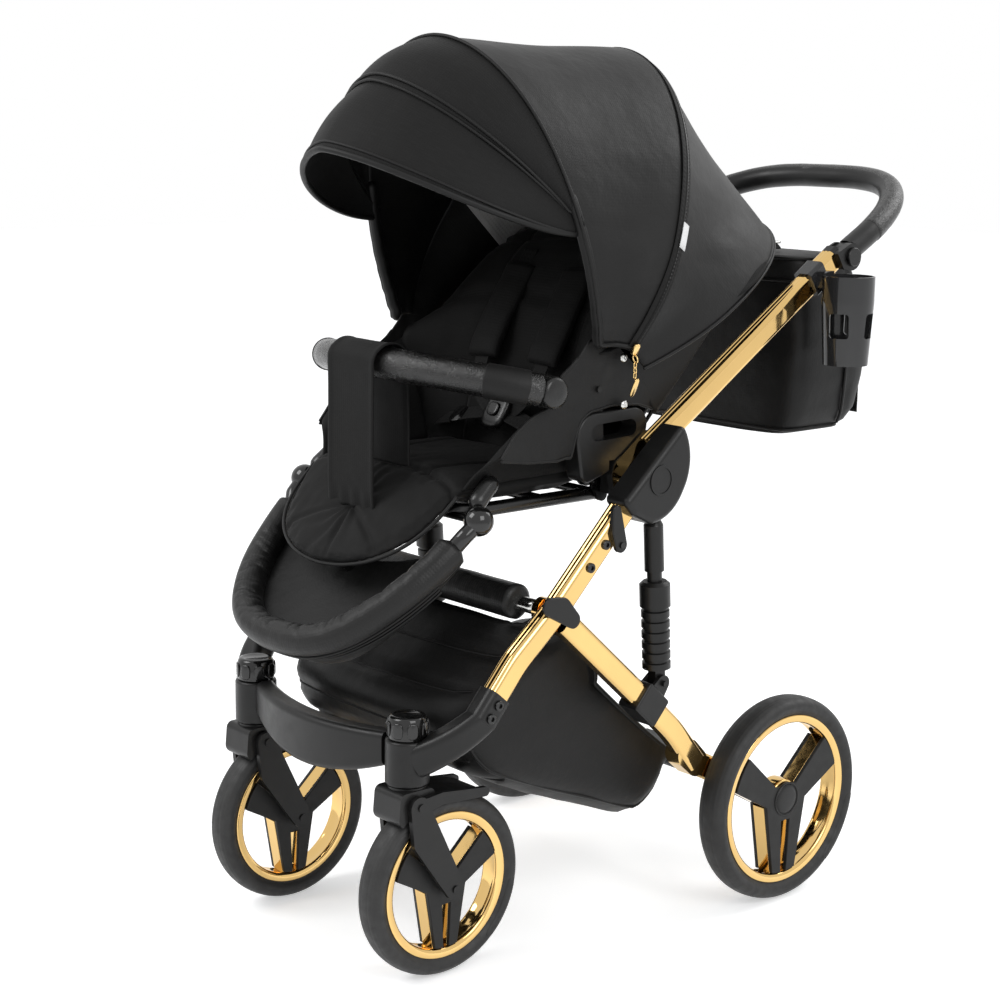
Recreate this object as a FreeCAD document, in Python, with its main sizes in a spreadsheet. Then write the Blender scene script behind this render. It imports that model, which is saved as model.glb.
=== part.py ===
"""Baby stroller: a folding two-tone chassis on four wheels with a lift-off seat unit.

Millimetres, +Z up. The front of the stroller points along -Y and the child's left side is +X.
The origin lies on the floor, midway across the wheels and midway between the footrest and the
handle. Every size stands once in SIZES and goes to the spreadsheet, and the sub-parts read it there.
"""
import FreeCAD, Part
import math
import os

import Sketcher

from FreeCAD import Placement, Rotation, Vector

doc = FreeCAD.newDocument("stroller")

# --------------------------------------------------------------------------------------
# Driving dimensions
# --------------------------------------------------------------------------------------
SIZES = {
    # planes of the two tube layers, one inside the other so that the handle folds past the chassis
    "lower_plane_x": 235.0,
    "upper_plane_x": 209.0,
    "tube_width": 24.0,
    "tube_depth": 32.0,
    "tube_corner": 7.0,
    "tube_groove": 2.0,
    "running_gap": 0.05,
    "side_gap": 0.5,
    "seat_gap": 0.1,
    "soft_gap": 0.3,
    # rear wheels
    "rear_axle_y": 148.0,
    "rear_wheel_radius": 145.0,
    "rear_wheel_x": 268.0,
    "rear_tyre_width": 46.0,
    "rear_ring_radius": 121.0,
    # front wheels and casters
    "front_axle_y": -381.0,
    "front_wheel_radius": 120.0,
    "front_tyre_width": 42.0,
    "front_ring_radius": 97.0,
    "caster_x": 166.0,
    "caster_y": -433.0,
    # parts that all wheels share
    "ring_face": 13.0,
    "ring_half_width": 17.0,
    "ring_wall": 3.0,
    "axle_radius": 5.0,
    "hub_radius": 24.0,
    "spoke_plate": 7.0,
    # outline of the spoke star, as shares of its reach: two upper arms and a wide slotted lower one
    "star_shoulder_v": 0.185,
    "star_shoulder_w": 0.185,
    "star_upper_v": 0.725,
    "star_upper_w": 0.688,
    "star_waist_v": 0.37,
    "star_waist_w": -0.046,
    "star_side_v": 0.958,
    "star_side_w": 0.284,
    "star_foot_v": 0.217,
    "star_foot_w": -0.976,
    "star_overrun": 1.12,
    "star_slot_top": 0.287,
    "star_slot_half": 0.079,
    "star_slot_foot": 0.051,
    "rib_wall": 2.5,
    "rib_root": 23.0,
    "rib_depth": 26.0,
    "cap_radius": 15.0,
    "cap_travel": 3.0,
    "cap_gap": 0.3,
    "cap_floor": 1.4,
    "cap_edge": 2.0,
    "hub_floor": 9.0,
    "sleeve_radius": 27.0,
    "tyre_shoulder": 7.0,
    # caster barrel, swivel head, fork
    "barrel_radius": 28.0,
    "barrel_bottom_z": 263.0,
    "barrel_top_z": 322.0,
    "lock_height": 30.0,
    "swivel_pin_radius": 9.0,
    "head_bottom_z": 214.0,
    "fork_pivot_y": -437.0,
    "fork_pivot_z": 240.0,
    "fork_gap": 27.0,
    "fork_plate": 7.0,
    "fork_boss": 14.0,
    "fork_foot": 14.0,
    "fork_pin_radius": 5.0,
    "head_disc": 14.0,
    "wheel_clearance": 5.0,
    "fender_clearance": 5.0,
    "fender_thick": 4.0,
    "fender_start_deg": 68.0,
    "fender_end_deg": 100.0,
    "lock_edge": 6.0,
    "socket_grip": 26.0,
    "bow_z": 303.0,
    "bow_drop": 15.0,
    "bow_forward": 30.0,
    "bow_thick": 30.0,
    "bow_end_height": 44.0,
    "bow_mid_height": 68.0,
    # lower side frame, points in the Y-Z plane of the lower tubes
    "socket_y": -368.0,
    "socket_z": 357.0,
    "bend_y": -320.0,
    "bend_z": 413.0,
    "leg_pivot_y": -256.0,
    "leg_pivot_z": 467.0,
    "fold_y": -96.0,
    "fold_z": 621.0,
    "fold_pin_radius": 8.0,
    "leg_end_y": 7.0,
    "leg_end_z": 217.0,
    "leg_knee_run": 190.0,
    "leg_knee_rise": 6.0,
    "leg_foot_run": 70.0,
    "leg_foot_rise": 8.0,
    "leg_radius": 200.0,
    "leg_clearance": 5.0,
    "leg_eye_radius": 16.0,
    "leg_eye_thick": 11.0,
    "leg_tail_run": 40.0,
    "rear_arm_face_x": 244.0,
    "axle_boss_radius": 17.0,
    "axle_tube_radius": 11.0,
    "stub_past_wheel": 1.5,
    "bend_radius": 160.0,
    "main_tube_rise": 6.0,
    "main_tube_deg": 45.5,
    "main_tube_past_fold": 14.0,
    "bar_radius": 8.0,
    "bar_seat": 10.0,
    "roll_radius": 24.0,
    "roll_half_length": 170.0,
    "shield_radius": 24.0,
    "shield_thick": 4.0,
    "screw_radius": 6.5,
    "screw_run": 73.0,
    "screw_pitch": 37.0,
    "latch_run": 98.0,
    "latch_below": 12.0,
    "latch_thick": 6.0,
    "latch_pin_radius": 4.0,
    # shock absorber strut
    "strut_foot_y": -67.0,
    "strut_foot_z": 343.0,
    "strut_head_y": -84.0,
    "strut_head_z": 585.0,
    "strut_tube_radius": 13.0,
    "strut_sleeve_radius": 19.0,
    "strut_rod_radius": 10.0,
    "strut_room": 3.0,
    "strut_eye_radius": 9.0,
    "strut_pin_radius": 4.0,
    "strut_pin_room": 1.0,
    "strut_eye_half": 7.0,
    "strut_sleeve_start": 20.0,
    "strut_sleeve_end": 105.0,
    "strut_collar": 34.0,
    "strut_ribs": 6.0,
    "strut_floor": 8.0,
    "strut_stroke_room": 20.0,
    "strut_show": 14.0,
    "clamp_wall": 5.0,
    "clamp_length": 48.0,
    "clamp_ear": 5.0,
    "pedal_half_width": 36.0,
    "pedal_wall": 5.0,
    "pedal_deg": 12.0,
    "pedal_reach": 44.0,
    "pedal_tip_radius": 6.0,
    # joint cover
    "cover_inner_x": 222.5,
    "cover_outer_x": 261.0,
    "cover_wall": 3.0,
    "cover_reach": 60.0,
    "cover_corner": 8.0,
    "cover_edge": 8.0,
    "badge_radius": 20.0,
    "badge_height": 1.5,
    # inner hub with the socket for the seat's tongue
    "hub_plate_x": 187.0,
    "hub_plate_radius": 26.0,
    "socket_drop": 30.0,
    "socket_wall": 4.0,
    "tongue_x": 177.5,
    "tongue_thick": 13.0,
    "tongue_length": 32.0,
    "tongue_depth": 42.0,
    "tongue_top_z": 640.0,
    # upper frame and handle
    "upper_end_y": 280.0,
    "upper_end_z": 884.0,
    "upper_tube_deg": 33.4,
    "upper_hub_radius": 25.0,
    "upper_start_run": 40.0,
    "handle_pivot_y": 305.0,
    "handle_pivot_z": 889.0,
    "handle_reach": 233.4,
    "handle_lift_deg": 26.0,
    "grip_radius": 17.0,
    "handle_half_width": 208.0,
    "handle_side_power": 3.28,
    "handle_front_power": 2.4,
    "handle_start_share": 0.06,
    "handle_eye_radius": 16.0,
    "handle_eye_half": 8.0,
    "handle_pin_radius": 5.0,
    "knuckle_cheek": 11.0,
    "knuckle_room": 3.0,
    "plug_length": 12.0,
    "knuckle_radius": 19.0,
    "button_radius": 13.0,
    "button_travel": 3.0,
    "button_height": 8.0,
    "button_floor": 5.0,
    # cup holder
    "cup_x": 262.0,
    "cup_y": 258.0,
    "cup_radius": 36.0,
    "cup_wall": 2.5,
    "cup_bottom_z": 745.0,
    "cup_height": 122.0,
    "cup_foot_radius": 31.0,
    "cup_collar": 36.0,
    "cup_window_z": 38.0,
    "cup_window_height": 34.0,
    "cup_window_width": 28.0,
    "clip_arm_height": 22.0,
    "clip_back": 14.0,
    "clip_length": 30.0,
    "clip_wall": 3.0,
    # bag
    "bag_half_width": 185.0,
    "bag_front_y": 247.0,
    "bag_depth": 156.0,
    "bag_bottom_z": 632.0,
    "bag_height": 256.0,
    "bag_wall": 4.0,
    "bag_corner": 30.0,
    "bag_loop_back": 12.0,
    "bag_loop_drop": 10.0,
    "bag_loop_radius": 7.0,
    # basket
    "basket_half_width": 188.0,
    "basket_wall": 6.0,
    "basket_corner": 30.0,
    "basket_front_y": -398.0,
    "basket_front_z": 351.0,
    "basket_low_y": -326.0,
    "basket_low_z": 254.0,
    "basket_rear_y": -55.0,
    "basket_rear_z": 136.0,
    "basket_back_y": 13.0,
    "basket_back_z": 215.0,
    # seat unit
    "seat_rail_radius": 9.0,
    "seat_rail_z": 590.0,
    "seat_front_y": -337.0,
    "seat_back_y": -109.0,
    "rail_x": 150.0,
    "rail_corner": 40.0,
    "back_pin_radius": 6.0,
    "pad_thick": 30.0,
    "pad_back_y": -125.0,
    "flap_half_width": 150.0,
    "flap_reach": 160.0,
    "flap_deg": 42.0,
    "flap_thick": 16.0,
    "flap_side_power": 2.0,
    "flap_front_power": 3.0,
    "adapter_inner_x": 166.0,
    "adapter_outer_x": 194.0,
    "adapter_edge": 4.0,
    "adapter_front": 58.0,
    "bracket_thick": 9.0,
    "finger_slot_z": 38.0,
    "finger_slot_radius": 11.0,
    "pad_half_width": 158.0,
    "back_pivot_y": -101.0,
    "back_pivot_z": 606.0,
    "back_lean_deg": 47.0,
    "back_length": 420.0,
    "back_half_width": 168.0,
    "back_thick": 28.0,
    "back_start": 22.0,
    "back_corner": 60.0,
    "back_edge": 9.0,
    "footrest_y": -337.0,
    "footrest_z": 585.0,
    "footrest_lean_deg": 40.0,
    "footrest_half_width": 173.0,
    "footrest_reach": 218.0,
    "footrest_offset": 14.4,
    "footrest_sink": 6.2,
    "footrest_side_power": 2.75,
    "footrest_front_power": 1.75,
    "footrest_start_share": 0.12,
    "footrest_rim_radius": 21.0,
    "footrest_floor_sink": 12.0,
    "footrest_floor": 6.0,
    "footrest_arm_x": 176.0,
    "footrest_ear_radius": 12.0,
    "footrest_pin_radius": 5.0,
    # bumper bar
    "bumper_x": 209.5,
    "bumper_y": -243.0,
    "bumper_z": 741.0,
    "bumper_reach": 132.0,
    "bumper_lift_deg": 12.4,
    "bumper_side_power": 1.45,
    "bumper_front_power": 1.9,
    "bumper_start_share": 0.01,
    "bumper_radius": 21.0,
    "bumper_pin_radius": 5.0,
    "bumper_relief": 24.0,
    "strap_width": 95.0,
    "strap_thick": 2.5,
    "strap_ease": 3.0,
    "strap_foot_z": 594.0,
    "strap_back_z": 630.0,
    # hood, bows turn about one line across the seat
    "hood_pivot_y": -147.0,
    "hood_pivot_z": 735.0,
    "hood_wall": 5.0,
    "hood_seam_deg": 0.05,
    "front_bow_deg": 75.0,
    "front_bow_height": 455.0,
    "front_bow_side_power": 1.9,
    "front_bow_top_power": 3.2,
    "front_bow_half": 226.0,
    "mid_bow_deg": 115.0,
    "mid_bow_height": 480.0,
    "mid_bow_side_power": 1.8,
    "mid_bow_top_power": 2.5,
    "mid_bow_half": 259.0,
    "rear_bow_deg": 155.0,
    "rear_bow_height": 478.0,
    "rear_bow_side_power": 2.0,
    "rear_bow_top_power": 3.2,
    "rear_bow_half": 244.0,
    "hood_hem": 62.0,
    "hood_pivot_half": 196.0,
    "hood_shoulder": 0.45,
    "hood_eye_x": 187.5,
    "hood_pin_radius": 4.0,
    "bow_eye_radius": 10.0,
    "bow_eye_thick": 4.0,
    "bow_wire_radius": 3.0,
    "skirt_x": 191.0,
    "skirt_length": 350.0,
    "skirt_low_y": -40.0,
    "skirt_low_z": 693.0,
    "visor_side": 14.0,
    "visor_y": -184.0,
    "visor_z": 941.0,
    "visor_half": 208.0,
    "visor_hem": 8.0,
    "seam_depth": 180.0,
    "seam_rise": 176.0,
    "seam_side_power": 1.7,
    "seam_front_power": 1.77,
    "seam_curl": 1.14,
    "lip_depth": 242.0,
    "lip_rise": 101.0,
    "lip_side_power": 1.5,
    "lip_front_power": 2.2,
    "lip_curl": 1.7,
}

sheet = doc.addObject("Spreadsheet::Sheet", "Sheet")
for row, (alias, value) in enumerate(SIZES.items(), start=1):
    sheet.set("A%d" % row, alias.replace("_", " "))
    sheet.set("B%d" % row, repr(value))
    sheet.setAlias("B%d" % row, alias)
doc.recompute()


class Dim:
    """A length or angle that knows both its number and the spreadsheet formula it comes from."""

    def __init__(self, value, text):
        self.value = float(value)
        self.text = text

    def __float__(self):
        return self.value

    def _join(self, other, sign, value, swap=False):
        text = other.text if isinstance(other, Dim) else repr(float(other))
        left, right = (text, self.text) if swap else (self.text, text)
        return Dim(value, "(%s %s %s)" % (left, sign, right))

    def __add__(self, other):
        return self._join(other, "+", self.value + float(other))

    def __radd__(self, other):
        return self._join(other, "+", float(other) + self.value, swap=True)

    def __sub__(self, other):
        return self._join(other, "-", self.value - float(other))

    def __rsub__(self, other):
        return self._join(other, "-", float(other) - self.value, swap=True)

    def __mul__(self, other):
        return self._join(other, "*", self.value * float(other))

    def __rmul__(self, other):
        return self._join(other, "*", float(other) * self.value, swap=True)

    def __truediv__(self, other):
        return self._join(other, "/", self.value / float(other))

    def __neg__(self):
        return Dim(-self.value, "(0 - %s)" % self.text)


def size(alias):
    """A driving dimension, read back from the spreadsheet."""
    return Dim(getattr(sheet, alias), "Sheet.%s" % alias)


NODES = {}


def keep(obj, node):
    """Names a finished sub-part, which is then written to its own file."""
    obj.Label = node
    NODES[node] = obj
    return obj


def bind(obj, path, dim):
    """Ties one property to the spreadsheet."""
    obj.setExpression(path, dim.text if isinstance(dim, Dim) else repr(float(dim)))


def bind_place(obj, x=0.0, y=0.0, z=0.0):
    """Ties the position of an object to the spreadsheet."""
    for axis, dim in (("x", x), ("y", y), ("z", z)):
        bind(obj, "Placement.Base.%s" % axis, dim)


# --------------------------------------------------------------------------------------
# Helpers for PartDesign bodies
# --------------------------------------------------------------------------------------
def origin_plane(body, role):
    """One of a body's own origin planes, found by its role."""
    return next(item for item in body.Origin.OriginFeatures if item.Role == role)


def new_sketch(body, name, role):
    """An empty sketch on an origin plane of the body."""
    sketch = body.newObject("Sketcher::SketchObject", name)
    sketch.AttachmentSupport = [(origin_plane(body, role), "")]
    sketch.MapMode = "FlatFace"
    return sketch


def pin_point(sketch, geo, pos, a, b):
    """Fixes a sketch point by its two distances from the sketch's origin."""
    for kind, dim in (("DistanceX", a), ("DistanceY", b)):
        index = sketch.addConstraint(Sketcher.Constraint(kind, -1, 1, geo, pos, float(dim)))
        if isinstance(dim, Dim):
            sketch.setExpression("Constraints[%d]" % index, dim.text)


def outline_sketch(body, name, role, corners):
    """A closed outline of straight sides through the given corners."""
    sketch = new_sketch(body, name, role)
    count = len(corners)
    for i, (a, b) in enumerate(corners):
        after = corners[(i + 1) % count]
        start = Vector(float(a), float(b), 0)
        sketch.addGeometry(Part.LineSegment(start, Vector(float(after[0]), float(after[1]), 0)))
    for i in range(count):
        sketch.addConstraint(Sketcher.Constraint("Coincident", i, 2, (i + 1) % count, 1))
    for i, (a, b) in enumerate(corners):
        pin_point(sketch, i, 1, a, b)
    return sketch


def circle_sketch(body, name, role, circles):
    """One or more circles, each given as centre and radius."""
    sketch = new_sketch(body, name, role)
    for i, (a, b, radius) in enumerate(circles):
        sketch.addGeometry(Part.Circle(Vector(float(a), float(b), 0), Vector(0, 0, 1), float(radius)))
        pin_point(sketch, i, 3, a, b)
        index = sketch.addConstraint(Sketcher.Constraint("Radius", i, float(radius)))
        if isinstance(radius, Dim):
            sketch.setExpression("Constraints[%d]" % index, radius.text)
    return sketch


def pad(body, name, sketch, length, midplane=False, reverse=False):
    """A pad whose length is tied to the sheet."""
    feature = body.newObject("PartDesign::Pad", name)
    feature.Profile = sketch
    bind(feature, "Length", length)
    feature.Midplane = midplane
    feature.Reversed = reverse
    body.Tip = feature
    return feature


def pocket(body, name, sketch, length, midplane=False, reverse=False):
    """A pocket of a given depth, which has to take material away."""
    doc.recompute()
    before = body.Shape.Volume
    feature = body.newObject("PartDesign::Pocket", name)
    feature.Profile = sketch
    bind(feature, "Length", length)
    feature.Midplane = midplane
    feature.Reversed = reverse
    body.Tip = feature
    doc.recompute()
    if not body.Shape.Volume < before - 1e-3:
        raise RuntimeError("%s cuts nothing" % name)
    return feature


def revolve(body, name, sketch, axis):
    """A full turn of a sketch about one of its own axes."""
    feature = body.newObject("PartDesign::Revolution", name)
    feature.Profile = sketch
    feature.ReferenceAxis = (sketch, [axis])
    feature.Angle = 360.0
    body.Tip = feature
    return feature


def round_edges(body, name, edges, radius):
    """Rounds the listed edges of the body's tip."""
    base = body.Tip
    feature = body.newObject("PartDesign::Fillet", name)
    feature.Base = (base, edges)
    bind(feature, "Radius", radius)
    body.Tip = feature
    return feature


def edges_where(body, test):
    """Names of the tip's edges whose middle passes a test."""
    doc.recompute()
    names = []
    for index, edge in enumerate(body.Tip.Shape.Edges, start=1):
        middle = edge.valueAt((edge.FirstParameter + edge.LastParameter) / 2)
        if test(edge, middle):
            names.append("Edge%d" % index)
    return names


# --------------------------------------------------------------------------------------
# Helpers for shapes that follow a path or a skin
# --------------------------------------------------------------------------------------
def feature(name, shape, place=None):
    """A Part::Feature that holds a shape, placed after the shape is set."""
    obj = doc.addObject("Part::Feature", name)
    obj.Shape = shape
    if place is not None:
        obj.Placement = place
    return obj


def rounded_path(points, radii):
    """A wire of straight runs through the points, with a tangent arc at each inner corner."""
    edges = []
    start = points[0]
    for i in range(1, len(points) - 1):
        corner, radius = points[i], radii[i - 1]
        back = (points[i - 1] - corner).normalize()
        ahead = (points[i + 1] - corner).normalize()
        turn = math.pi - back.getAngle(ahead)
        reach = radius * math.tan(turn / 2)
        first = corner + back * reach
        last = corner + ahead * reach
        bisector = (back + ahead).normalize()
        middle = corner + bisector * (radius / math.cos(turn / 2) - radius)
        if (first - start).Length > 1e-6:
            edges.append(Part.LineSegment(start, first).toShape())
        edges.append(Part.Arc(first, middle, last).toShape())
        start = last
    edges.append(Part.LineSegment(start, points[-1]).toShape())
    return Part.Wire(edges)


def smooth_path(points):
    """A wire through the points with the largest tangent arc that each pair of runs allows."""
    radii = []
    for before, corner, after in zip(points, points[1:], points[2:]):
        turn = math.pi - (before - corner).getAngle(after - corner)
        shorter = min((before - corner).Length, (after - corner).Length)
        radii.append(0.45 * shorter / math.tan(turn / 2))
    return rounded_path(points, radii)


def oval_bow(origin, along, half, reach, powers, first, count):
    """Points over a bow that lies in one plane, from the left end to the right.

    The bow is a superellipse: `half` wide to each side, `reach` long, fuller as its two powers
    grow. It starts at `first`, the share of the reach at its ends.
    """
    side_power, front_power = powers
    start = math.asin(first ** (front_power / 2))
    points = []
    for k in range(count):
        angle = start + (math.pi - 2 * start) * k / (count - 1)
        c, s = math.cos(angle), math.sin(angle)
        across = half * math.copysign(abs(c) ** (2 / side_power), c)
        points.append(origin + Vector(across, 0, 0) + along * (reach * s ** (2 / front_power)))
    return points


def sweep(path, profile):
    """A solid of one closed profile along a path."""
    shell = Part.BRepOffsetAPI.MakePipeShell(path)
    shell.setFrenetMode(False)
    shell.add(profile, False, True)
    shell.build()
    shell.makeSolid()
    return shell.shape()


def round_tube(path, radius):
    """A round rod along a path."""
    edge = path.OrderedEdges[0]
    start = edge.valueAt(edge.FirstParameter)
    along = edge.tangentAt(edge.FirstParameter)
    if (start - path.OrderedVertexes[0].Point).Length > 1e-6:
        start = edge.valueAt(edge.LastParameter)
        along = -edge.tangentAt(edge.LastParameter)
    return sweep(path, Part.Wire([Part.makeCircle(radius, start, along)]))


def frame_profile(centre, along, width, depth, corner, groove):
    """The flat-oval section of the chassis tubes, with two fine grooves down its front face.

    The section lies square to `along` at `centre`, `width` runs across the stroller.
    """
    across = Vector(1, 0, 0)
    up = across.cross(along).normalize()
    if up.z < 0:
        up = -up
    half_w, half_d = width / 2, depth / 2
    local = [
        (-half_w + corner, -half_d), (half_w - corner, -half_d), (half_w, -half_d + corner),
        (half_w, half_d - corner), (half_w - corner, half_d),
        (groove * 2.2, half_d), (groove * 1.6, half_d - groove * 0.6), (groove, half_d),
        (-groove, half_d), (-groove * 1.6, half_d - groove * 0.6), (-groove * 2.2, half_d),
        (-half_w + corner, half_d), (-half_w, half_d - corner), (-half_w, -half_d + corner),
    ]
    arcs = {1: (half_w - corner, -half_d + corner), 3: (half_w - corner, half_d - corner),
            11: (-half_w + corner, half_d - corner), 13: (-half_w + corner, -half_d + corner)}

    def spot(a, b):
        return centre + across * a + up * b

    edges = []
    for i, (a, b) in enumerate(local):
        c, d = local[(i + 1) % len(local)]
        if i in arcs:
            mid_a, mid_b = arcs[i]
            out = Vector((a + c) / 2 - mid_a, (b + d) / 2 - mid_b, 0).normalize() * corner
            edges.append(Part.Arc(spot(a, b), spot(mid_a + out.x, mid_b + out.y), spot(c, d)).toShape())
        else:
            edges.append(Part.LineSegment(spot(a, b), spot(c, d)).toShape())
    return Part.Wire(edges)


def frame_tube(points, radii, grow=0.0):
    """A chassis tube through points in the Y-Z plane at a given X, `grow` thickens it all round."""
    path = rounded_path(points, radii)
    along = (points[1] - points[0]).normalize()
    width = float(size("tube_width")) + 2 * grow
    depth = float(size("tube_depth")) + 2 * grow
    corner = float(size("tube_corner")) + grow
    return sweep(path, frame_profile(points[0], along, width, depth, corner, float(size("tube_groove"))))


def tangent_outline(ends, x):
    """The closed outline around two or more circles in the plane at X, like a belt round pulleys.

    Each end is (y, z, radius), listed anticlockwise as seen from +X.
    """
    spans = []
    count = len(ends)
    for i in range(count):
        y1, z1, r1 = ends[i]
        y2, z2, r2 = ends[(i + 1) % count]
        length = math.hypot(y2 - y1, z2 - z1)
        heading = math.atan2(z2 - z1, y2 - y1)
        side = heading - math.pi / 2 + math.asin((r2 - r1) / length) * -1
        off = Vector(0, math.cos(side), math.sin(side))
        spans.append((Vector(x, y1, z1) + off * r1, Vector(x, y2, z2) + off * r2, side))
    edges = []
    for i in range(count):
        start, finish, side = spans[i]
        edges.append(Part.LineSegment(start, finish).toShape())
        following = spans[(i + 1) % count]
        y, z, radius = ends[(i + 1) % count]
        sweep_angle = (following[2] - side) % (2 * math.pi)
        half = side + sweep_angle / 2
        middle = Vector(x, y + math.cos(half) * radius, z + math.sin(half) * radius)
        edges.append(Part.Arc(finish, middle, following[0]).toShape())
    return Part.Wire(edges)


def belt_plate(ends, x0, x1):
    """A plate between two X planes whose outline wraps the given circles."""
    face = Part.Face(tangent_outline(ends, x0))
    return face.extrude(Vector(x1 - x0, 0, 0))


def x_rod(y, z, radius, x0, x1):
    """A cylinder that lies across the stroller."""
    return Part.makeCylinder(radius, x1 - x0, Vector(x0, y, z), Vector(1, 0, 0))


def drill(shape, y, z, radius, x0, x1):
    """Takes a cross hole out of a shape."""
    return shape.cut(x_rod(y, z, radius, x0, x1))


def joined(shapes):
    """One solid made of several that touch or overlap."""
    whole = shapes[0].fuse(shapes[1:]).removeSplitter()
    return whole.Solids[0] if len(whole.Solids) == 1 else whole


def mirrored(obj, node):
    """The right-hand twin of a left-hand sub-part."""
    twin = doc.addObject("Part::Mirroring", node + "_mirror")
    twin.Source = obj
    twin.Normal = Vector(1, 0, 0)
    twin.Base = Vector(0, 0, 0)
    return keep(twin, node)


def both_sides(shape):
    """A compound of a left-hand shape and its mirror image."""
    return Part.Compound([shape, shape.mirror(Vector(0, 0, 0), Vector(1, 0, 0))])


def mm(alias):
    """The plain number of a driving dimension, for shapes that are set from code."""
    return float(size(alias))


# --------------------------------------------------------------------------------------
# Skeleton: the places where the sub-parts meet
# --------------------------------------------------------------------------------------
GAP = mm("seat_gap")
TUBE_X = mm("lower_plane_x")
UPPER_X = mm("upper_plane_x")
HALF_TUBE = mm("tube_width") / 2
HALF_DEPTH = mm("tube_depth") / 2
FOLD = Vector(0, mm("fold_y"), mm("fold_z"))
LEG_PIVOT = Vector(0, mm("leg_pivot_y"), mm("leg_pivot_z"))
SOCKET = Vector(0, mm("socket_y"), mm("socket_z"))
REAR_AXLE = Vector(0, mm("rear_axle_y"), mm("rear_wheel_radius"))
FRONT_AXLE = Vector(0, mm("front_axle_y"), mm("front_wheel_radius"))
CASTER = Vector(mm("caster_x"), mm("caster_y"), 0)
FORK_PIVOT = Vector(0, mm("fork_pivot_y"), mm("fork_pivot_z"))
STRUT_FOOT = Vector(0, mm("strut_foot_y"), mm("strut_foot_z"))
STRUT_HEAD = Vector(0, mm("strut_head_y"), mm("strut_head_z"))
HANDLE_PIVOT = Vector(0, mm("handle_pivot_y"), mm("handle_pivot_z"))
HOOD_PIVOT = Vector(0, mm("hood_pivot_y"), mm("hood_pivot_z"))
LEG_END = Vector(0, mm("leg_end_y"), mm("leg_end_z"))


def at_x(point, x):
    """The same point moved to a given X."""
    return Vector(x, point.y, point.z)


def unit(start, end):
    """The direction from one point to another."""
    return (end - start).normalize()


def side_normal(direction):
    """The direction square to another within the Y-Z plane, on its upper side."""
    normal = Vector(1, 0, 0).cross(direction)
    return normal if normal.z > 0 else -normal


# --------------------------------------------------------------------------------------
# Lower side frame
# --------------------------------------------------------------------------------------
# the main tube runs past the fold axis, a little above it
tube_rise = mm("main_tube_rise")
lower_slope = math.radians(mm("main_tube_deg"))
LOWER_DIR = Vector(0, math.cos(lower_slope), math.sin(lower_slope))
LOWER_UP = side_normal(LOWER_DIR)
TUBE_TOP = FOLD + LOWER_UP * tube_rise + LOWER_DIR * mm("main_tube_past_fold")
knee_run = (FOLD + LOWER_UP * tube_rise - LEG_PIVOT).dot(LOWER_DIR)
TUBE_KNEE = FOLD + LOWER_UP * tube_rise - LOWER_DIR * knee_run
TUBE_BEND = Vector(0, mm("bend_y"), mm("bend_z"))
MAIN_POINTS = [SOCKET, TUBE_BEND, TUBE_KNEE, TUBE_TOP]
MAIN_RADII = [mm("bend_radius"), mm("bend_radius")]


def main_tube_shape(grow=0.0):
    """The long chassis tube of the left side."""
    return frame_tube([at_x(p, TUBE_X) for p in MAIN_POINTS], MAIN_RADII, grow)


def make_main_tubes():
    """Both main tubes, each drilled for the cross bar that carries the rear legs."""
    shape = main_tube_shape()
    inner = TUBE_X - HALF_TUBE
    shape = drill(shape, LEG_PIVOT.y, LEG_PIVOT.z, mm("bar_radius") + GAP,
                  inner - 1, inner + mm("bar_seat"))
    left = keep(feature("main_tube", shape), "main_tube_left")
    mirrored(left, "main_tube_right")


def make_basket_bar():
    """The cross bar through both leg hinges, with the foam roll that the basket hangs from."""
    reach = TUBE_X - HALF_TUBE + mm("bar_seat") - GAP
    bar = x_rod(LEG_PIVOT.y, LEG_PIVOT.z, mm("bar_radius"), -reach, reach)
    roll_half = mm("roll_half_length")
    roll = x_rod(LEG_PIVOT.y, LEG_PIVOT.z, mm("roll_radius"), -roll_half, roll_half)
    roll = roll.makeFillet(mm("roll_radius") / 3, [e for e in roll.Edges if e.Length > 1
                                                   and isinstance(e.Curve, Part.Circle)])
    roll = roll.cut(x_rod(LEG_PIVOT.y, LEG_PIVOT.z, mm("bar_radius"), -reach, reach))
    keep(feature("basket_bar", Part.Compound([bar, roll])), "basket_bar")


def cover_point(along, above, x):
    """A point of the joint cover, measured from the fold axis along and above the main tube."""
    return at_x(FOLD + LOWER_DIR * along + LOWER_UP * above, x)


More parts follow.
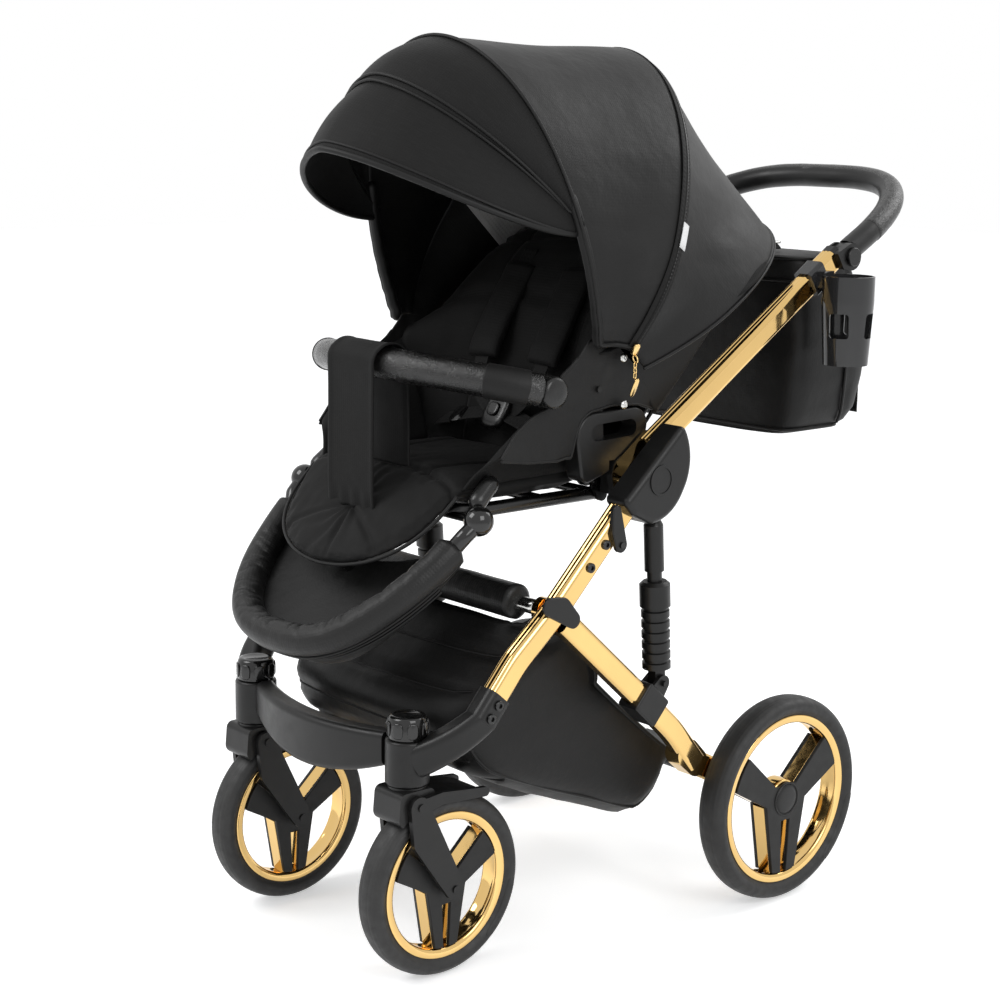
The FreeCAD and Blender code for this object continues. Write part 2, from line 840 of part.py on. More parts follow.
def make_joint_covers():
    """The moulded covers outside both fold joints, hollow for the main tube and the strut head."""
    x0 = mm("cover_inner_x")
    x1 = mm("cover_outer_x")
    reach = mm("cover_reach")

    def spot(along, above):
        return cover_point(along * reach, above * reach, x0)

    top = HALF_DEPTH + tube_rise + mm("cover_wall")
    nose = cover_point(-reach, top + 4, x0)
    shoulder = cover_point(reach * 1.3, top - 5, x0)
    outline = Part.Wire([
        Part.LineSegment(nose, shoulder).toShape(),
        Part.Arc(shoulder, spot(1.0, -0.34), spot(0.27, -0.77)).toShape(),
        Part.Arc(spot(0.27, -0.77), spot(-0.35, -0.78), spot(-0.82, -0.52)).toShape(),
        Part.LineSegment(spot(-0.82, -0.52), spot(-1.03, 0.07)).toShape(),
        Part.LineSegment(spot(-1.03, 0.07), nose).toShape(),
    ])
    body = Part.Face(outline).extrude(Vector(x1 - x0, 0, 0))
    uprights = [e for e in body.Edges if abs(e.Length - (x1 - x0)) < 1e-3
                and abs(e.tangentAt(e.FirstParameter).x) > 0.99]
    body = body.makeFillet(mm("cover_corner"), uprights)
    rim = [e for e in body.Edges if e.BoundBox.XMin > x1 - 1e-3]
    body = body.makeFillet(mm("cover_edge"), rim)
    badge = x_rod(FOLD.y, FOLD.z, mm("badge_radius"), x1 - 2, x1 + mm("badge_height"))
    dish = x_rod(FOLD.y, FOLD.z, mm("badge_radius") - 3, x1 + mm("badge_height") / 3, x1 + 5)
    body = body.fuse(badge).cut(dish)
    body = body.cut(main_tube_shape(GAP))
    # room for the strut head, open below and on the inner side
    room = mm("strut_rod_radius") + mm("strut_room")
    head_top = STRUT_HEAD + unit(STRUT_FOOT, STRUT_HEAD) * (mm("strut_eye_radius") + mm("strut_room"))
    foot = at_x(STRUT_FOOT, TUBE_X)
    shaft = Part.makeCylinder(room, (head_top - STRUT_FOOT).Length, foot, unit(STRUT_FOOT, STRUT_HEAD))
    slot = Part.makeBox(TUBE_X - x0 + 5, 2 * room, (head_top - STRUT_FOOT).Length,
                        Vector(x0 - 5, -room, 0))
    slot.Placement = Placement(STRUT_FOOT, Rotation(Vector(0, 0, 1), unit(STRUT_FOOT, STRUT_HEAD)))
    body = body.cut(shaft).cut(slot)
    pin = x_rod(STRUT_HEAD.y, STRUT_HEAD.z, mm("strut_pin_radius"), x0 + 1, TUBE_X + room + 1)
    body = joined([body, pin])
    left = keep(feature("joint_cover", body), "joint_cover_left")
    mirrored(left, "joint_cover_right")


def make_joint_hubs():
    """The inner hubs: the fold pin, its plate and the socket that takes the seat's tongue."""
    x0 = mm("hub_plate_x")
    x1 = UPPER_X - HALF_TUBE - mm("side_gap")
    plate = belt_plate([(FOLD.y, FOLD.z, mm("hub_plate_radius")),
                        (FOLD.y, FOLD.z - mm("socket_drop"), mm("hub_plate_radius") * 0.7)], x0, x1)
    pin = x_rod(FOLD.y, FOLD.z, mm("fold_pin_radius"), x1 - 1, mm("cover_inner_x") - GAP)
    depth = mm("tongue_depth")
    wall = mm("socket_wall")
    half_y = mm("tongue_length") / 2
    half_x = mm("tongue_thick") / 2
    top = mm("tongue_top_z")
    centre = mm("tongue_x")
    block = Part.makeBox(x0 - centre + half_x + wall + 0.5, 2 * (half_y + wall), depth + wall,
                         Vector(centre - half_x - wall, FOLD.y - half_y - wall, top - depth - wall))
    block = block.makeFillet(3.0, [e for e in block.Edges if abs(e.tangentAt(0).z) > 0.9])
    hole = Part.makeBox(2 * (half_x + GAP), 2 * (half_y + GAP), depth + 1,
                        Vector(centre - half_x - GAP, FOLD.y - half_y - GAP, top - depth))
    left = joined([joined([plate, pin, block]).cut(hole)])
    keep(feature("joint_hubs", both_sides(left)), "joint_hubs")


def make_leg_hinge_covers():
    """Moulded shields outside both leg hinges."""
    x0 = TUBE_X + HALF_TUBE + GAP
    drop = mm("shield_radius")
    low = LEG_PIVOT + Vector(0, 22, -11)
    high = LEG_PIVOT + Vector(0, -18, 12)
    plate = belt_plate([(low.y, low.z, drop * 0.45), (LEG_PIVOT.y, LEG_PIVOT.z + 4, drop * 0.75),
                        (high.y, high.z, drop * 0.5)], x0, x0 + mm("shield_thick"))
    plate = plate.makeChamfer(1.2, [e for e in plate.Edges if e.BoundBox.XMin > x0 + 1])
    keep(feature("leg_hinge_covers", both_sides(plate)), "leg_hinge_covers")


# --------------------------------------------------------------------------------------
# Front cross bow, caster barrels and the elbows that hold the main tubes
# --------------------------------------------------------------------------------------
def rounded_rect(centre, along, across, wide, tall, corner):
    """A rounded rectangle square to `along`, `wide` measured in the direction `across`."""
    up = along.cross(across).normalize()
    half_w, half_t = wide / 2 - corner, tall / 2 - corner
    edges = []
    corners = [(half_w, half_t), (-half_w, half_t), (-half_w, -half_t), (half_w, -half_t)]
    for i, (a, b) in enumerate(corners):
        middle = centre + across * a + up * b
        turn = math.pi / 2 * i
        points = []
        for share in (0.0, 0.5, 1.0):
            angle = turn + share * math.pi / 2
            points.append(middle + across * (corner * math.cos(angle)) + up * (corner * math.sin(angle)))
        edges.append(Part.Arc(*points).toShape())
    lines = []
    for i in range(4):
        start = edges[i].Vertexes[-1].Point
        finish = edges[(i + 1) % 4].Vertexes[0].Point
        lines.append(edges[i])
        lines.append(Part.LineSegment(start, finish).toShape())
    return Part.Wire(lines)


def loft(sections):
    """A smooth solid through closed sections."""
    return Part.makeLoft(sections, True, False)


def make_front_bow():
    """The deep moulded bow between the two caster barrels, arched up in the middle."""
    half = CASTER.x - mm("barrel_radius") - GAP
    forward = CASTER.y - mm("bow_forward")
    sections = []
    for share in (-1.0, -0.55, 0.0, 0.55, 1.0):
        swell = 1 - share * share
        centre = Vector(half * share, CASTER.y - 4 + (forward - CASTER.y + 4) * swell,
                        mm("bow_z") - mm("bow_drop") * swell)
        tall = mm("bow_end_height") + (mm("bow_mid_height") - mm("bow_end_height")) * swell
        sections.append(rounded_rect(centre, Vector(1, 0, 0), Vector(0, 1, 0), mm("bow_thick"), tall, 9.0))
    bow = loft(sections)
    keep(feature("front_bow", bow), "front_bow")


def make_caster_barrels():
    """The upright caster barrels, each with an elbow that takes the foot of the main tube."""
    radius = mm("barrel_radius")
    bottom = mm("barrel_bottom_z")
    top = mm("barrel_top_z")
    barrel = Part.makeCylinder(radius, top - bottom, Vector(CASTER.x, CASTER.y, bottom))
    barrel = barrel.makeFillet(4.0, [e for e in barrel.Edges if isinstance(e.Curve, Part.Circle)])
    first = (TUBE_BEND - SOCKET).normalize()
    mouth = at_x(SOCKET + first * mm("socket_grip"), TUBE_X)
    sleeve = mm("socket_wall") * 2
    wide = mm("tube_width") + sleeve
    tall = mm("tube_depth") + sleeve
    corner = mm("tube_corner") + mm("socket_wall")
    foot = at_x(SOCKET - first * 12, TUBE_X)
    sleeve_part = loft([rounded_rect(foot, first, Vector(1, 0, 0), wide, tall, corner),
                        rounded_rect(mouth, first, Vector(1, 0, 0), wide, tall, corner)])
    low = Vector(CASTER.x + radius * 0.55, CASTER.y, (bottom + top) / 2 + 3)
    mid = Vector(TUBE_X - 22, (CASTER.y + foot.y) / 2 - 4, (low.z + foot.z) / 2 - 2)
    way_low = (mid - low).normalize()
    way_mid = (foot - low).normalize()
    flat_low = way_low.cross(Vector(0, 0, 1)).normalize()
    flat_mid = way_mid.cross(Vector(0, 0, 1)).normalize()
    elbow = loft([rounded_rect(low, way_low, flat_low, tall * 0.8, wide * 1.35, corner),
                  rounded_rect(mid, way_mid, (flat_mid + Vector(1, 0, 0)).normalize()
                               if flat_mid.x > 0 else (Vector(1, 0, 0) - flat_mid).normalize(),
                               tall * 0.9, wide * 1.25, corner),
                  rounded_rect(foot + first * 2, first, Vector(1, 0, 0), wide, tall, corner)])
    whole = joined([barrel, elbow, sleeve_part])
    whole = whole.cut(main_tube_shape(GAP))
    pin_bore = Part.makeCylinder(mm("swivel_pin_radius") + mm("running_gap"), top - bottom + 2,
                                 Vector(CASTER.x, CASTER.y, bottom - 1))
    whole = whole.cut(pin_bore)
    whole = whole.cut(Part.makeCylinder(radius + mm("side_gap"), 4 * radius, Vector(CASTER.x, CASTER.y, top)))
    left = keep(feature("caster_barrel", joined([whole])), "caster_barrel_left")
    mirrored(left, "caster_barrel_right")


# --------------------------------------------------------------------------------------
# Rear legs with their shock absorber struts
# --------------------------------------------------------------------------------------
LEG_DIR = unit(LEG_PIVOT, Vector(0, mm("leg_end_y"), mm("leg_end_z")))
STRUT_DIR = unit(STRUT_FOOT, STRUT_HEAD)


def make_rear_legs():
    """The rear legs: hinge eye, tube with a gentle S, and the moulded arm down to the axle."""
    knee = LEG_PIVOT + LEG_DIR * mm("leg_knee_run") + side_normal(LEG_DIR) * mm("leg_knee_rise")
    low_knee = LEG_END - LEG_DIR * mm("leg_foot_run") + side_normal(LEG_DIR) * mm("leg_foot_rise")
    start = LEG_PIVOT + unit(LEG_PIVOT, knee) * (HALF_DEPTH + mm("leg_clearance"))
    points = [at_x(p, TUBE_X) for p in (start, knee, low_knee, LEG_END)]
    tube = frame_tube(points, [mm("leg_radius"), mm("leg_radius")])
    eye_x1 = TUBE_X - HALF_TUBE - mm("side_gap")
    eye_x0 = eye_x1 - mm("leg_eye_thick")
    tail = LEG_PIVOT + unit(LEG_PIVOT, knee) * mm("leg_tail_run")
    eye = belt_plate([(LEG_PIVOT.y, LEG_PIVOT.z, mm("leg_eye_radius")),
                      (tail.y, tail.z, HALF_DEPTH * 0.8)], eye_x0, eye_x1)
    lip = belt_plate([(tail.y, tail.z, HALF_DEPTH * 0.8),
                      (tail.y + LEG_DIR.y * 14, tail.z + LEG_DIR.z * 14, HALF_DEPTH * 0.7)][::-1],
                     eye_x1 - 2, TUBE_X - 3)
    axle_y, axle_z = REAR_AXLE.y, REAR_AXLE.z
    boot = belt_plate([(LEG_END.y, LEG_END.z, HALF_DEPTH + mm("socket_wall") - 1),
                       (LEG_END.y - LEG_DIR.y * 24, LEG_END.z - LEG_DIR.z * 24,
                        HALF_DEPTH + mm("socket_wall"))][::-1], TUBE_X - HALF_TUBE - mm("socket_wall"),
                      mm("rear_arm_face_x"))
    arm = belt_plate([(LEG_END.y, LEG_END.z, HALF_DEPTH + 1), (axle_y, axle_z, mm("axle_boss_radius"))],
                     TUBE_X - HALF_TUBE - mm("socket_wall"), mm("rear_arm_face_x") - 4)
    arm = arm.makeChamfer(3.0, [e for e in arm.Edges if e.BoundBox.XMin > mm("rear_arm_face_x") - 5])
    bore = mm("bar_radius") + mm("running_gap")
    leg = joined([tube, lip, eye, boot, arm])
    leg = drill(leg, LEG_PIVOT.y, LEG_PIVOT.z, bore, eye_x0 - 1, eye_x1 + 1)
    leg = drill(leg, axle_y, axle_z, mm("axle_tube_radius") + GAP, TUBE_X - 30, TUBE_X - HALF_TUBE + 4)
    leg = drill(leg, axle_y, axle_z, mm("axle_radius") + GAP, TUBE_X - 30, TUBE_X + 30)
    left = keep(feature("rear_leg", leg), "rear_leg_left")
    mirrored(left, "rear_leg_right")


def make_rear_axle():
    """The rear cross tube with a thinner stub for each wheel."""
    body = doc.addObject("PartDesign::Body", "rear_axle")
    tube_end = size("lower_plane_x") - size("tube_width") / 2 + 4 - size("seat_gap")
    stub_end = size("rear_wheel_x") + size("stub_past_wheel")
    pad(body, "axle_tube", circle_sketch(body, "tube_round", "YZ_Plane",
        [(size("rear_axle_y"), size("rear_wheel_radius"), size("axle_tube_radius"))]),
        tube_end * 2, midplane=True)
    pad(body, "axle_stubs", circle_sketch(body, "stub_round", "YZ_Plane",
        [(size("rear_axle_y"), size("rear_wheel_radius"), size("axle_radius"))]),
        stub_end * 2, midplane=True)
    doc.recompute()
    keep(body, "rear_axle")


def make_strut_clamps():
    """The clamps round the rear legs that carry the feet of the struts."""
    away = side_normal(LEG_DIR)
    wall = mm("clamp_wall")
    x0 = TUBE_X - HALF_TUBE - wall
    x1 = TUBE_X + HALF_TUBE + wall
    lean = mm("clamp_length") / 2
    knee = LEG_PIVOT + LEG_DIR * mm("leg_knee_run") + away * mm("leg_knee_rise")
    low_knee = LEG_END - LEG_DIR * mm("leg_foot_run") + away * mm("leg_foot_rise")
    heading = unit(knee, low_knee)
    square = side_normal(heading)
    base = knee + heading * (STRUT_FOOT - knee).dot(heading)
    band = Part.makeBox(x1 - x0, 2 * lean, 2 * (HALF_DEPTH + wall), Vector(x0, -lean, -HALF_DEPTH - wall))
    band = band.makeFillet(4.0, [e for e in band.Edges if abs(e.tangentAt(0).x) > 0.9])
    band = band.makeFillet(3.0, [e for e in band.Edges if e.BoundBox.XMin > x1 - 0.01])
    band.Placement = Placement(base, Rotation(Vector(0, 1, 0), heading))
    reach = mm("strut_eye_radius") + 2
    ears = []
    inner = mm("strut_eye_half") + mm("side_gap")
    for x in (TUBE_X - inner - mm("clamp_ear"), TUBE_X + inner):
        foot_at = base + square * HALF_DEPTH
        ears.append(belt_plate([(foot_at.y, foot_at.z, reach * 1.3), (STRUT_FOOT.y, STRUT_FOOT.z, reach)],
                               x, x + mm("clamp_ear")))
    pin = x_rod(STRUT_FOOT.y, STRUT_FOOT.z, mm("strut_pin_radius"), x0, x1)
    clamp = joined([band] + ears)
    slot = x_rod(STRUT_FOOT.y, STRUT_FOOT.z, mm("strut_eye_radius") + 3, TUBE_X - inner, TUBE_X + inner)
    leg_points = [at_x(p, TUBE_X) for p in (LEG_PIVOT + unit(LEG_PIVOT, knee) * 30, knee, low_knee, LEG_END)]
    clamp = clamp.cut(slot)
    clamp = clamp.cut(frame_tube(leg_points, [mm("leg_radius"), mm("leg_radius")], GAP))
    clamp = joined([clamp, pin])
    keep(feature("strut_clamps", both_sides(clamp)), "strut_clamps")


def along_strut(run, x=None):
    """A point on the strut's axis, measured up from its foot."""
    return at_x(STRUT_FOOT + STRUT_DIR * run, TUBE_X if x is None else x)


def strut_turn(profile):
    """A solid turned about the strut's axis from (radius, run) points."""
    out = Vector(0, -STRUT_DIR.z, STRUT_DIR.y)
    points = [along_strut(run) + out * radius for radius, run in profile]
    face = Part.Face(Part.makePolygon(points + points[:1]))
    return face.revolve(along_strut(0), STRUT_DIR, 360)


def make_struts():
    """The ribbed strut sleeves with their eyes and collars, and the rods that slide in them."""
    sleeve_r = mm("strut_sleeve_radius")
    bore = mm("strut_rod_radius") + mm("running_gap")
    start = mm("strut_sleeve_start")
    end = mm("strut_sleeve_end")
    pitch = (end - start) / mm("strut_ribs")
    outer = []
    for k in range(int(mm("strut_ribs"))):
        low = start + k * pitch
        outer += [(sleeve_r, low), (sleeve_r, low + pitch * 0.6),
                  (sleeve_r - 2.5, low + pitch * 0.7), (sleeve_r - 2.5, low + pitch * 0.95)]
    collar = end + mm("strut_collar")
    outer += [(sleeve_r + 1.5, end), (sleeve_r + 1.5, collar - 4), (sleeve_r - 3, collar)]
    floor = start + mm("strut_floor")
    profile = [(0, start)] + outer + [(bore, collar), (bore, floor), (0, floor)]
    sleeve = strut_turn(profile)
    half = mm("strut_eye_half")
    eye_r = mm("strut_eye_radius")
    neck = along_strut(start + 1)
    eye = belt_plate([(STRUT_FOOT.y, STRUT_FOOT.z, eye_r), (neck.y, neck.z, eye_r)],
                     TUBE_X - half, TUBE_X + half)
    sleeve = joined([sleeve, eye])
    sleeve = drill(sleeve, STRUT_FOOT.y, STRUT_FOOT.z, mm("strut_pin_radius") + mm("running_gap"),
                   TUBE_X - half - 1, TUBE_X + half + 1)
    keep(feature("strut_sleeves", both_sides(sleeve)), "strut_sleeves")

    length = (STRUT_HEAD - STRUT_FOOT).Length
    low_end = start + mm("strut_floor") + mm("strut_stroke_room")
    rod = Part.makeCylinder(mm("strut_rod_radius"), length - low_end, along_strut(low_end), STRUT_DIR)
    head = belt_plate([(STRUT_HEAD.y, STRUT_HEAD.z, eye_r),
                       (along_strut(length - 8).y, along_strut(length - 8).z, eye_r)],
                      TUBE_X - half, TUBE_X + half)
    boot = strut_turn([(0, collar + mm("strut_show")), (mm("strut_tube_radius"), collar + mm("strut_show")),
                       (mm("strut_tube_radius"), length - 28), (mm("strut_rod_radius"), length - 22),
                       (0, length - 22)])
    rod = joined([rod, head, boot])
    rod = drill(rod, STRUT_HEAD.y, STRUT_HEAD.z, mm("strut_pin_radius") + mm("strut_pin_room"),
                TUBE_X - mm("strut_sleeve_radius"), TUBE_X + mm("strut_sleeve_radius"))
    keep(feature("strut_rods", both_sides(rod)), "strut_rods")


def make_brake_pedal():
    """The brake pedal that turns on the rear axle's cross tube, near its middle."""
    body_half = mm("pedal_half_width")
    hub_r = mm("axle_tube_radius") + mm("pedal_wall")
    hub = x_rod(REAR_AXLE.y, REAR_AXLE.z, hub_r, -body_half, body_half)
    tip = REAR_AXLE + Vector(0, math.cos(math.radians(mm("pedal_deg"))),
                             math.sin(math.radians(mm("pedal_deg")))) * mm("pedal_reach")
    plate = belt_plate([(REAR_AXLE.y, REAR_AXLE.z, hub_r * 0.7), (tip.y, tip.z, mm("pedal_tip_radius"))],
                       -body_half, body_half)
    whole = joined([hub, plate])
    whole = whole.makeFillet(2.0, [e for e in whole.Edges if abs(abs(e.BoundBox.XMin) - body_half) < 0.01
                                   and abs(e.BoundBox.XLength) < 0.01 and e.Length > 20])
    whole = drill(whole, REAR_AXLE.y, REAR_AXLE.z, mm("axle_tube_radius") + mm("running_gap"),
                  -body_half - 1, body_half + 1)
    keep(feature("brake_pedal", whole), "brake_pedal")


# --------------------------------------------------------------------------------------
# Wheels
# --------------------------------------------------------------------------------------
def place_wheel(body, end):
    """Puts a wheel body, drawn about the X axis at the origin, on its axle on the left side."""
    if end == "rear":
        bind_place(body, size("rear_wheel_x"), size("rear_axle_y"), size("rear_wheel_radius"))
    else:
        bind_place(body, size("caster_x"), size("front_axle_y"), size("front_wheel_radius"))


def wheel_section(body, name, corners, arcs):
    """A section through the wheel, drawn as (across, radius), some sides as arcs through a point."""
    sketch = new_sketch(body, name, "XZ_Plane")
    count = len(corners)
    for i, (a, b) in enumerate(corners):
        c, d = corners[(i + 1) % count]
        start, finish = Vector(float(a), float(b), 0), Vector(float(c), float(d), 0)
        if i in arcs:
            middle = Vector(float(arcs[i][0]), float(arcs[i][1]), 0)
            sketch.addGeometry(Part.Arc(start, middle, finish))
        else:
            sketch.addGeometry(Part.LineSegment(start, finish))
    ends = [arc_ends(sketch.Geometry[i], corners[i]) for i in range(count)]
    for i in range(count):
        after = (i + 1) % count
        sketch.addConstraint(Sketcher.Constraint("Coincident", i, ends[i][1], after, ends[after][0]))
    for i, (a, b) in enumerate(corners):
        pin_point(sketch, i, ends[i][0], a, b)
    for i in arcs:
        sketch.addConstraint(Sketcher.Constraint("Radius", i, sketch.Geometry[i].Radius))
    return sketch


def arc_ends(edge, corner):
    """The sketch's numbers for the start and end of a side, whichever way its arc runs."""
    first = edge.StartPoint
    forward = abs(first.x - float(corner[0])) + abs(first.y - float(corner[1])) < 1e-6
    return (1, 2) if forward else (2, 1)


def make_tyre(end, ring, radius, width):
    """An air tyre: beads between the rim's flanges, shoulders over them and a round crown."""
    node = "%s_tyre_left" % end
    body = doc.addObject("PartDesign::Body", node)
    bead = size("ring_half_width") - size("ring_wall") - size("seat_gap")
    seat = ring - size("ring_face") + size("ring_wall") + size("seat_gap")
    over = ring + size("seat_gap")
    half = width / 2
    shoulder = over + size("tyre_shoulder")
    corners = [(-bead, seat), (bead, seat), (bead, over), (half - 3, over), (half, shoulder),
               (-half, shoulder), (3 - half, over), (-bead, over)]
    sketch = wheel_section(body, node + "_section", corners, {4: (0.0, radius)})
    revolve(body, node + "_turn", sketch, "H_Axis")
    place_wheel(body, end)
    doc.recompute()
    keep(body, node)
    mirrored(body, node.replace("left", "right"))


def star_edges(reach):
    """The straight edges of the spoke star on its left half, each from the hub out to the ring."""
    shoulder = (reach * size("star_shoulder_v"), reach * size("star_shoulder_w"))
    waist = (reach * size("star_waist_v"), reach * size("star_waist_w"))
    upper = (reach * size("star_upper_v"), reach * size("star_upper_w"))
    side = (reach * size("star_side_v"), reach * size("star_side_w"))
    foot = (reach * size("star_foot_v"), reach * size("star_foot_w"))
    return [(shoulder, upper), (waist, side), (waist, foot)]


def along_edge(edge, share):
    """The point at a share of an edge's length, past its end where the share is over one."""
    (a, b), (c, d) = edge
    return (a + (c - a) * share, b + (d - b) * share)


def thin_strip(start, finish, wall):
    """The four corners of a thin upright wall that runs between two points."""
    run_a = float(finish[0]) - float(start[0])
    run_b = float(finish[1]) - float(start[1])
    length = math.hypot(run_a, run_b)
    off_a = wall * (run_b / length)
    off_b = wall * (-run_a / length)
    return [start, finish, (finish[0] + off_a, finish[1] + off_b), (start[0] + off_a, start[1] + off_b)]


def make_rim(end, ring):
    """The bright ring: a channel for the tyre, the hub sleeve and thin walls behind the star's edges."""
    node = "%s_rim_left" % end
    body = doc.addObject("PartDesign::Body", node)
    half = size("ring_half_width")
    wall = size("ring_wall")
    low = ring - size("ring_face")
    corners = [(-half, low), (half, low), (half, ring), (half - wall, ring), (half - wall, low + wall),
               (wall - half, low + wall), (wall - half, ring), (-half, ring)]
    revolve(body, node + "_channel", wheel_section(body, node + "_section", corners, {}), "H_Axis")
    hub_end = size("hub_floor") - size("seat_gap")
    sleeve = circle_sketch(body, node + "_sleeve_round", "YZ_Plane", [(0.0, 0.0, size("sleeve_radius"))])
    pad(body, node + "_sleeve", sleeve, half, reverse=True)
    sleeve_out = circle_sketch(body, node + "_boss_round", "YZ_Plane", [(0.0, 0.0, size("sleeve_radius"))])
    pad(body, node + "_boss", sleeve_out, hub_end)
    reach = low - size("seat_gap")
    out = 1 + float(wall / 2) / float(reach)
    strip = size("rib_wall")
    shoulder_edge, side_edge, foot_edge = star_edges(reach)
    root = mm("rib_root")
    walls = [("upper", shoulder_edge, entry_share(shoulder_edge, root), out),
             ("side", side_edge, entry_share(side_edge, root), out),
             ("foot", foot_edge, 0.0, out + 0.01)]
    for name, edge, first, last in walls:
        for side, sign in (("a", 1.0), ("b", -1.0)):
            ends = [(p[0] * sign, p[1]) for p in (along_edge(edge, first), along_edge(edge, last))]
            quad = thin_strip(ends[0], ends[1], strip * (-sign if name != "foot" else sign))
            sketch = outline_sketch(body, "%s_%s_%s_outline" % (node, name, side), "YZ_Plane", quad)
            sketch.AttachmentOffset = Placement(Vector(0, 0, float(hub_end)), Rotation())
            sketch.setExpression("AttachmentOffset.Base.z", hub_end.text)
            pad(body, "%s_%s_%s" % (node, name, side), sketch, size("rib_depth"), reverse=True)
    bore = size("axle_radius") + size("running_gap")
    pocket(body, node + "_bore", circle_sketch(body, node + "_bore_round", "YZ_Plane", [(0.0, 0.0, bore)]),
           half * 2 + 2, midplane=True)
    place_wheel(body, end)
    doc.recompute()
    keep(body, node)
    mirrored(body, node.replace("left", "right"))


def entry_share(edge, radius):
    """The share, below zero, at which an edge drawn on inwards comes within a radius of the hub."""
    start = Vector(float(edge[0][0]), float(edge[0][1]), 0)
    run = Vector(float(edge[1][0]), float(edge[1][1]), 0) - start
    share = 0.0
    while (start + run * share).Length > radius and share > -1.0:
        share -= 0.01
    return share


def make_spokes(end, ring, bored):
    """The dark spoke star: a hub, two upper arms and a wide lower one that is slotted down its middle."""
    node = "%s_spokes_left" % end
    body = doc.addObject("PartDesign::Body", node)
    floor = size("hub_floor")
    reach = ring - size("ring_face") - size("seat_gap")
    past = size("star_overrun")
    shoulder_edge, side_edge, foot_edge = star_edges(reach)
    half = [shoulder_edge[0], along_edge(shoulder_edge, past), along_edge(side_edge, past), side_edge[0],
            along_edge(foot_edge, past)]
    corners = half + [(-a, b) for a, b in reversed(half)]
    star = outline_sketch(body, node + "_star_outline", "YZ_Plane", corners)
    pad(body, node + "_star", star, floor + size("spoke_plate"))
    hub = circle_sketch(body, node + "_hub_round", "YZ_Plane", [(0.0, 0.0, size("hub_radius"))])
    pad(body, node + "_hub", hub, size("ring_half_width") - 1)
    trim = circle_sketch(body, node + "_trim_rounds", "YZ_Plane",
                         [(0.0, 0.0, reach), (0.0, 0.0, reach * size("star_overrun") * 2)])
    pocket(body, node + "_trim", trim, size("ring_half_width"), reverse=True)
    slot_half, slot_foot = reach * size("star_slot_half"), reach * size("star_slot_foot")
    slot_top = -reach * size("star_slot_top")
    slot = outline_sketch(body, node + "_slot_outline", "YZ_Plane",
                          [(-slot_half, slot_top), (slot_half, slot_top),
                           (slot_foot, -reach - 5), (-slot_foot, -reach - 5)])
    pocket(body, node + "_slot", slot, size("ring_half_width"), reverse=True)
    cut = circle_sketch(body, node + "_back_round", "YZ_Plane", [(0.0, 0.0, ring)])
    pocket(body, node + "_back", cut, floor, reverse=True)
    bore = size("cap_radius") + size("cap_gap") if bored else size("axle_radius") + size("running_gap")
    hole = circle_sketch(body, node + "_bore_round", "YZ_Plane", [(0.0, 0.0, bore)])
    if bored:
        hole.AttachmentOffset = Placement(Vector(0, 0, float(floor + size("cap_floor"))), Rotation())
        hole.setExpression("AttachmentOffset.Base.z", (floor + size("cap_floor")).text)
    pocket(body, node + "_bore", hole, size("ring_half_width") * 2, reverse=True)
    place_wheel(body, end)
    doc.recompute()
    keep(body, node)
    mirrored(body, node.replace("left", "right"))


def make_wheel_cap():
    """The push cap in each rear hub that frees the wheel from its stub."""
    node = "rear_wheel_cap_left"
    body = doc.addObject("PartDesign::Body", node)
    base = size("hub_floor") + size("cap_floor") + size("cap_travel") + size("seat_gap")
    disc = circle_sketch(body, "cap_round", "YZ_Plane", [(0.0, 0.0, size("cap_radius"))])
    disc.setExpression("AttachmentOffset.Base.z", base.text)
    pad(body, "cap_disc", disc, size("ring_half_width") - base)
    doc.recompute()
    outer = edges_where(body, lambda e, m: m.x > float(size("ring_half_width")) - 0.01)
    round_edges(body, "cap_edge", outer, size("cap_edge"))
    place_wheel(body, "rear")
    doc.recompute()
    keep(body, node)
    mirrored(body, "rear_wheel_cap_right")


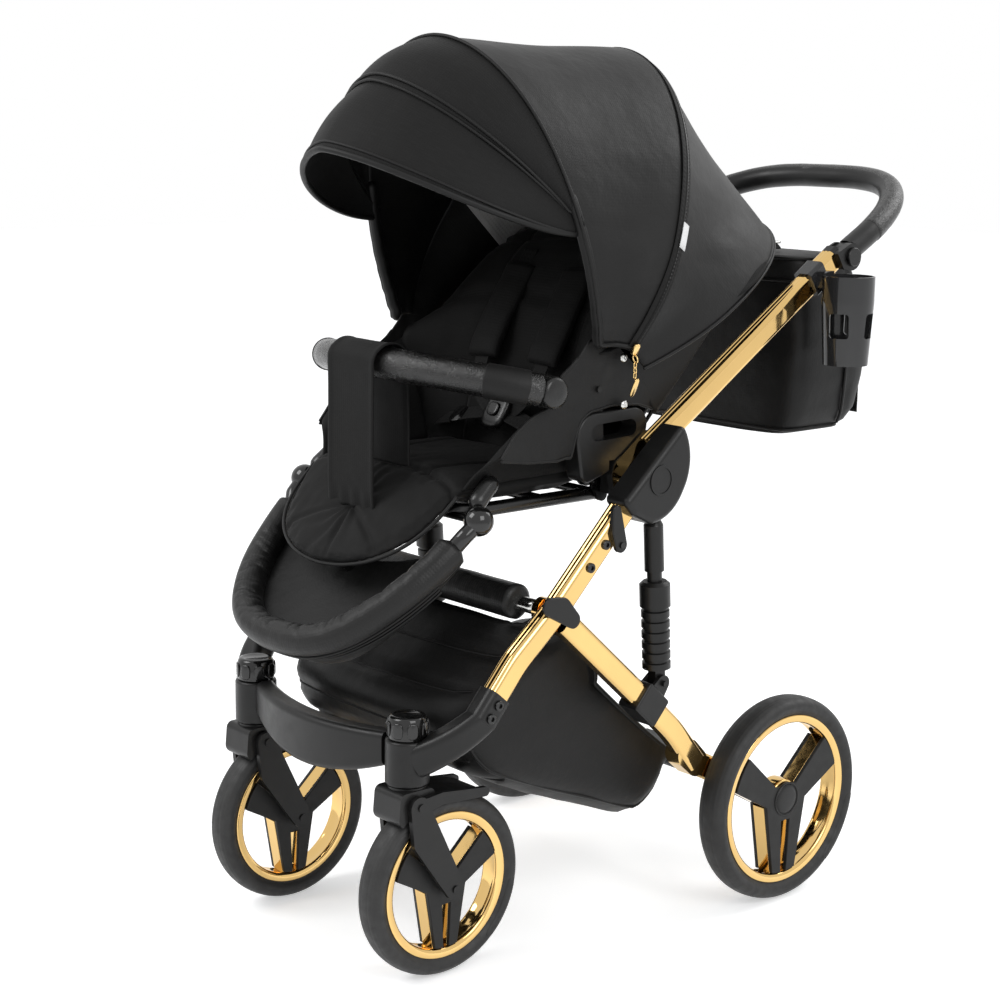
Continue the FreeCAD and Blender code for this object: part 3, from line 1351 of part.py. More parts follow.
# --------------------------------------------------------------------------------------
# Swivel heads, forks and swivel locks
# --------------------------------------------------------------------------------------
def make_swivel_parts():
    """The head that swivels below each barrel, the sprung fork in it and the lock knob above."""
    x = CASTER.x
    bottom = mm("barrel_bottom_z")
    half = mm("fork_gap") - mm("side_gap")
    low = mm("head_bottom_z")
    disc = Part.makeCylinder(mm("barrel_radius") - 3, mm("head_disc"),
                             Vector(x, CASTER.y, bottom - mm("side_gap") - mm("head_disc")))
    lug = belt_plate([(CASTER.y - 20, low + 14, 13), (FORK_PIVOT.y, FORK_PIVOT.z, mm("fork_boss")),
                      (CASTER.y + 14, bottom - 12, 9), (CASTER.y - 22, bottom - 12, 9)], x - half, x + half)
    pin = Part.makeCylinder(mm("swivel_pin_radius"), mm("barrel_top_z") - bottom - mm("side_gap") + 2,
                            Vector(x, CASTER.y, bottom - mm("side_gap") - 1))
    head = joined([disc, lug])
    clear = mm("front_wheel_radius") + mm("wheel_clearance")
    head = head.cut(x_rod(FRONT_AXLE.y, FRONT_AXLE.z, clear, x - 60, x + 60))
    head = joined([head, pin])
    head = head.cut(Part.makeCylinder(mm("swivel_pin_radius") * 0.5, 200, Vector(x, CASTER.y, bottom - 4)))
    head = drill(head, FORK_PIVOT.y, FORK_PIVOT.z, mm("fork_pin_radius") + mm("running_gap"), x - 60, x + 60)
    left = keep(feature("caster_head", joined([head])), "caster_head_left")
    mirrored(left, "caster_head_right")

    inner = mm("fork_gap")
    outer = inner + mm("fork_plate")
    plates = []
    for x0, x1 in ((x - outer, x - inner), (x + inner, x + outer)):
        blade = belt_plate([(FORK_PIVOT.y - 2, FORK_PIVOT.z, mm("fork_boss")),
                            (CASTER.y - 2, (FORK_PIVOT.z + FRONT_AXLE.z) / 2 + 14, 13),
                            (FRONT_AXLE.y, FRONT_AXLE.z, mm("fork_foot"))], x0, x1)
        plates.append(blade)
    fender_in = mm("front_wheel_radius") + mm("fender_clearance")
    fender_out = fender_in + mm("fender_thick")
    shell = x_rod(FRONT_AXLE.y, FRONT_AXLE.z, fender_out, x - outer, x + outer)
    shell = shell.cut(x_rod(FRONT_AXLE.y, FRONT_AXLE.z, fender_in, x - outer - 1, x + outer + 1))
    start = math.radians(mm("fender_start_deg"))
    finish = math.radians(mm("fender_end_deg"))
    big = fender_out * 3
    wedge = Part.Face(Part.makePolygon([
        at_x(FRONT_AXLE, x - outer - 1),
        Vector(x - outer - 1, FRONT_AXLE.y + big * math.cos(start), FRONT_AXLE.z + big * math.sin(start)),
        Vector(x - outer - 1, FRONT_AXLE.y + big * math.cos(finish), FRONT_AXLE.z + big * math.sin(finish)),
        at_x(FRONT_AXLE, x - outer - 1)])).extrude(Vector(2 * outer + 2, 0, 0))
    shell = shell.common(wedge)
    cheeks = []
    for x0, x1 in ((x - outer, x - inner), (x + inner, x + outer)):
        arm_y = FRONT_AXLE.y + (fender_in + 3) * math.cos(start)
        arm_z = FRONT_AXLE.z + (fender_in + 3) * math.sin(start)
        mid_y = FRONT_AXLE.y + (fender_in + 2) * math.cos(finish)
        mid_z = FRONT_AXLE.z + (fender_in + 2) * math.sin(finish)
        root = (FORK_PIVOT.y, FORK_PIVOT.z, mm("fork_boss") * 0.7)
        cheeks.append(belt_plate([(mid_y, mid_z, 8), root], x0, x1))
        cheeks.append(belt_plate([(mid_y, mid_z, 8), (arm_y, arm_z, 6)][::-1], x0, x1))
    fork = joined(plates + cheeks + [shell])
    pin_r = mm("fork_pin_radius")
    fork = fork.fuse(x_rod(FORK_PIVOT.y, FORK_PIVOT.z, pin_r, x - outer - 2, x + outer + 2))
    fork = fork.fuse(x_rod(FRONT_AXLE.y, FRONT_AXLE.z, mm("axle_radius"), x - outer - 2, x + outer + 2))
    left = keep(feature("fork", joined([fork])), "fork_left")
    mirrored(left, "fork_right")

    radius = mm("barrel_radius") - 2
    top = mm("barrel_top_z") + mm("soft_gap")
    knob = Part.makeCylinder(radius, mm("lock_height"), Vector(x, CASTER.y, top))
    knob = knob.makeFillet(mm("lock_edge"), [e for e in knob.Edges if e.BoundBox.ZMin > top + 5
                                              and isinstance(e.Curve, Part.Circle)])
    notch_y = radius * 0.55
    for sign in (-1, 1):
        scoop = x_rod(CASTER.y + sign * (notch_y + 6), top + mm("lock_height") + 5, 9,
                      x - radius - 5, x + radius + 5)
        knob = knob.cut(scoop)
    left = keep(feature("swivel_lock", joined([knob])), "swivel_lock_left")
    mirrored(left, "swivel_lock_right")


# --------------------------------------------------------------------------------------
# Upper frame and handle
# --------------------------------------------------------------------------------------
UPPER_END = Vector(0, mm("upper_end_y"), mm("upper_end_z"))
UPPER_SLOPE = math.radians(mm("upper_tube_deg"))
UPPER_DIR = Vector(0, math.cos(UPPER_SLOPE), math.sin(UPPER_SLOPE))
UPPER_UP = side_normal(UPPER_DIR)
HANDLE_SLOPE = math.radians(mm("handle_lift_deg"))
HANDLE_DIR = Vector(0, math.cos(HANDLE_SLOPE), math.sin(HANDLE_SLOPE))


def make_upper_tubes():
    """The upper tubes, each with a round hub that turns on the fold pin."""
    hub_r = mm("upper_hub_radius")
    end = at_x(UPPER_END, UPPER_X)
    start = end - UPPER_DIR * ((UPPER_END - FOLD).dot(UPPER_DIR) - mm("upper_start_run"))
    path = Part.Wire([Part.LineSegment(start, end).toShape()])
    tube = sweep(path, frame_profile(start, UPPER_DIR, mm("tube_width"), mm("tube_depth"),
                                     mm("tube_corner"), mm("tube_groove")))
    x0, x1 = UPPER_X - HALF_TUBE, UPPER_X + HALF_TUBE
    neck = start + UPPER_DIR * 12
    hub = belt_plate([(FOLD.y, FOLD.z, hub_r), (neck.y, neck.z, HALF_DEPTH - 1)], x0, x1)
    whole = joined([tube, hub])
    whole = drill(whole, FOLD.y, FOLD.z, mm("fold_pin_radius") + mm("running_gap"), x0 - 1, x1 + 1)
    left = keep(feature("upper_tube", whole), "upper_tube_left")
    mirrored(left, "upper_tube_right")


def make_handle_hinges():
    """The end fittings of the upper tubes: a plug face, two cheeks and the pin that the handle tilts on."""
    y, z = HANDLE_PIVOT.y, HANDLE_PIVOT.z
    radius = mm("knuckle_radius")
    x_in = UPPER_X - HALF_TUBE
    eye_half = mm("handle_eye_half")
    gap = mm("side_gap")
    face = UPPER_END + UPPER_DIR * GAP
    inner = belt_plate([(y, z, radius), (face.y + 4, face.z + 2, HALF_DEPTH - 3)][::-1],
                       x_in, UPPER_X - eye_half - gap)
    outer = belt_plate([(y, z, radius), (face.y + 4, face.z + 2, HALF_DEPTH - 3)][::-1],
                       UPPER_X + eye_half + gap, UPPER_X + eye_half + gap + mm("knuckle_cheek"))
    web = Part.makeBox(mm("tube_width"), mm("plug_length"), mm("tube_depth"),
                       Vector(x_in, 0, -HALF_DEPTH))
    web = web.makeFillet(mm("tube_corner"), [e for e in web.Edges if abs(e.tangentAt(0).y) > 0.9])
    web.Placement = Placement(face, Rotation(Vector(0, 1, 0), UPPER_DIR))
    eye_room = x_rod(y, z, mm("handle_eye_radius") + 1.5, UPPER_X - eye_half - gap, UPPER_X + eye_half + gap)
    body = joined([inner, outer, web]).cut(eye_room)
    keep_half = Part.makeBox(120, 200, 200, Vector(UPPER_X - 60, 0, -100))
    keep_half.Placement = Placement(face, Rotation(Vector(0, 1, 0), UPPER_DIR))
    body = body.common(keep_half)
    well_floor = UPPER_X + eye_half + gap + mm("button_floor")
    body = body.cut(x_rod(y, z, mm("button_radius") + mm("cap_gap"), well_floor, well_floor + 50))
    pin = x_rod(y, z, mm("handle_pin_radius"), x_in + 1, UPPER_X + eye_half + gap + 1)
    body = joined([body, pin])
    left = keep(feature("handle_hinge", body), "handle_hinge_left")
    mirrored(left, "handle_hinge_right")


def make_handlebar():
    """The one-piece handle bow, its grip thicker than its ends, with the two tilt eyes."""
    eye_x = UPPER_X
    powers = (mm("handle_side_power"), mm("handle_front_power"))
    points = oval_bow(at_x(HANDLE_PIVOT, 0), HANDLE_DIR, mm("handle_half_width"), mm("handle_reach"),
                      powers, mm("handle_start_share"), 14)
    bar = round_tube(smooth_path(points), mm("grip_radius"))
    eye_half = mm("handle_eye_half")
    y, z = HANDLE_PIVOT.y, HANDLE_PIVOT.z
    eye_r = mm("handle_eye_radius")
    neck = HANDLE_PIVOT + HANDLE_DIR * (eye_r + 10)
    parts = [bar]
    keep_out = []
    for sign in (-1, 1):
        x0 = sign * eye_x - eye_half
        parts.append(belt_plate([(y, z, eye_r), (neck.y, neck.z, eye_r - 3)], x0, x0 + 2 * eye_half))
        room_r = mm("knuckle_radius") + mm("knuckle_room")
        for inner, outer in ((eye_x - HALF_TUBE - 30, eye_x - eye_half), (eye_x + eye_half, eye_x + 60)):
            keep_out.append(x_rod(y, z, room_r, sign * inner if sign > 0 else -outer,
                                  sign * outer if sign > 0 else -inner))
    whole = joined(parts)
    for block in keep_out:
        whole = whole.cut(block)
    whole = joined([whole])
    bore = mm("handle_pin_radius") + mm("running_gap")
    for sign in (-1, 1):
        whole = drill(whole, y, z, bore, sign * eye_x - 30, sign * eye_x + 30)
    keep(feature("handlebar", whole), "handlebar")


def make_handle_buttons():
    """The push buttons on the hinge cheeks that free the handle's tilt."""
    y, z = HANDLE_PIVOT.y, HANDLE_PIVOT.z
    base = UPPER_X + mm("handle_eye_half") + mm("side_gap") + mm("button_floor") + mm("button_travel") + GAP
    disc = x_rod(y, z, mm("button_radius"), base, base + mm("button_height"))
    disc = disc.makeFillet(1.5, [e for e in disc.Edges if e.BoundBox.XMin > base + 1
                                 and isinstance(e.Curve, Part.Circle)])
    left = keep(feature("handle_button", disc), "handle_button_left")
    mirrored(left, "handle_button_right")


def make_cup_holder():
    """The round cup holder on a clip at the left upper tube, with windows in its wall."""
    x, y, bottom = mm("cup_x"), mm("cup_y"), mm("cup_bottom_z")
    radius, wall, height = mm("cup_radius"), mm("cup_wall"), mm("cup_height")
    foot = mm("cup_foot_radius")
    collar = mm("cup_collar")
    base = Vector(x, y, bottom)
    top = Vector(x, y, bottom + height - collar)
    cup = Part.makeCone(foot, radius, height - collar, base).fuse(Part.makeCylinder(radius, collar, top))
    floor = base + Vector(0, 0, wall)
    well = Part.makeCone(foot - wall, radius - wall, height - collar - wall, floor)
    mouth = Part.makeCylinder(radius - wall, collar + 20, top)
    cup = cup.cut(well.fuse(mouth))
    lower = bottom + mm("cup_window_z")
    high, wide = mm("cup_window_height"), mm("cup_window_width")
    for turn in (20, 110, 200, 290):
        window = Part.makeBox(radius * 1.3, wide, high, Vector(0, -wide / 2, 0))
        window = window.makeFillet(5.0, [e for e in window.Edges if abs(e.tangentAt(0).x) > 0.9])
        window.Placement = Placement(Vector(x, y, lower), Rotation(Vector(0, 0, 1), turn))
        cup = cup.cut(window)
    clip_x0 = UPPER_X + HALF_TUBE + GAP
    clip_y = y - mm("clip_back")
    centre = UPPER_END + UPPER_DIR * ((clip_y - UPPER_END.y) / UPPER_DIR.y)
    band_half = mm("clip_length") / 2
    wall_c = mm("clip_wall")
    band = Part.makeBox(mm("tube_width") + 2 * wall_c, 2 * band_half, mm("tube_depth") + 2 * wall_c,
                        Vector(UPPER_X - HALF_TUBE - wall_c, -band_half, -HALF_DEPTH - wall_c))
    band = band.makeFillet(5.0, [e for e in band.Edges if abs(e.tangentAt(0).y) > 0.9])
    band.Placement = Placement(centre, Rotation(Vector(0, 1, 0), UPPER_DIR))
    tube = sweep(Part.Wire([Part.LineSegment(at_x(centre - UPPER_DIR * 60, UPPER_X),
                                             at_x(centre + UPPER_DIR * 60, UPPER_X)).toShape()]),
                 frame_profile(at_x(centre - UPPER_DIR * 60, UPPER_X), UPPER_DIR,
                               mm("tube_width") + 2 * GAP, mm("tube_depth") + 2 * GAP,
                               mm("tube_corner"), mm("tube_groove")))
    arm_high = mm("clip_arm_height")
    arm = Part.makeBox(x - radius * 0.75 - clip_x0, 2 * band_half, arm_high,
                       Vector(clip_x0, y - band_half - mm("clip_back") / 2, centre.z - arm_high / 2))
    grip = joined([band, arm]).cut(tube).cut(well.fuse(mouth))
    whole = joined([cup, grip])
    keep(feature("cup_holder", whole), "cup_holder")


def make_bag():
    """The soft bag that hangs behind the seat between the upper tubes."""
    half = mm("bag_half_width")
    y0 = mm("bag_front_y")
    depth = mm("bag_depth")
    z0 = mm("bag_bottom_z")
    high = mm("bag_height")
    sections = []
    levels = ((0.0, 0.86, 0.72), (0.12, 0.97, 0.92), (0.5, 1.0, 1.0), (0.88, 0.98, 0.95), (1.0, 0.93, 0.82))
    for share, wide, deep in levels:
        centre = Vector(0, y0 + depth * deep / 2, z0 + high * share)
        sections.append(rounded_rect(centre, Vector(0, 0, 1), Vector(1, 0, 0), 2 * half * wide,
                                     depth * deep, mm("bag_corner")))
    outer = loft(sections)
    wall = mm("bag_wall")
    mouth_half = half * 0.84
    mouth = Part.makeBox(2 * mouth_half, depth * 0.68, high,
                         Vector(-mouth_half, y0 + depth * 0.08, z0 + wall * 2))
    mouth = mouth.makeFillet(20.0, [e for e in mouth.Edges if abs(e.tangentAt(0).z) > 0.9])
    # the loops by which the bag hangs at the upper tubes
    loop_y = UPPER_END.y - mm("bag_loop_back")
    loop_z = UPPER_END.z - mm("bag_loop_back") * UPPER_DIR.z / UPPER_DIR.y
    reach = UPPER_X - HALF_TUBE - mm("soft_gap")
    loops = belt_plate([(loop_y, loop_z - mm("bag_loop_drop"), mm("bag_loop_radius")),
                        (loop_y, loop_z, mm("bag_loop_radius"))], half * 0.9, reach)
    loops = [loops, loops.mirror(Vector(0, 0, 0), Vector(1, 0, 0))]
    keep(feature("bag", joined([outer.cut(mouth)] + loops)), "bag")


# --------------------------------------------------------------------------------------
# Seat unit
# --------------------------------------------------------------------------------------
def make_seat_adapters():
    """The side plates of the seat, each with a finger opening and a tongue for the chassis socket."""
    x0, x1 = mm("adapter_inner_x"), mm("adapter_outer_x")
    base = mm("tongue_top_z") + mm("side_gap")

    front = FOLD.y - mm("adapter_front")
    lobes = [(FOLD.y + 18, base + 15, 15), (FOLD.y + 15, base + 41, 25), (front + 4, base + 32, 32),
             (front - 6, base - 12, 14)]
    plate = belt_plate(lobes, x0, x1)
    outer = [e for e in plate.Edges if e.BoundBox.XMin > x1 - 1e-3]
    plate = plate.makeFillet(mm("adapter_edge"), outer)
    clear_y = FOLD.y - mm("hub_plate_radius") - 3
    plate = plate.cut(Part.makeBox(x1 - x0 + 2, 200, 100, Vector(x0 - 1, clear_y, base - 100)))
    plate = plate.cut(x_rod(FOLD.y, FOLD.z, mm("hub_plate_radius") + 1, mm("hub_plate_x") - 1, x1 + 1))
    slot_z = base + mm("finger_slot_z")
    slot = belt_plate([(FOLD.y - 50, slot_z, mm("finger_slot_radius")),
                       (FOLD.y + 8, slot_z + 2, mm("finger_slot_radius"))], x0 - 1, x1 + 1)
    plate = plate.cut(slot)
    half_y = mm("tongue_length") / 2
    half_x = mm("tongue_thick") / 2
    depth = mm("tongue_depth") - mm("seat_gap")
    tongue = Part.makeBox(2 * half_x, 2 * half_y, depth + 4,
                          Vector(mm("tongue_x") - half_x, FOLD.y - half_y, mm("tongue_top_z") - depth))
    arm_x0, arm_x1 = mm("hood_eye_x") - mm("bracket_thick") - 0.3, mm("hood_eye_x") - 0.3
    nest = (front + 4, base + 32, 20)
    brackets = [belt_plate([(HOOD_PIVOT.y, HOOD_PIVOT.z, 13), nest], arm_x0, arm_x1),
                belt_plate([(mm("bumper_y"), mm("bumper_z"), 13), nest], arm_x0, arm_x1),
                x_rod(HOOD_PIVOT.y, HOOD_PIVOT.z, mm("hood_pin_radius"), arm_x0,
                      arm_x1 + 2 * mm("bow_eye_thick") + 1.5),
                x_rod(mm("bumper_y"), mm("bumper_z"), mm("bumper_pin_radius"), arm_x0,
                      mm("bumper_x") + mm("bumper_radius") * 0.4)]
    tongue_foot = mm("tongue_top_z") - depth
    tongue = tongue.makeChamfer(2.0, [e for e in tongue.Edges if e.BoundBox.ZMax < tongue_foot + 0.01])
    keep(feature("seat_adapters", both_sides(joined([plate, tongue] + brackets))), "seat_adapters")


def make_seat_frame():
    """The bent tube frame under the seat with its cross bars and scissor stays."""
    z = mm("seat_rail_z")
    y0, y1 = mm("seat_front_y"), mm("seat_back_y")
    radius = mm("seat_rail_radius")
    inner = mm("adapter_inner_x")
    rail = mm("rail_x")
    points = [Vector(rail, y1, z), Vector(rail, y0, z), Vector(-rail, y0, z), Vector(-rail, y1, z)]
    hoop = round_tube(rounded_path(points, [mm("rail_corner"), mm("rail_corner")]), radius)
    parts = [hoop]
    for share in (0.25, 0.62, 1.0):
        y = y0 + (y1 - y0) * share
        parts.append(x_rod(y, z, radius * 0.7, -rail, rail))
    inner -= GAP
    pivot = x_rod(mm("back_pivot_y"), mm("back_pivot_z"), mm("back_pin_radius"), -inner, inner)
    riser = belt_plate([(y1, z, radius), (mm("back_pivot_y"), mm("back_pivot_z"), radius)][::-1],
                       rail - 3, rail + 3)
    post = belt_plate([(y1, z, radius), (FOLD.y - 50, mm("tongue_top_z") + 10, 8)][::-1], inner - 5, inner)
    stub = x_rod(y1, z, radius * 0.8, rail - 4, inner)
    for piece in (riser, post, stub):
        parts += [piece, piece.mirror(Vector(0, 0, 0), Vector(1, 0, 0))]
    hinge_reach = mm("footrest_arm_x") + 9
    parts.append(x_rod(mm("footrest_y"), mm("footrest_z"), mm("footrest_pin_radius"),
                       -hinge_reach, hinge_reach))
    parts.append(pivot)
    frame = joined(parts)
    keep(feature("seat_frame", frame), "seat_frame")


def make_seat_pad():
    """The soft seat cushion with the rounded flap that hangs over the front of the frame."""
    half = mm("pad_half_width")
    z0 = mm("seat_rail_z") + mm("seat_rail_radius") + mm("soft_gap")
    thick = mm("pad_thick")
    y0, y1 = mm("seat_front_y"), mm("pad_back_y")
    cushion = Part.makeBox(2 * half, y1 - y0, thick, Vector(-half, y0, z0))
    top = [e for e in cushion.Edges if e.BoundBox.ZMin > z0 + thick - 0.01]
    cushion = cushion.makeFillet(thick * 0.4, top)
    slope = math.radians(mm("flap_deg"))
    along = Vector(0, -math.cos(slope), -math.sin(slope))
    up = side_normal(along)
    root = Vector(0, y0, z0 + thick) - up * mm("flap_thick")
    powers = (mm("flap_side_power"), mm("flap_front_power"))
    tip = oval_bow(root, along, mm("flap_half_width"), mm("flap_reach"), powers, 0.05, 15)
    rear = [at_x(root, tip[-1].x) - along * thick * 0.5, at_x(root, tip[0].x) - along * thick * 0.5]
    edge = Part.BSplineCurve()
    edge.interpolate(tip)
    sides = [Part.LineSegment(tip[-1], rear[0]).toShape(), Part.LineSegment(rear[0], rear[1]).toShape(),
             Part.LineSegment(rear[1], tip[0]).toShape()]
    flap = Part.Face(Part.Wire([edge.toShape()] + sides)).extrude(up * mm("flap_thick"))
    keep(feature("seat_pad", joined([cushion, flap])), "seat_pad")


def make_backrest():
    """The padded backrest that leans back from its pivot behind the seat."""
    lean = math.radians(mm("back_lean_deg"))
    along = Vector(0, math.cos(lean), math.sin(lean))
    out = side_normal(along)
    if out.y > 0:
        out = -out
    y, z = mm("back_pivot_y"), mm("back_pivot_z")
    pivot = Vector(0, y, z)
    half = mm("back_half_width")
    length = mm("back_length")
    thick = mm("back_thick")
    start = mm("back_start")
    corner = mm("back_corner")
    low = pivot + along * start - out * (mm("back_pin_radius") + 3)
    across = Vector(1, 0, 0)
    points = [low - across * (half - 10), low + across * (half - 10),
              low + across * half + along * (length - start - corner),
              low + across * (half - corner) + along * (length - start),
              low - across * (half - corner) + along * (length - start),
              low - across * half + along * (length - start - corner)]
    bulge = corner * 0.3
    right_mid = low + across * (half - bulge) + along * (length - start - bulge)
    left_mid = low - across * (half - bulge) + along * (length - start - bulge)
    outline = Part.Wire([
        Part.LineSegment(points[0], points[1]).toShape(),
        Part.LineSegment(points[1], points[2]).toShape(),
        Part.Arc(points[2], right_mid, points[3]).toShape(),
        Part.LineSegment(points[3], points[4]).toShape(),
        Part.Arc(points[4], left_mid, points[5]).toShape(),
        Part.LineSegment(points[5], points[0]).toShape(),
    ])
    board = Part.Face(outline).extrude(out * thick)
    face_edges = [e for e in board.Edges
                  if all(abs((v.Point - low).dot(out) - thick) < 0.01 for v in e.Vertexes)]
    board = board.makeFillet(mm("back_edge"), face_edges)
    ears = []
    for x in (-half * 0.78, half * 0.78 - 14):
        foot = pivot + along * (start + 16)
        ears.append(belt_plate([(y, z, mm("back_pin_radius") + 5), (foot.y, foot.z, 9)], x, x + 14))
    whole = joined([board] + ears)
    whole = drill(whole, y, z, mm("back_pin_radius") + mm("running_gap"), -half, half)
    keep(feature("backrest", joined([whole])), "backrest")


def make_footrest():
    """The leg rest: a padded rim bent to a U, a soft floor slung in it and two hinge ears."""
    y, z = mm("footrest_y"), mm("footrest_z")
    lean = math.radians(mm("footrest_lean_deg"))
    along = Vector(0, -math.cos(lean), -math.sin(lean))
    up = side_normal(along)
    radius = mm("footrest_rim_radius")
    pivot = Vector(0, y, z)
    origin = pivot + along * mm("footrest_offset") - up * mm("footrest_sink")
    powers = (mm("footrest_side_power"), mm("footrest_front_power"))
    points = oval_bow(origin, along, mm("footrest_half_width"), mm("footrest_reach"), powers,
                      mm("footrest_start_share"), 15)
    rim = round_tube(smooth_path(points), radius)
    low = up * (mm("footrest_floor_sink") + mm("footrest_floor") / 2)
    outline = Part.Wire(smooth_path([p - low for p in points]).Edges
                        + [Part.LineSegment(points[-1] - low, points[0] - low).toShape()])
    floor = Part.Face(outline).extrude(up * mm("footrest_floor"))
    ears = []
    arm_x = mm("footrest_arm_x")
    neck = at_x(points[0], 0) + along * radius * 0.6
    for x in (-arm_x - 8, arm_x):
        ears.append(belt_plate([(y, z, mm("footrest_ear_radius")), (neck.y, neck.z, 13)][::-1], x, x + 8))
    whole = joined([rim, floor] + ears)
    bore = mm("footrest_pin_radius") + mm("running_gap")
    whole = drill(whole, y, z, bore, -2 * arm_x, 2 * arm_x)
    keep(feature("footrest", joined([whole])), "footrest")


def make_bumper_bar():
    """The padded bumper bar, a full round bow that swings up from both seat sides."""
    y, z = mm("bumper_y"), mm("bumper_z")
    lift = math.radians(mm("bumper_lift_deg"))
    along = Vector(0, -math.cos(lift), math.sin(lift))
    pivot = Vector(0, y, z)
    half = mm("bumper_x")
    powers = (mm("bumper_side_power"), mm("bumper_front_power"))
    points = oval_bow(pivot, along, half, mm("bumper_reach"), powers, mm("bumper_start_share"), 14)
    bar = round_tube(smooth_path(points), mm("bumper_radius"))
    ends = []
    for sign in (-1, 1):
        inner, outer = mm("hood_eye_x") + mm("side_gap"), half + mm("bumper_radius") * 0.6
        ends.append(x_rod(y, z, mm("bumper_radius"), *sorted((sign * inner, sign * outer))))
    relief = mm("hood_eye_x") + mm("side_gap")
    bar = bar.cut(x_rod(y, z, mm("bumper_relief"), -relief, relief))
    whole = joined([bar] + ends)
    pin = mm("bumper_pin_radius") + mm("running_gap")
    whole = drill(whole, y, z, pin, -half - 40, half + 40)
    keep(feature("bumper_bar", joined([whole])), "bumper_bar")


# --------------------------------------------------------------------------------------
# Hood
# --------------------------------------------------------------------------------------
def bow_points(bow, inset, low, count=11):
    """Points over one bow from side to side, starting `low` above its pivot line.

    A bow is (pivot, degrees, height, half width, side power, top power). Its legs draw in
    towards the pivots below the shoulder, as the cover is stitched to narrow side brackets.
    """
    pivot, degrees, height, half, p, q = bow
    angle = math.radians(degrees)
    up = Vector(0, -math.cos(angle), math.sin(angle))
    high = height - inset
    first = math.asin(min(1.0, (low / high)) ** (q / 2)) / math.pi
    shoulder = height * mm("hood_shoulder")
    points = []
    for k in range(count):
        share = first + (1 - 2 * first) * k / (count - 1)
        c, s = math.cos(math.pi * share), math.sin(math.pi * share)
        rise = high * abs(s) ** (2 / q)
        x = (half - inset) * abs(c) ** (2 / p)
        if pivot is HOOD_PIVOT:
            x -= (half - mm("hood_pivot_half")) * max(0.0, 1 - rise / shoulder) ** 2
        points.append(pivot + Vector(math.copysign(x, c), 0, 0) + up * rise)
    return points


def bow_band(bow, low, wall):
    """The closed band between the outer and the inner line of one bow."""
    edges = []
    ends = []
    for inset in (0.0, wall):
        points = bow_points(bow, inset, low)
        curve = Part.BSplineCurve()
        curve.interpolate(points)
        edges.append(curve.toShape())
        ends.append((points[0], points[-1]))
    left = Part.LineSegment(ends[0][1], ends[1][1]).toShape()
    right = Part.LineSegment(ends[1][0], ends[0][0]).toShape()
    return Part.Wire([edges[0], left, edges[1].reversed(), right])


def panel(first, second, wall, low_first, low_second):
    """A fabric panel stretched between two bows."""
    return Part.makeLoft([bow_band(first, low_first, wall), bow_band(second, low_second, wall)], True, True)


def arch_rows(origin, name, wall, low):
    """The outer and the inner row of points over one arched line of the visor.

    The line starts at both sides of `origin`, and as it comes forward it rises ever more steeply.
    """
    depth, rise = mm(name + "_depth"), mm(name + "_rise")
    side_power, front_power = mm(name + "_side_power"), mm(name + "_front_power")
    curl = mm(name + "_curl")
    rows = []
    for inset in (0.0, wall):
        half = mm("visor_half") - inset
        first = math.asin((low / depth) ** (front_power / 2))
        row = []
        for k in range(15):
            angle = first + (math.pi - 2 * first) * k / 14
            c, s = math.cos(angle), math.sin(angle)
            out = s ** (2 / front_power)
            across = half * math.copysign(abs(c) ** (2 / side_power), c)
            row.append(origin + Vector(across, -(depth - inset) * out, (rise - inset) * out ** curl))
        rows.append(row)
    return rows


def bow_rows(bow, wall, low):
    """The outer and the inner row of points over one bow."""
    return [bow_points(bow, inset, low, 15) for inset in (0.0, wall)]


def skin_line(row):
    """A smooth line through a row of points."""
    curve = Part.BSplineCurve()
    curve.interpolate(row)
    return curve.toShape()


def skin_panel(first, second):
    """A solid fabric panel between two lines, each given as its outer and its inner row of points."""
    ruled = Part.makeRuledSurface
    outer = [skin_line(rows[0]) for rows in (first, second)]
    inner = [skin_line(rows[1]) for rows in (first, second)]
    faces = [ruled(outer[0], outer[1]), ruled(inner[0], inner[1]),
             ruled(outer[0], inner[0]), ruled(outer[1], inner[1])]
    for end in (0, -1):
        thick = [Part.LineSegment(rows[0][end], rows[1][end]).toShape() for rows in (first, second)]
        faces.append(ruled(thick[0], thick[1]))
    shell = Part.makeShell(faces)
    shell.sewShape()
    solid = Part.makeSolid(shell)
    if solid.Volume < 0:
        solid.reverse()
    return solid


def bow_leg(bow, low, x0, x1):
    """The wire leg of a bow on the left side, from its flat eye on the pivot up into the cover."""
    end = bow_points(bow, mm("hood_wall") / 2, low + 6)[0]
    start = at_x(HOOD_PIVOT, (x0 + x1) / 2)
    rod = Part.makeCylinder(mm("bow_wire_radius"), (end - start).Length, start, (end - start))
    eye = x_rod(HOOD_PIVOT.y, HOOD_PIVOT.z, mm("bow_eye_radius"), x0, x1)
    near = Part.makeSphere(mm("bow_eye_radius") + 5, at_x(HOOD_PIVOT, (x0 + x1) / 2))
    keep_in = rod.common(near).common(Part.makeBox(x1 - x0, 900, 900, Vector(x0, -700, 400)))
    return [eye, keep_in, rod.cut(near)]


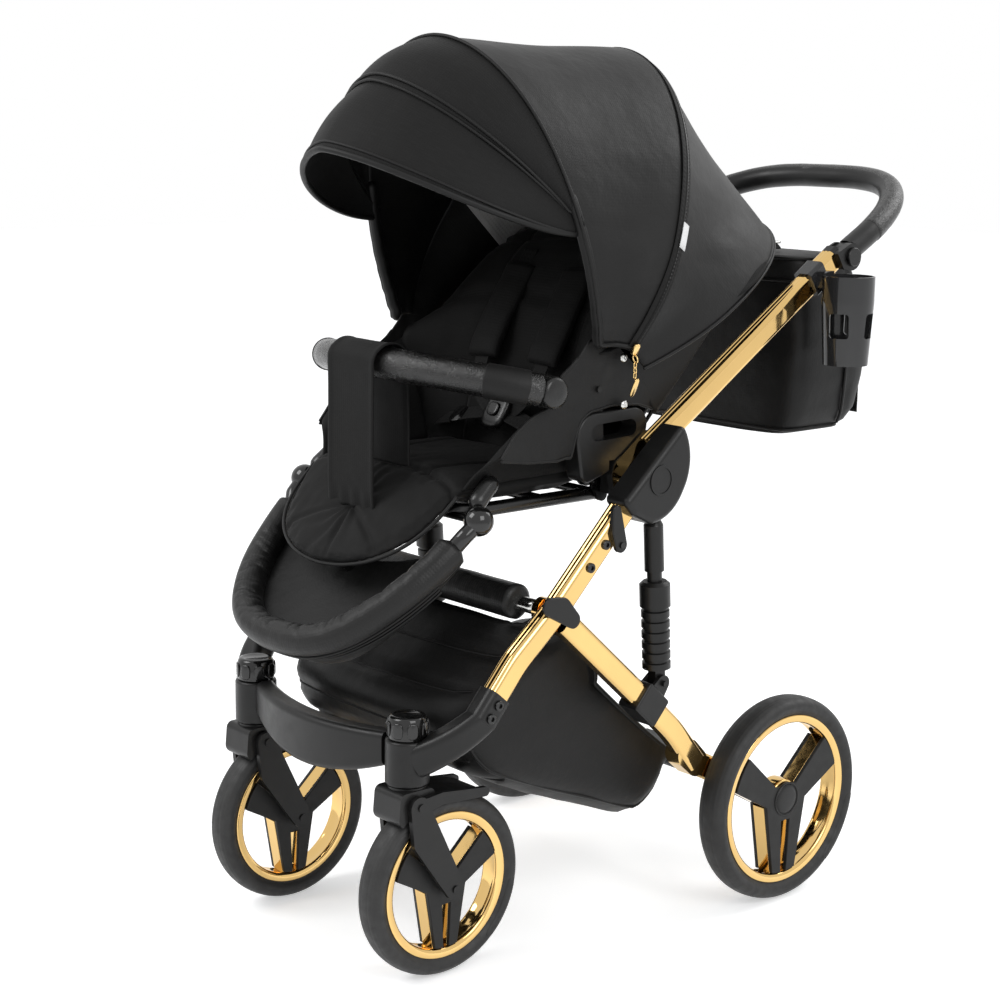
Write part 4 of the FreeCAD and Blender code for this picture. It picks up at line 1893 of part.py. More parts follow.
def make_hood():
    """The hood's rear and front panels about their pivot, and the visor in front."""
    wall = mm("hood_wall")
    low = mm("hood_hem")
    seam_deg = mm("hood_seam_deg")
    gap = mm("soft_gap")
    front, mid, rear = [(HOOD_PIVOT, mm(name + "_deg"), mm(name + "_height"), mm(name + "_half"),
                         mm(name + "_side_power"), mm(name + "_top_power"))
                        for name in ("front_bow", "mid_bow", "rear_bow")]
    mid_back = (HOOD_PIVOT, mm("mid_bow_deg") + seam_deg) + mid[2:]
    eye_x = mm("hood_eye_x")
    eye = mm("bow_eye_thick")
    bore = mm("hood_pin_radius") + mm("running_gap")

    lean = math.radians(mm("rear_bow_deg"))
    back_dir = Vector(0, -math.cos(lean), math.sin(lean))
    skirt_x = mm("skirt_x")
    foot = HOOD_PIVOT + back_dir * low
    top = HOOD_PIVOT + back_dir * mm("skirt_length")
    skirt_points = [foot, Vector(0, mm("skirt_low_y"), mm("skirt_low_z")), top, foot]
    skirt = Part.Face(Part.makePolygon([at_x(p, skirt_x - wall) for p in skirt_points]))
    skirt = skirt.extrude(Vector(wall, 0, 0))
    rear_panel = panel(mid_back, rear, wall, low, low)
    parts = [rear_panel]
    for bow, x0 in ((rear, eye_x + eye + gap),):
        for piece in bow_leg(bow, low, x0, x0 + eye):
            parts += [piece, piece.mirror(Vector(0, 0, 0), Vector(1, 0, 0))]
    parts += [skirt, skirt.mirror(Vector(0, 0, 0), Vector(1, 0, 0))]
    whole = drill(joined(parts), HOOD_PIVOT.y, HOOD_PIVOT.z, bore, -300, 300)
    keep(feature("hood_rear", joined([whole])), "hood_rear")

    visor_pivot = Vector(0, mm("visor_y"), mm("visor_z"))
    hem = mm("visor_hem")
    seam = arch_rows(visor_pivot, "seam", wall, hem)
    seam_front = arch_rows(visor_pivot + Vector(0, -gap, -gap), "seam", wall, hem)
    lip_pivot = visor_pivot + Vector(0, -mm("visor_side"), -mm("visor_side") / 2)
    lip = arch_rows(lip_pivot, "lip", wall, hem)
    brow_back = (HOOD_PIVOT, mm("front_bow_deg") - seam_deg) + front[2:]
    join_rise = (visor_pivot - HOOD_PIVOT).Length + 6
    parts = [panel(front, mid, wall, low, low)]
    for piece in bow_leg(front, low, eye_x, eye_x + eye):
        parts += [piece, piece.mirror(Vector(0, 0, 0), Vector(1, 0, 0))]
    whole = drill(joined(parts), HOOD_PIVOT.y, HOOD_PIVOT.z, bore, -300, 300)
    keep(feature("hood_front", joined([whole])), "hood_front")
    brow = skin_panel(seam, bow_rows(brow_back, wall, join_rise))
    keep(feature("hood_brow", brow), "hood_brow")
    keep(feature("visor", skin_panel(lip, seam_front)), "visor")


# --------------------------------------------------------------------------------------
# Basket, bolts and latches
# --------------------------------------------------------------------------------------
def make_basket():
    """The soft basket under the seat, open above, hung from the cross bar and the rear legs."""
    half = mm("basket_half_width")
    front = [(LEG_PIVOT.y, LEG_PIVOT.z), (mm("basket_front_y"), mm("basket_front_z")),
             (mm("basket_low_y"), mm("basket_low_z")), (mm("basket_rear_y"), mm("basket_rear_z")),
             (mm("basket_back_y"), mm("basket_back_z"))]

    rim_dir = unit(at_x(Vector(0, *front[0]), 0), at_x(Vector(0, *front[-1]), 0))
    lift = side_normal(rim_dir) * 40

    def wire(x, inset):
        mid_y = sum(p[0] for p in front) / len(front)
        mid_z = sum(p[1] for p in front) / len(front)
        pts = [Vector(x, y, z) + Vector(0, mid_y - y, mid_z - z).normalize() * inset for y, z in front]
        if inset:
            run = rim_dir * mm("basket_wall")
            pts[0] = Vector(x, *front[0]) + run * 2
            pts[-1] = Vector(x, *front[-1]) - run * 2
            pts = [pts[0] + lift] + pts + [pts[-1] + lift]
        return Part.makePolygon(pts + pts[:1])

    outer = Part.Face(wire(-half, 0)).extrude(Vector(2 * half, 0, 0))
    outer = outer.makeFillet(mm("basket_corner"), [e for e in outer.Edges if abs(e.BoundBox.XLength) > half])
    wall = mm("basket_wall")
    inner = Part.Face(wire(-half + wall, wall * 1.4)).extrude(Vector(2 * (half - wall), 0, 0))
    long_edges = [e for e in inner.Edges if abs(e.BoundBox.XLength) > half]
    inner = inner.makeFillet(mm("basket_corner") - wall, long_edges)
    roll = x_rod(LEG_PIVOT.y, LEG_PIVOT.z, mm("roll_radius") + mm("soft_gap"), -2 * half, 2 * half)
    keep(feature("basket", outer.cut(inner).cut(roll)), "basket")


def make_crotch_strap():
    """The wide strap over the middle of the bumper bar, one end in front of it and one behind."""
    lift = math.radians(mm("bumper_lift_deg"))
    y = mm("bumper_y") - math.cos(lift) * mm("bumper_reach")
    z = mm("bumper_z") + math.sin(lift) * mm("bumper_reach")
    half = mm("strap_width") / 2
    inner = mm("bumper_radius") + mm("soft_gap")
    thick = mm("strap_thick")
    # the bow falls back towards the strap's edges, so the loop is that much deeper than the bar
    edge_c = (half / mm("bumper_x")) ** (mm("bumper_side_power") / 2)
    edge_run = (1 - edge_c ** 2) ** (1 / mm("bumper_front_power"))
    back = y + mm("bumper_reach") * (1 - edge_run) * math.cos(lift)
    wide = inner + mm("strap_ease")
    rounds = [[(back, z, wide + wall), (y, z, inner + wall)] for wall in (thick, 0.0)]
    over = belt_plate(rounds[0], -half, half).cut(belt_plate(rounds[1], -half, half))
    over = over.common(Part.makeBox(4 * half, 6 * half, 2 * half, Vector(-2 * half, y - 3 * half, z)))
    legs = []
    for start, foot in ((y - inner - thick, mm("strap_foot_z")), (back + wide, mm("strap_back_z"))):
        legs.append(Part.makeBox(2 * half, thick, z - foot, Vector(-half, start, foot)))
    keep(feature("crotch_strap", joined([over] + legs)), "crotch_strap")


def screw_head(y, z, x, radius):
    """A low pan head with a hexagon socket, seated on a face at X."""
    head = x_rod(y, z, radius, x, x + radius * 0.5)
    head = head.makeFillet(radius * 0.25, [e for e in head.Edges if e.BoundBox.XMin > x + radius * 0.3
                                           and isinstance(e.Curve, Part.Circle)])
    rim = [Vector(x + radius * 0.15, y + radius * 0.5 * math.cos(math.radians(60 * k)),
                  z + radius * 0.5 * math.sin(math.radians(60 * k))) for k in range(7)]
    return head.cut(Part.Face(Part.makePolygon(rim)).extrude(Vector(radius, 0, 0)))


def make_chassis_bolts():
    """The screws in the main tubes and their sockets, and the pins that the fold latches turn on."""
    radius = mm("screw_radius")
    face = TUBE_X + HALF_TUBE + GAP
    grip = mm("socket_wall")
    first = (TUBE_BEND - SOCKET).normalize()
    heads = []
    for run in (mm("screw_run"), mm("screw_run") + mm("screw_pitch")):
        spot = TUBE_KNEE + LOWER_DIR * run
        heads.append(screw_head(spot.y, spot.z, face, radius))
    for run in (-4.0, 15.0):
        spot = SOCKET + first * run
        heads.append(screw_head(spot.y, spot.z, face + grip, radius))
    latch = latch_pivot()
    heads.append(x_rod(latch.y, latch.z, mm("latch_pin_radius"), face, face + mm("latch_thick") + 2.5))
    group = Part.Compound(heads + [h.mirror(Vector(0, 0, 0), Vector(1, 0, 0)) for h in heads])
    keep(feature("chassis_bolts", group), "chassis_bolts")


def latch_pivot():
    """The place on the main tube where the fold latch turns."""
    return FOLD - LOWER_UP * mm("latch_below") - LOWER_DIR * mm("latch_run")


def make_fold_latches():
    """The levers outside the main tubes that hold the fold joint locked."""
    pivot = latch_pivot()
    x0 = TUBE_X + HALF_TUBE + mm("side_gap")
    x1 = x0 + mm("latch_thick")
    tip = pivot + Vector(0, -9, 45)
    mid = pivot + Vector(0, -8, 20)
    lever = belt_plate([(pivot.y, pivot.z, 10), (tip.y, tip.z, 7.5), (mid.y, mid.z, 8.5)], x0, x1)
    lever = lever.makeChamfer(1.5, [e for e in lever.Edges if e.BoundBox.XMin > x1 - 0.01])
    lever = drill(lever, pivot.y, pivot.z, mm("latch_pin_radius") + mm("running_gap"), x0 - 1, x1 + 1)
    keep(feature("fold_latches", both_sides(lever)), "fold_latches")


# --------------------------------------------------------------------------------------
# The model
# --------------------------------------------------------------------------------------
make_main_tubes()
make_basket_bar()
make_joint_covers()
make_joint_hubs()
make_leg_hinge_covers()
make_front_bow()
make_caster_barrels()
make_rear_legs()
make_rear_axle()
make_strut_clamps()
make_struts()
make_brake_pedal()
for end_name in ("rear", "front"):
    ring_size = size("%s_ring_radius" % end_name)
    make_tyre(end_name, ring_size, size("%s_wheel_radius" % end_name), size("%s_tyre_width" % end_name))
    make_rim(end_name, ring_size)
    make_spokes(end_name, ring_size, end_name == "rear")
make_wheel_cap()
make_swivel_parts()
make_upper_tubes()
make_handle_hinges()
make_handlebar()
make_handle_buttons()
make_cup_holder()
make_bag()
make_seat_adapters()
make_seat_frame()
make_seat_pad()
make_backrest()
make_footrest()
make_bumper_bar()
make_hood()
make_basket()
make_crotch_strap()
make_chassis_bolts()
make_fold_latches()
doc.recompute()

for item in doc.Objects:
    if "Invalid" in item.State or "Error" in item.State:
        raise RuntimeError("%s failed: %s" % (item.Name, item.State))
for node, item in NODES.items():
    if item.Shape.isNull() or not item.Shape.isValid():
        raise RuntimeError("%s has no valid shape" % node)

os.makedirs("parts", exist_ok=True)
for node, item in NODES.items():
    item.Shape.exportStep("parts/%s.step" % node)
print("%d sub-parts written" % len(NODES))
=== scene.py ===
"""Baby stroller: the dressed model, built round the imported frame.

Every piece is in metres and in the frame's own axes: the front of the stroller points along -Y,
the child's left side is +X and the floor lies at Z = 0.
"""
import logging
from dataclasses import dataclass
from enum import Enum
from math import asin, atan2, copysign, cos, exp, hypot, pi, radians, sin, sqrt, tan
from typing import Callable, Optional, Sequence

import bmesh
import bpy
from mathutils import Matrix, Vector, noise


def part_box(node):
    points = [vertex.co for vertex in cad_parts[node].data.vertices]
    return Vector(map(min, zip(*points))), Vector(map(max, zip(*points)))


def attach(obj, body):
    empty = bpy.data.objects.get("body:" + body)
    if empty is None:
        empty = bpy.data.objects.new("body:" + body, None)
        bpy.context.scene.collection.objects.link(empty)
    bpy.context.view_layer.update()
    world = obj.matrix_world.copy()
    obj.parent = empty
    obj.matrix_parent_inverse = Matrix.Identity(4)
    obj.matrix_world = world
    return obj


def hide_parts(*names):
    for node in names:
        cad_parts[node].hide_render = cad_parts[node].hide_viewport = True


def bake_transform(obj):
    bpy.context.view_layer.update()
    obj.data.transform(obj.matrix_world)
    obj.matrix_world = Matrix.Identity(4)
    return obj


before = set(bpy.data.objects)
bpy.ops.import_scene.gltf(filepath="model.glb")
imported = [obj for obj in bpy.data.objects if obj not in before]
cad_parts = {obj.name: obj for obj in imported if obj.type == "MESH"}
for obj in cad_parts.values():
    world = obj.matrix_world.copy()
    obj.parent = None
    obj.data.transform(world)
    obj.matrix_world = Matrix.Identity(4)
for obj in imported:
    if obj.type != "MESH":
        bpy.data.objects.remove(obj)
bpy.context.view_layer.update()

LOG = logging.getLogger("stroller")
Point = tuple[float, float, float]
Colour = tuple[float, float, float, float]
Pairs = Sequence[tuple[float, float]]
Profile = tuple[tuple[float, float], ...]
Line = Sequence[Vector]
Grid = Sequence[Sequence[Vector]]
Rows = list[list[Vector]]
Piece = bpy.types.Object
FABRIC, BLACK_PLASTIC = "black_fabric", "black_plastic"
SIDES = ((1, "left"), (-1, "right"))


def vec(x: float, y: float, z: float) -> Vector:
    """A point or a direction."""
    return Vector((x, y, z))


# where the sub-assemblies meet, in the middle plane
LEG_PIVOT = vec(0.0, -0.256, 0.467)
HOOD_PIVOT = vec(0.0, -0.147, 0.735)
HANDLE_PIVOT = vec(0.0, 0.305, 0.889)


# ---- Mesh building ----
def make_object(name: str, verts: Sequence, faces: Sequence, smooth: bool = True) -> Piece:
    """Makes a mesh object from points and faces.

    Args:
        name: the piece's name.
        verts: points in metres.
        faces: tuples of point numbers.
        smooth: whether its faces are shaded smooth.

    Returns:
        The linked object.
    """
    mesh = bpy.data.meshes.new(name)
    mesh.from_pydata([tuple(v) for v in verts], [], [tuple(f) for f in faces])
    mesh.update()
    bm = bmesh.new()
    bm.from_mesh(mesh)
    bmesh.ops.recalc_face_normals(bm, faces=bm.faces)
    bm.to_mesh(mesh)
    bm.free()
    mesh.polygons.foreach_set("use_smooth", [smooth] * len(mesh.polygons))
    obj = bpy.data.objects.new(name, mesh)
    bpy.context.scene.collection.objects.link(obj)
    return obj


def grid_object(name: str, rows: Grid, round_u: bool = False, round_v: bool = False,
                capped: bool = False) -> Piece:
    """Makes a quad surface from rows of points, with a UV map in metres along the rows.

    Args:
        name: the piece's name.
        rows: equal rows of points.
        round_u: joins the end of each row to its start.
        round_v: joins the last row to the first.
        capped: closes the first and the last row with a face.

    Returns:
        The linked object.
    """
    high, wide = len(rows), len(rows[0])
    verts = [p for row in rows for p in row]
    faces = []
    for i in range(high if round_v else high - 1):
        for j in range(wide if round_u else wide - 1):
            k, m = (i + 1) % high, (j + 1) % wide
            faces.append((i * wide + j, i * wide + m, k * wide + m, k * wide + j))
    if capped:
        faces.append(tuple(range(wide))[::-1])
        faces.append(tuple(range((high - 1) * wide, high * wide)))
    obj = make_object(name, verts, faces)
    run_u = [0.0]
    middle = rows[high // 2]
    for j in range(1, wide + 1):
        run_u.append(run_u[-1] + (middle[j % wide] - middle[j - 1]).length)
    run_v = [0.0]
    for i in range(1, high + 1):
        run_v.append(run_v[-1] + (rows[i % high][wide // 2] - rows[i - 1][wide // 2]).length)
    layer = obj.data.uv_layers.new(name="metres")
    for poly in obj.data.polygons:
        cells = [(obj.data.loops[k].vertex_index, k) for k in poly.loop_indices]
        seam_u = round_u and {v % wide for v, _ in cells} >= {0, wide - 1} and len(cells) == 4
        seam_v = round_v and {v // wide for v, _ in cells} >= {0, high - 1} and len(cells) == 4
        for v, k in cells:
            i, j = divmod(v, wide)
            u = run_u[wide] if seam_u and j == 0 else run_u[j]
            w = run_v[high] if seam_v and i == 0 else run_v[i]
            layer.data[k].uv = (u, w)
    return obj


def catmull(points: Line, count: int, closed: bool = False) -> list[Vector]:
    """A smooth line through points, evenly sampled.

    Args:
        points: the points that it runs through.
        count: how many samples to return.
        closed: whether it returns to its start.

    Returns:
        The samples, at equal steps along the line.
    """
    pts = [Vector(p) for p in points]
    spans = len(pts) if closed else len(pts) - 1
    fine = []
    for i in range(spans):
        if closed:
            a, b, c, d = (pts[(i + k) % len(pts)] for k in (-1, 0, 1, 2))
        else:
            a, b, c = pts[max(i - 1, 0)], pts[i], pts[i + 1]
            d = pts[min(i + 2, len(pts) - 1)]
        for k in range(24):
            t = k / 24
            fine.append(0.5 * ((2 * b) + (c - a) * t + (2 * a - 5 * b + 4 * c - d) * t * t
                               + (3 * b - a - 3 * c + d) * t ** 3))
    fine.append(pts[0] if closed else pts[-1])
    return even_steps(fine, count, closed)


def even_steps(line: Line, count: int, closed: bool = False) -> list[Vector]:
    """Resamples a polyline at equal steps.

    Args:
        line: the points of the polyline.
        count: how many samples to return.
        closed: leaves out the last sample, which equals the first.

    Returns:
        The samples.
    """
    runs = [0.0]
    for a, b in zip(line, line[1:]):
        runs.append(runs[-1] + (b - a).length)
    total = runs[-1]
    out = []
    k = 0
    last = count if closed else count - 1
    for i in range(count):
        target = total * i / last
        while k < len(line) - 2 and runs[k + 1] < target:
            k += 1
        span = runs[k + 1] - runs[k]
        share = 0.0 if span < 1e-12 else min(1.0, (target - runs[k]) / span)
        out.append(line[k].lerp(line[k + 1], share))
    return out


def frames_along(line: Line, up: Vector, closed: bool = False) -> list[tuple[Vector, Vector]]:
    """Two cross directions at each point of a line, turned as little as possible.

    Args:
        line: the points.
        up: the wanted second direction at the start.
        closed: whether the line returns to its start.

    Returns:
        A (side, up) pair for each point.
    """
    pairs = []
    last_up = Vector(up)
    count = len(line)
    for i in range(count):
        if closed:
            along = line[(i + 1) % count] - line[i - 1]
        else:
            along = line[min(i + 1, count - 1)] - line[max(i - 1, 0)]
        along.normalize()
        last_up = (last_up - along * last_up.dot(along)).normalized()
        pairs.append((along.cross(last_up).normalized(), last_up.copy()))
    return pairs


def sweep_section(name: str, line: Line, section: Pairs, up: Vector = vec(0, 0, 1),
                  grow: Optional[Sequence[float]] = None, closed: bool = False) -> Piece:
    """Sweeps a closed section along a line.

    Args:
        name: the piece's name.
        line: the centre line.
        section: (side, up) pairs round the section.
        up: the section's up direction at the start.
        grow: a scale of the section at each point of the line.
        closed: whether the line returns to its start.

    Returns:
        The swept object, with flat ends if the line is open.
    """
    pairs = frames_along(line, up, closed)
    rows = []
    for i, (point, (side, high)) in enumerate(zip(line, pairs)):
        scale = 1.0 if grow is None else grow[i]
        rows.append([point + side * a * scale + high * b * scale for a, b in section])
    return grid_object(name, rows, round_u=True, round_v=closed, capped=not closed)


def ring_rows(line: Line, sides: int, radius: Callable[[int, float], float]) -> Rows:
    """Round rings along a line, their radius given by the ring's number and the angle round it."""
    turns = [2 * pi * k / sides for k in range(sides)]
    rows = []
    for i, (p, (side, up)) in enumerate(zip(line, frames_along(line, vec(0, 0, 1)))):
        sizes = [radius(i, a) for a in turns]
        rows.append([p + side * (r * cos(a)) + up * (r * sin(a)) for a, r in zip(turns, sizes)])
    return rows


def round_section(radius: float, sides: int = 20) -> list[tuple[float, float]]:
    """A round section as (side, up) pairs."""
    return [(radius * cos(2 * pi * k / sides), radius * sin(2 * pi * k / sides)) for k in range(sides)]


def oval_section(wide: float, tall: float, power: float = 2.6, sides: int = 32) -> list[tuple[float, float]]:
    """A rounded-box section of full width and height as (side, up) pairs."""
    pts = []
    for k in range(sides):
        c, s = cos(2 * pi * k / sides), sin(2 * pi * k / sides)
        pts.append((copysign(abs(c) ** (2 / power), c) * wide / 2,
                    copysign(abs(s) ** (2 / power), s) * tall / 2))
    return pts


def tube_object(name: str, line: Line, radius: float, sides: int = 16, closed: bool = False,
                round_ends: bool = True) -> Piece:
    """A round tube along a line, its open ends domed.

    Args:
        name: the piece's name.
        line: the centre line.
        radius: the tube's radius.
        sides: points round the tube.
        closed: whether the line returns to its start.
        round_ends: whether open ends are domed.

    Returns:
        The tube.
    """
    pts = [Vector(p) for p in line]
    grow = [1.0] * len(pts)
    if round_ends and not closed:
        first, last = (pts[0] - pts[1]).normalized(), (pts[-1] - pts[-2]).normalized()
        dome = [(sin(a) * radius, max(cos(a), 0.02)) for a in (0.5, 0.9, 1.25, 1.5)]
        pts = ([pts[0] + first * d for d, _ in dome[::-1]] + pts + [pts[-1] + last * d for d, _ in dome])
        grow = [g for _, g in dome[::-1]] + grow + [g for _, g in dome]
    start = (pts[1] - pts[0]).normalized()
    up = vec(0, 0, 1) if abs(start.z) < 0.9 else vec(0, 1, 0)
    return sweep_section(name, pts, round_section(radius, sides), up, grow, closed)


def lathe_object(name: str, section: Pairs, centre: Vector, axis: Vector = vec(1, 0, 0), steps: int = 72,
                 closed: bool = True) -> Piece:
    """Turns a section round an axis.

    Args:
        name: the piece's name.
        section: (along the axis, radius) pairs.
        centre: a point on the axis.
        axis: its direction.
        steps: how many steps round.
        closed: whether the section returns to its start.

    Returns:
        The turned object.
    """
    axis = axis.normalized()
    side = axis.orthogonal().normalized()
    other = axis.cross(side)
    rows = []
    for k in range(steps):
        a = 2 * pi * k / steps
        out = side * cos(a) + other * sin(a)
        rows.append([centre + axis * x + out * r for x, r in section])
    return grid_object(name, rows, round_u=closed, round_v=True)


def plate_object(name: str, outline: Pairs, x0: float, x1: float, holes: Sequence[Pairs] = ()) -> Piece:
    """A plate between two X planes.

    Args:
        name: the piece's name.
        outline: (y, z) points round it.
        x0: the first plane.
        x1: the second plane.
        holes: outlines cut out of it.

    Returns:
        The plate, closed.
    """
    bm = bmesh.new()
    edges = []
    for ring in (outline, *holes):
        verts = [bm.verts.new((x0, y, z)) for y, z in ring]
        edges += [bm.edges.new((verts[i], verts[(i + 1) % len(verts)])) for i in range(len(verts))]
    bmesh.ops.triangle_fill(bm, edges=edges, use_beauty=True)
    made = bmesh.ops.extrude_face_region(bm, geom=list(bm.faces))
    moved = [g for g in made["geom"] if isinstance(g, bmesh.types.BMVert)]
    bmesh.ops.translate(bm, verts=moved, vec=(x1 - x0, 0, 0))
    bmesh.ops.recalc_face_normals(bm, faces=bm.faces)
    bmesh.ops.dissolve_limit(bm, angle_limit=0.01, verts=bm.verts, edges=bm.edges)
    mesh = bpy.data.meshes.new(name)
    bm.to_mesh(mesh)
    bm.free()
    obj = bpy.data.objects.new(name, mesh)
    bpy.context.scene.collection.objects.link(obj)
    return obj


def join_objects(name: str, objs: Sequence[Piece]) -> Piece:
    """Joins meshes into one object, keeping their materials.

    Args:
        name: the new piece's name.
        objs: the objects to join, which are removed.

    Returns:
        The joined object.
    """
    with bpy.context.temp_override(active_object=objs[0], selected_editable_objects=list(objs)):
        bpy.ops.object.join()
    objs[0].name = name
    objs[0].data.name = name
    return objs[0]


def thicken(obj: Piece, wall: float, offset: float = -1.0) -> Piece:
    """Gives a surface a wall, inwards by default."""
    mod = obj.modifiers.new("wall", "SOLIDIFY")
    mod.thickness = wall
    mod.offset = offset
    mod.use_even_offset = False
    mod.use_rim = True
    return obj


def subdivide(obj: Piece, levels: int = 1) -> Piece:
    """Adds smooth subdivision."""
    mod = obj.modifiers.new("smooth", "SUBSURF")
    mod.levels = levels
    mod.render_levels = levels
    return obj


def ruled_rows(first: Line, second: Line, count: int) -> Rows:
    """Rows of points that lead from one line to another."""
    return [[a.lerp(b, i / (count - 1)) for a, b in zip(first, second)] for i in range(count)]


def level_at(points: Pairs, at: float) -> float:
    """The second value at a first value on a line of straight runs."""
    for (a, b), (c, d) in zip(points, points[1:]):
        if at <= c:
            return b + (d - b) * max(0.0, at - a) / (c - a)
    return points[-1][1]


def outward(rows: Grid, inside: Vector, round_u: bool = False) -> Rows:
    """The direction square to a grid of points, away from a point inside.

    Args:
        rows: the grid.
        inside: a point on the side that the directions turn away from.
        round_u: whether each row returns to its start.

    Returns:
        A unit direction for each point.
    """
    high, wide = len(rows), len(rows[0])
    out = []
    for i in range(high):
        line = []
        for j in range(wide):
            before = rows[i][(j - 1) % wide if round_u else max(j - 1, 0)]
            after = rows[i][(j + 1) % wide if round_u else min(j + 1, wide - 1)]
            over = rows[min(i + 1, high - 1)][j] - rows[max(i - 1, 0)][j]
            square = (after - before).cross(over).normalized()
            if square.dot(rows[i][j] - inside) < 0:
                square.negate()
            line.append(square)
        out.append(line)
    return out


def pushed(rows: Grid, inside: Vector, depth: Callable[[float, float, Vector], float],
           round_u: bool = False) -> Rows:
    """Moves a grid's points square to its surface.

    Args:
        rows: the grid.
        inside: a point that outward is away from.
        depth: gives the outward distance from the shares down and along the grid and the point.
        round_u: whether each row returns to its start.

    Returns:
        The moved rows.
    """
    away = outward(rows, inside, round_u)
    high, wide = len(rows) - 1, len(rows[0]) - 1
    return [[p + away[i][j] * depth(i / high, j / wide, p) for j, p in enumerate(row)]
            for i, row in enumerate(rows)]


def ripple(point: Vector, stretch: Point, seed: float = 0.0, detail: int = 3) -> float:
    """A smooth uneven wave from -1 to 1, with its own count of waves per metre along each axis."""
    where = vec(point.x * stretch[0] + seed, point.y * stretch[1] - seed, point.z * stretch[2] + 2 * seed)
    return noise.fractal(where, 1.0, 2.0, detail)


def band_object(name: str, line: Line, away: Line, width: float, thick: float, crown: float = 0.0,
                lift: float = 0.0, closed: bool = False) -> Piece:
    """A flat band that lies on a surface along a line.

    Args:
        name: the piece's name.
        line: its middle line.
        away: the direction off the surface at each point.
        width: the band's width.
        thick: its thickness, off the surface.
        crown: how much its middle stands up.
        lift: how far it lies off the line.
        closed: whether the line returns to its start.

    Returns:
        The band, closed all round.
    """
    count = len(line)
    rows = []
    for i, (point, up) in enumerate(zip(line, away)):
        if closed:
            along = line[(i + 1) % count] - line[i - 1]
        else:
            along = line[min(i + 1, count - 1)] - line[max(i - 1, 0)]
        side = along.cross(up).normalized()
        top = [point + side * (width * k / 2) + up * (lift + thick + crown * (1 - k * k))
               for k in (-1, -0.93, -0.5, 0, 0.5, 0.93, 1)]
        low = [point + side * (width * k / 2) + up * lift for k in (1, 0, -1)]
        rows.append(top + low)
    return grid_object(name, rows, round_u=True, round_v=closed, capped=not closed)


def bevel(obj: Piece, width: float, segments: int = 3, angle: float = 35.0) -> Piece:
    """Rounds an object's sharp edges and shades it smooth."""
    mod = obj.modifiers.new("edge", "BEVEL")
    mod.width = width
    mod.segments = segments
    mod.limit_method = "ANGLE"
    mod.angle_limit = radians(angle)
    mod.harden_normals = True
    obj.data.polygons.foreach_set("use_smooth", [True] * len(obj.data.polygons))
    return obj


def bake_modifiers(obj: Piece) -> Piece:
    """Applies an object's modifiers to its mesh."""
    dg = bpy.context.evaluated_depsgraph_get()
    mesh = bpy.data.meshes.new_from_object(obj.evaluated_get(dg), preserve_all_data_layers=True, depsgraph=dg)
    obj.modifiers.clear()
    old = obj.data
    obj.data = mesh
    bpy.data.meshes.remove(old)
    return obj


def side_spots(x: float, points: Pairs) -> list[Vector]:
    """Points in a side plane, from (y, z) pairs in millimetres."""
    return [vec(x, y / 1000, z / 1000) for y, z in points]


def rounded_line(points: Line, radius: float, steps: int = 14) -> list[Vector]:
    """Straight runs through points with an arc at each inner corner.

    Args:
        points: the corner points.
        radius: the arcs' radius.
        steps: samples on each arc.

    Returns:
        The points along the line.
    """
    out = [points[0]]
    for a, b, c in zip(points, points[1:], points[2:]):
        back, ahead = (a - b).normalized(), (c - b).normalized()
        half = back.angle(ahead) / 2
        reach = min(radius / tan(half), (a - b).length * 0.49, (c - b).length * 0.49)
        bend = reach * tan(half)
        centre = b + (back + ahead).normalized() * (bend / sin(half))
        first, last = b + back * reach - centre, b + ahead * reach - centre
        size = first.length
        out += [centre + first.normalized().slerp(last.normalized(), k / steps) * size
                for k in range(steps + 1)]
    out.append(points[-1])
    return out


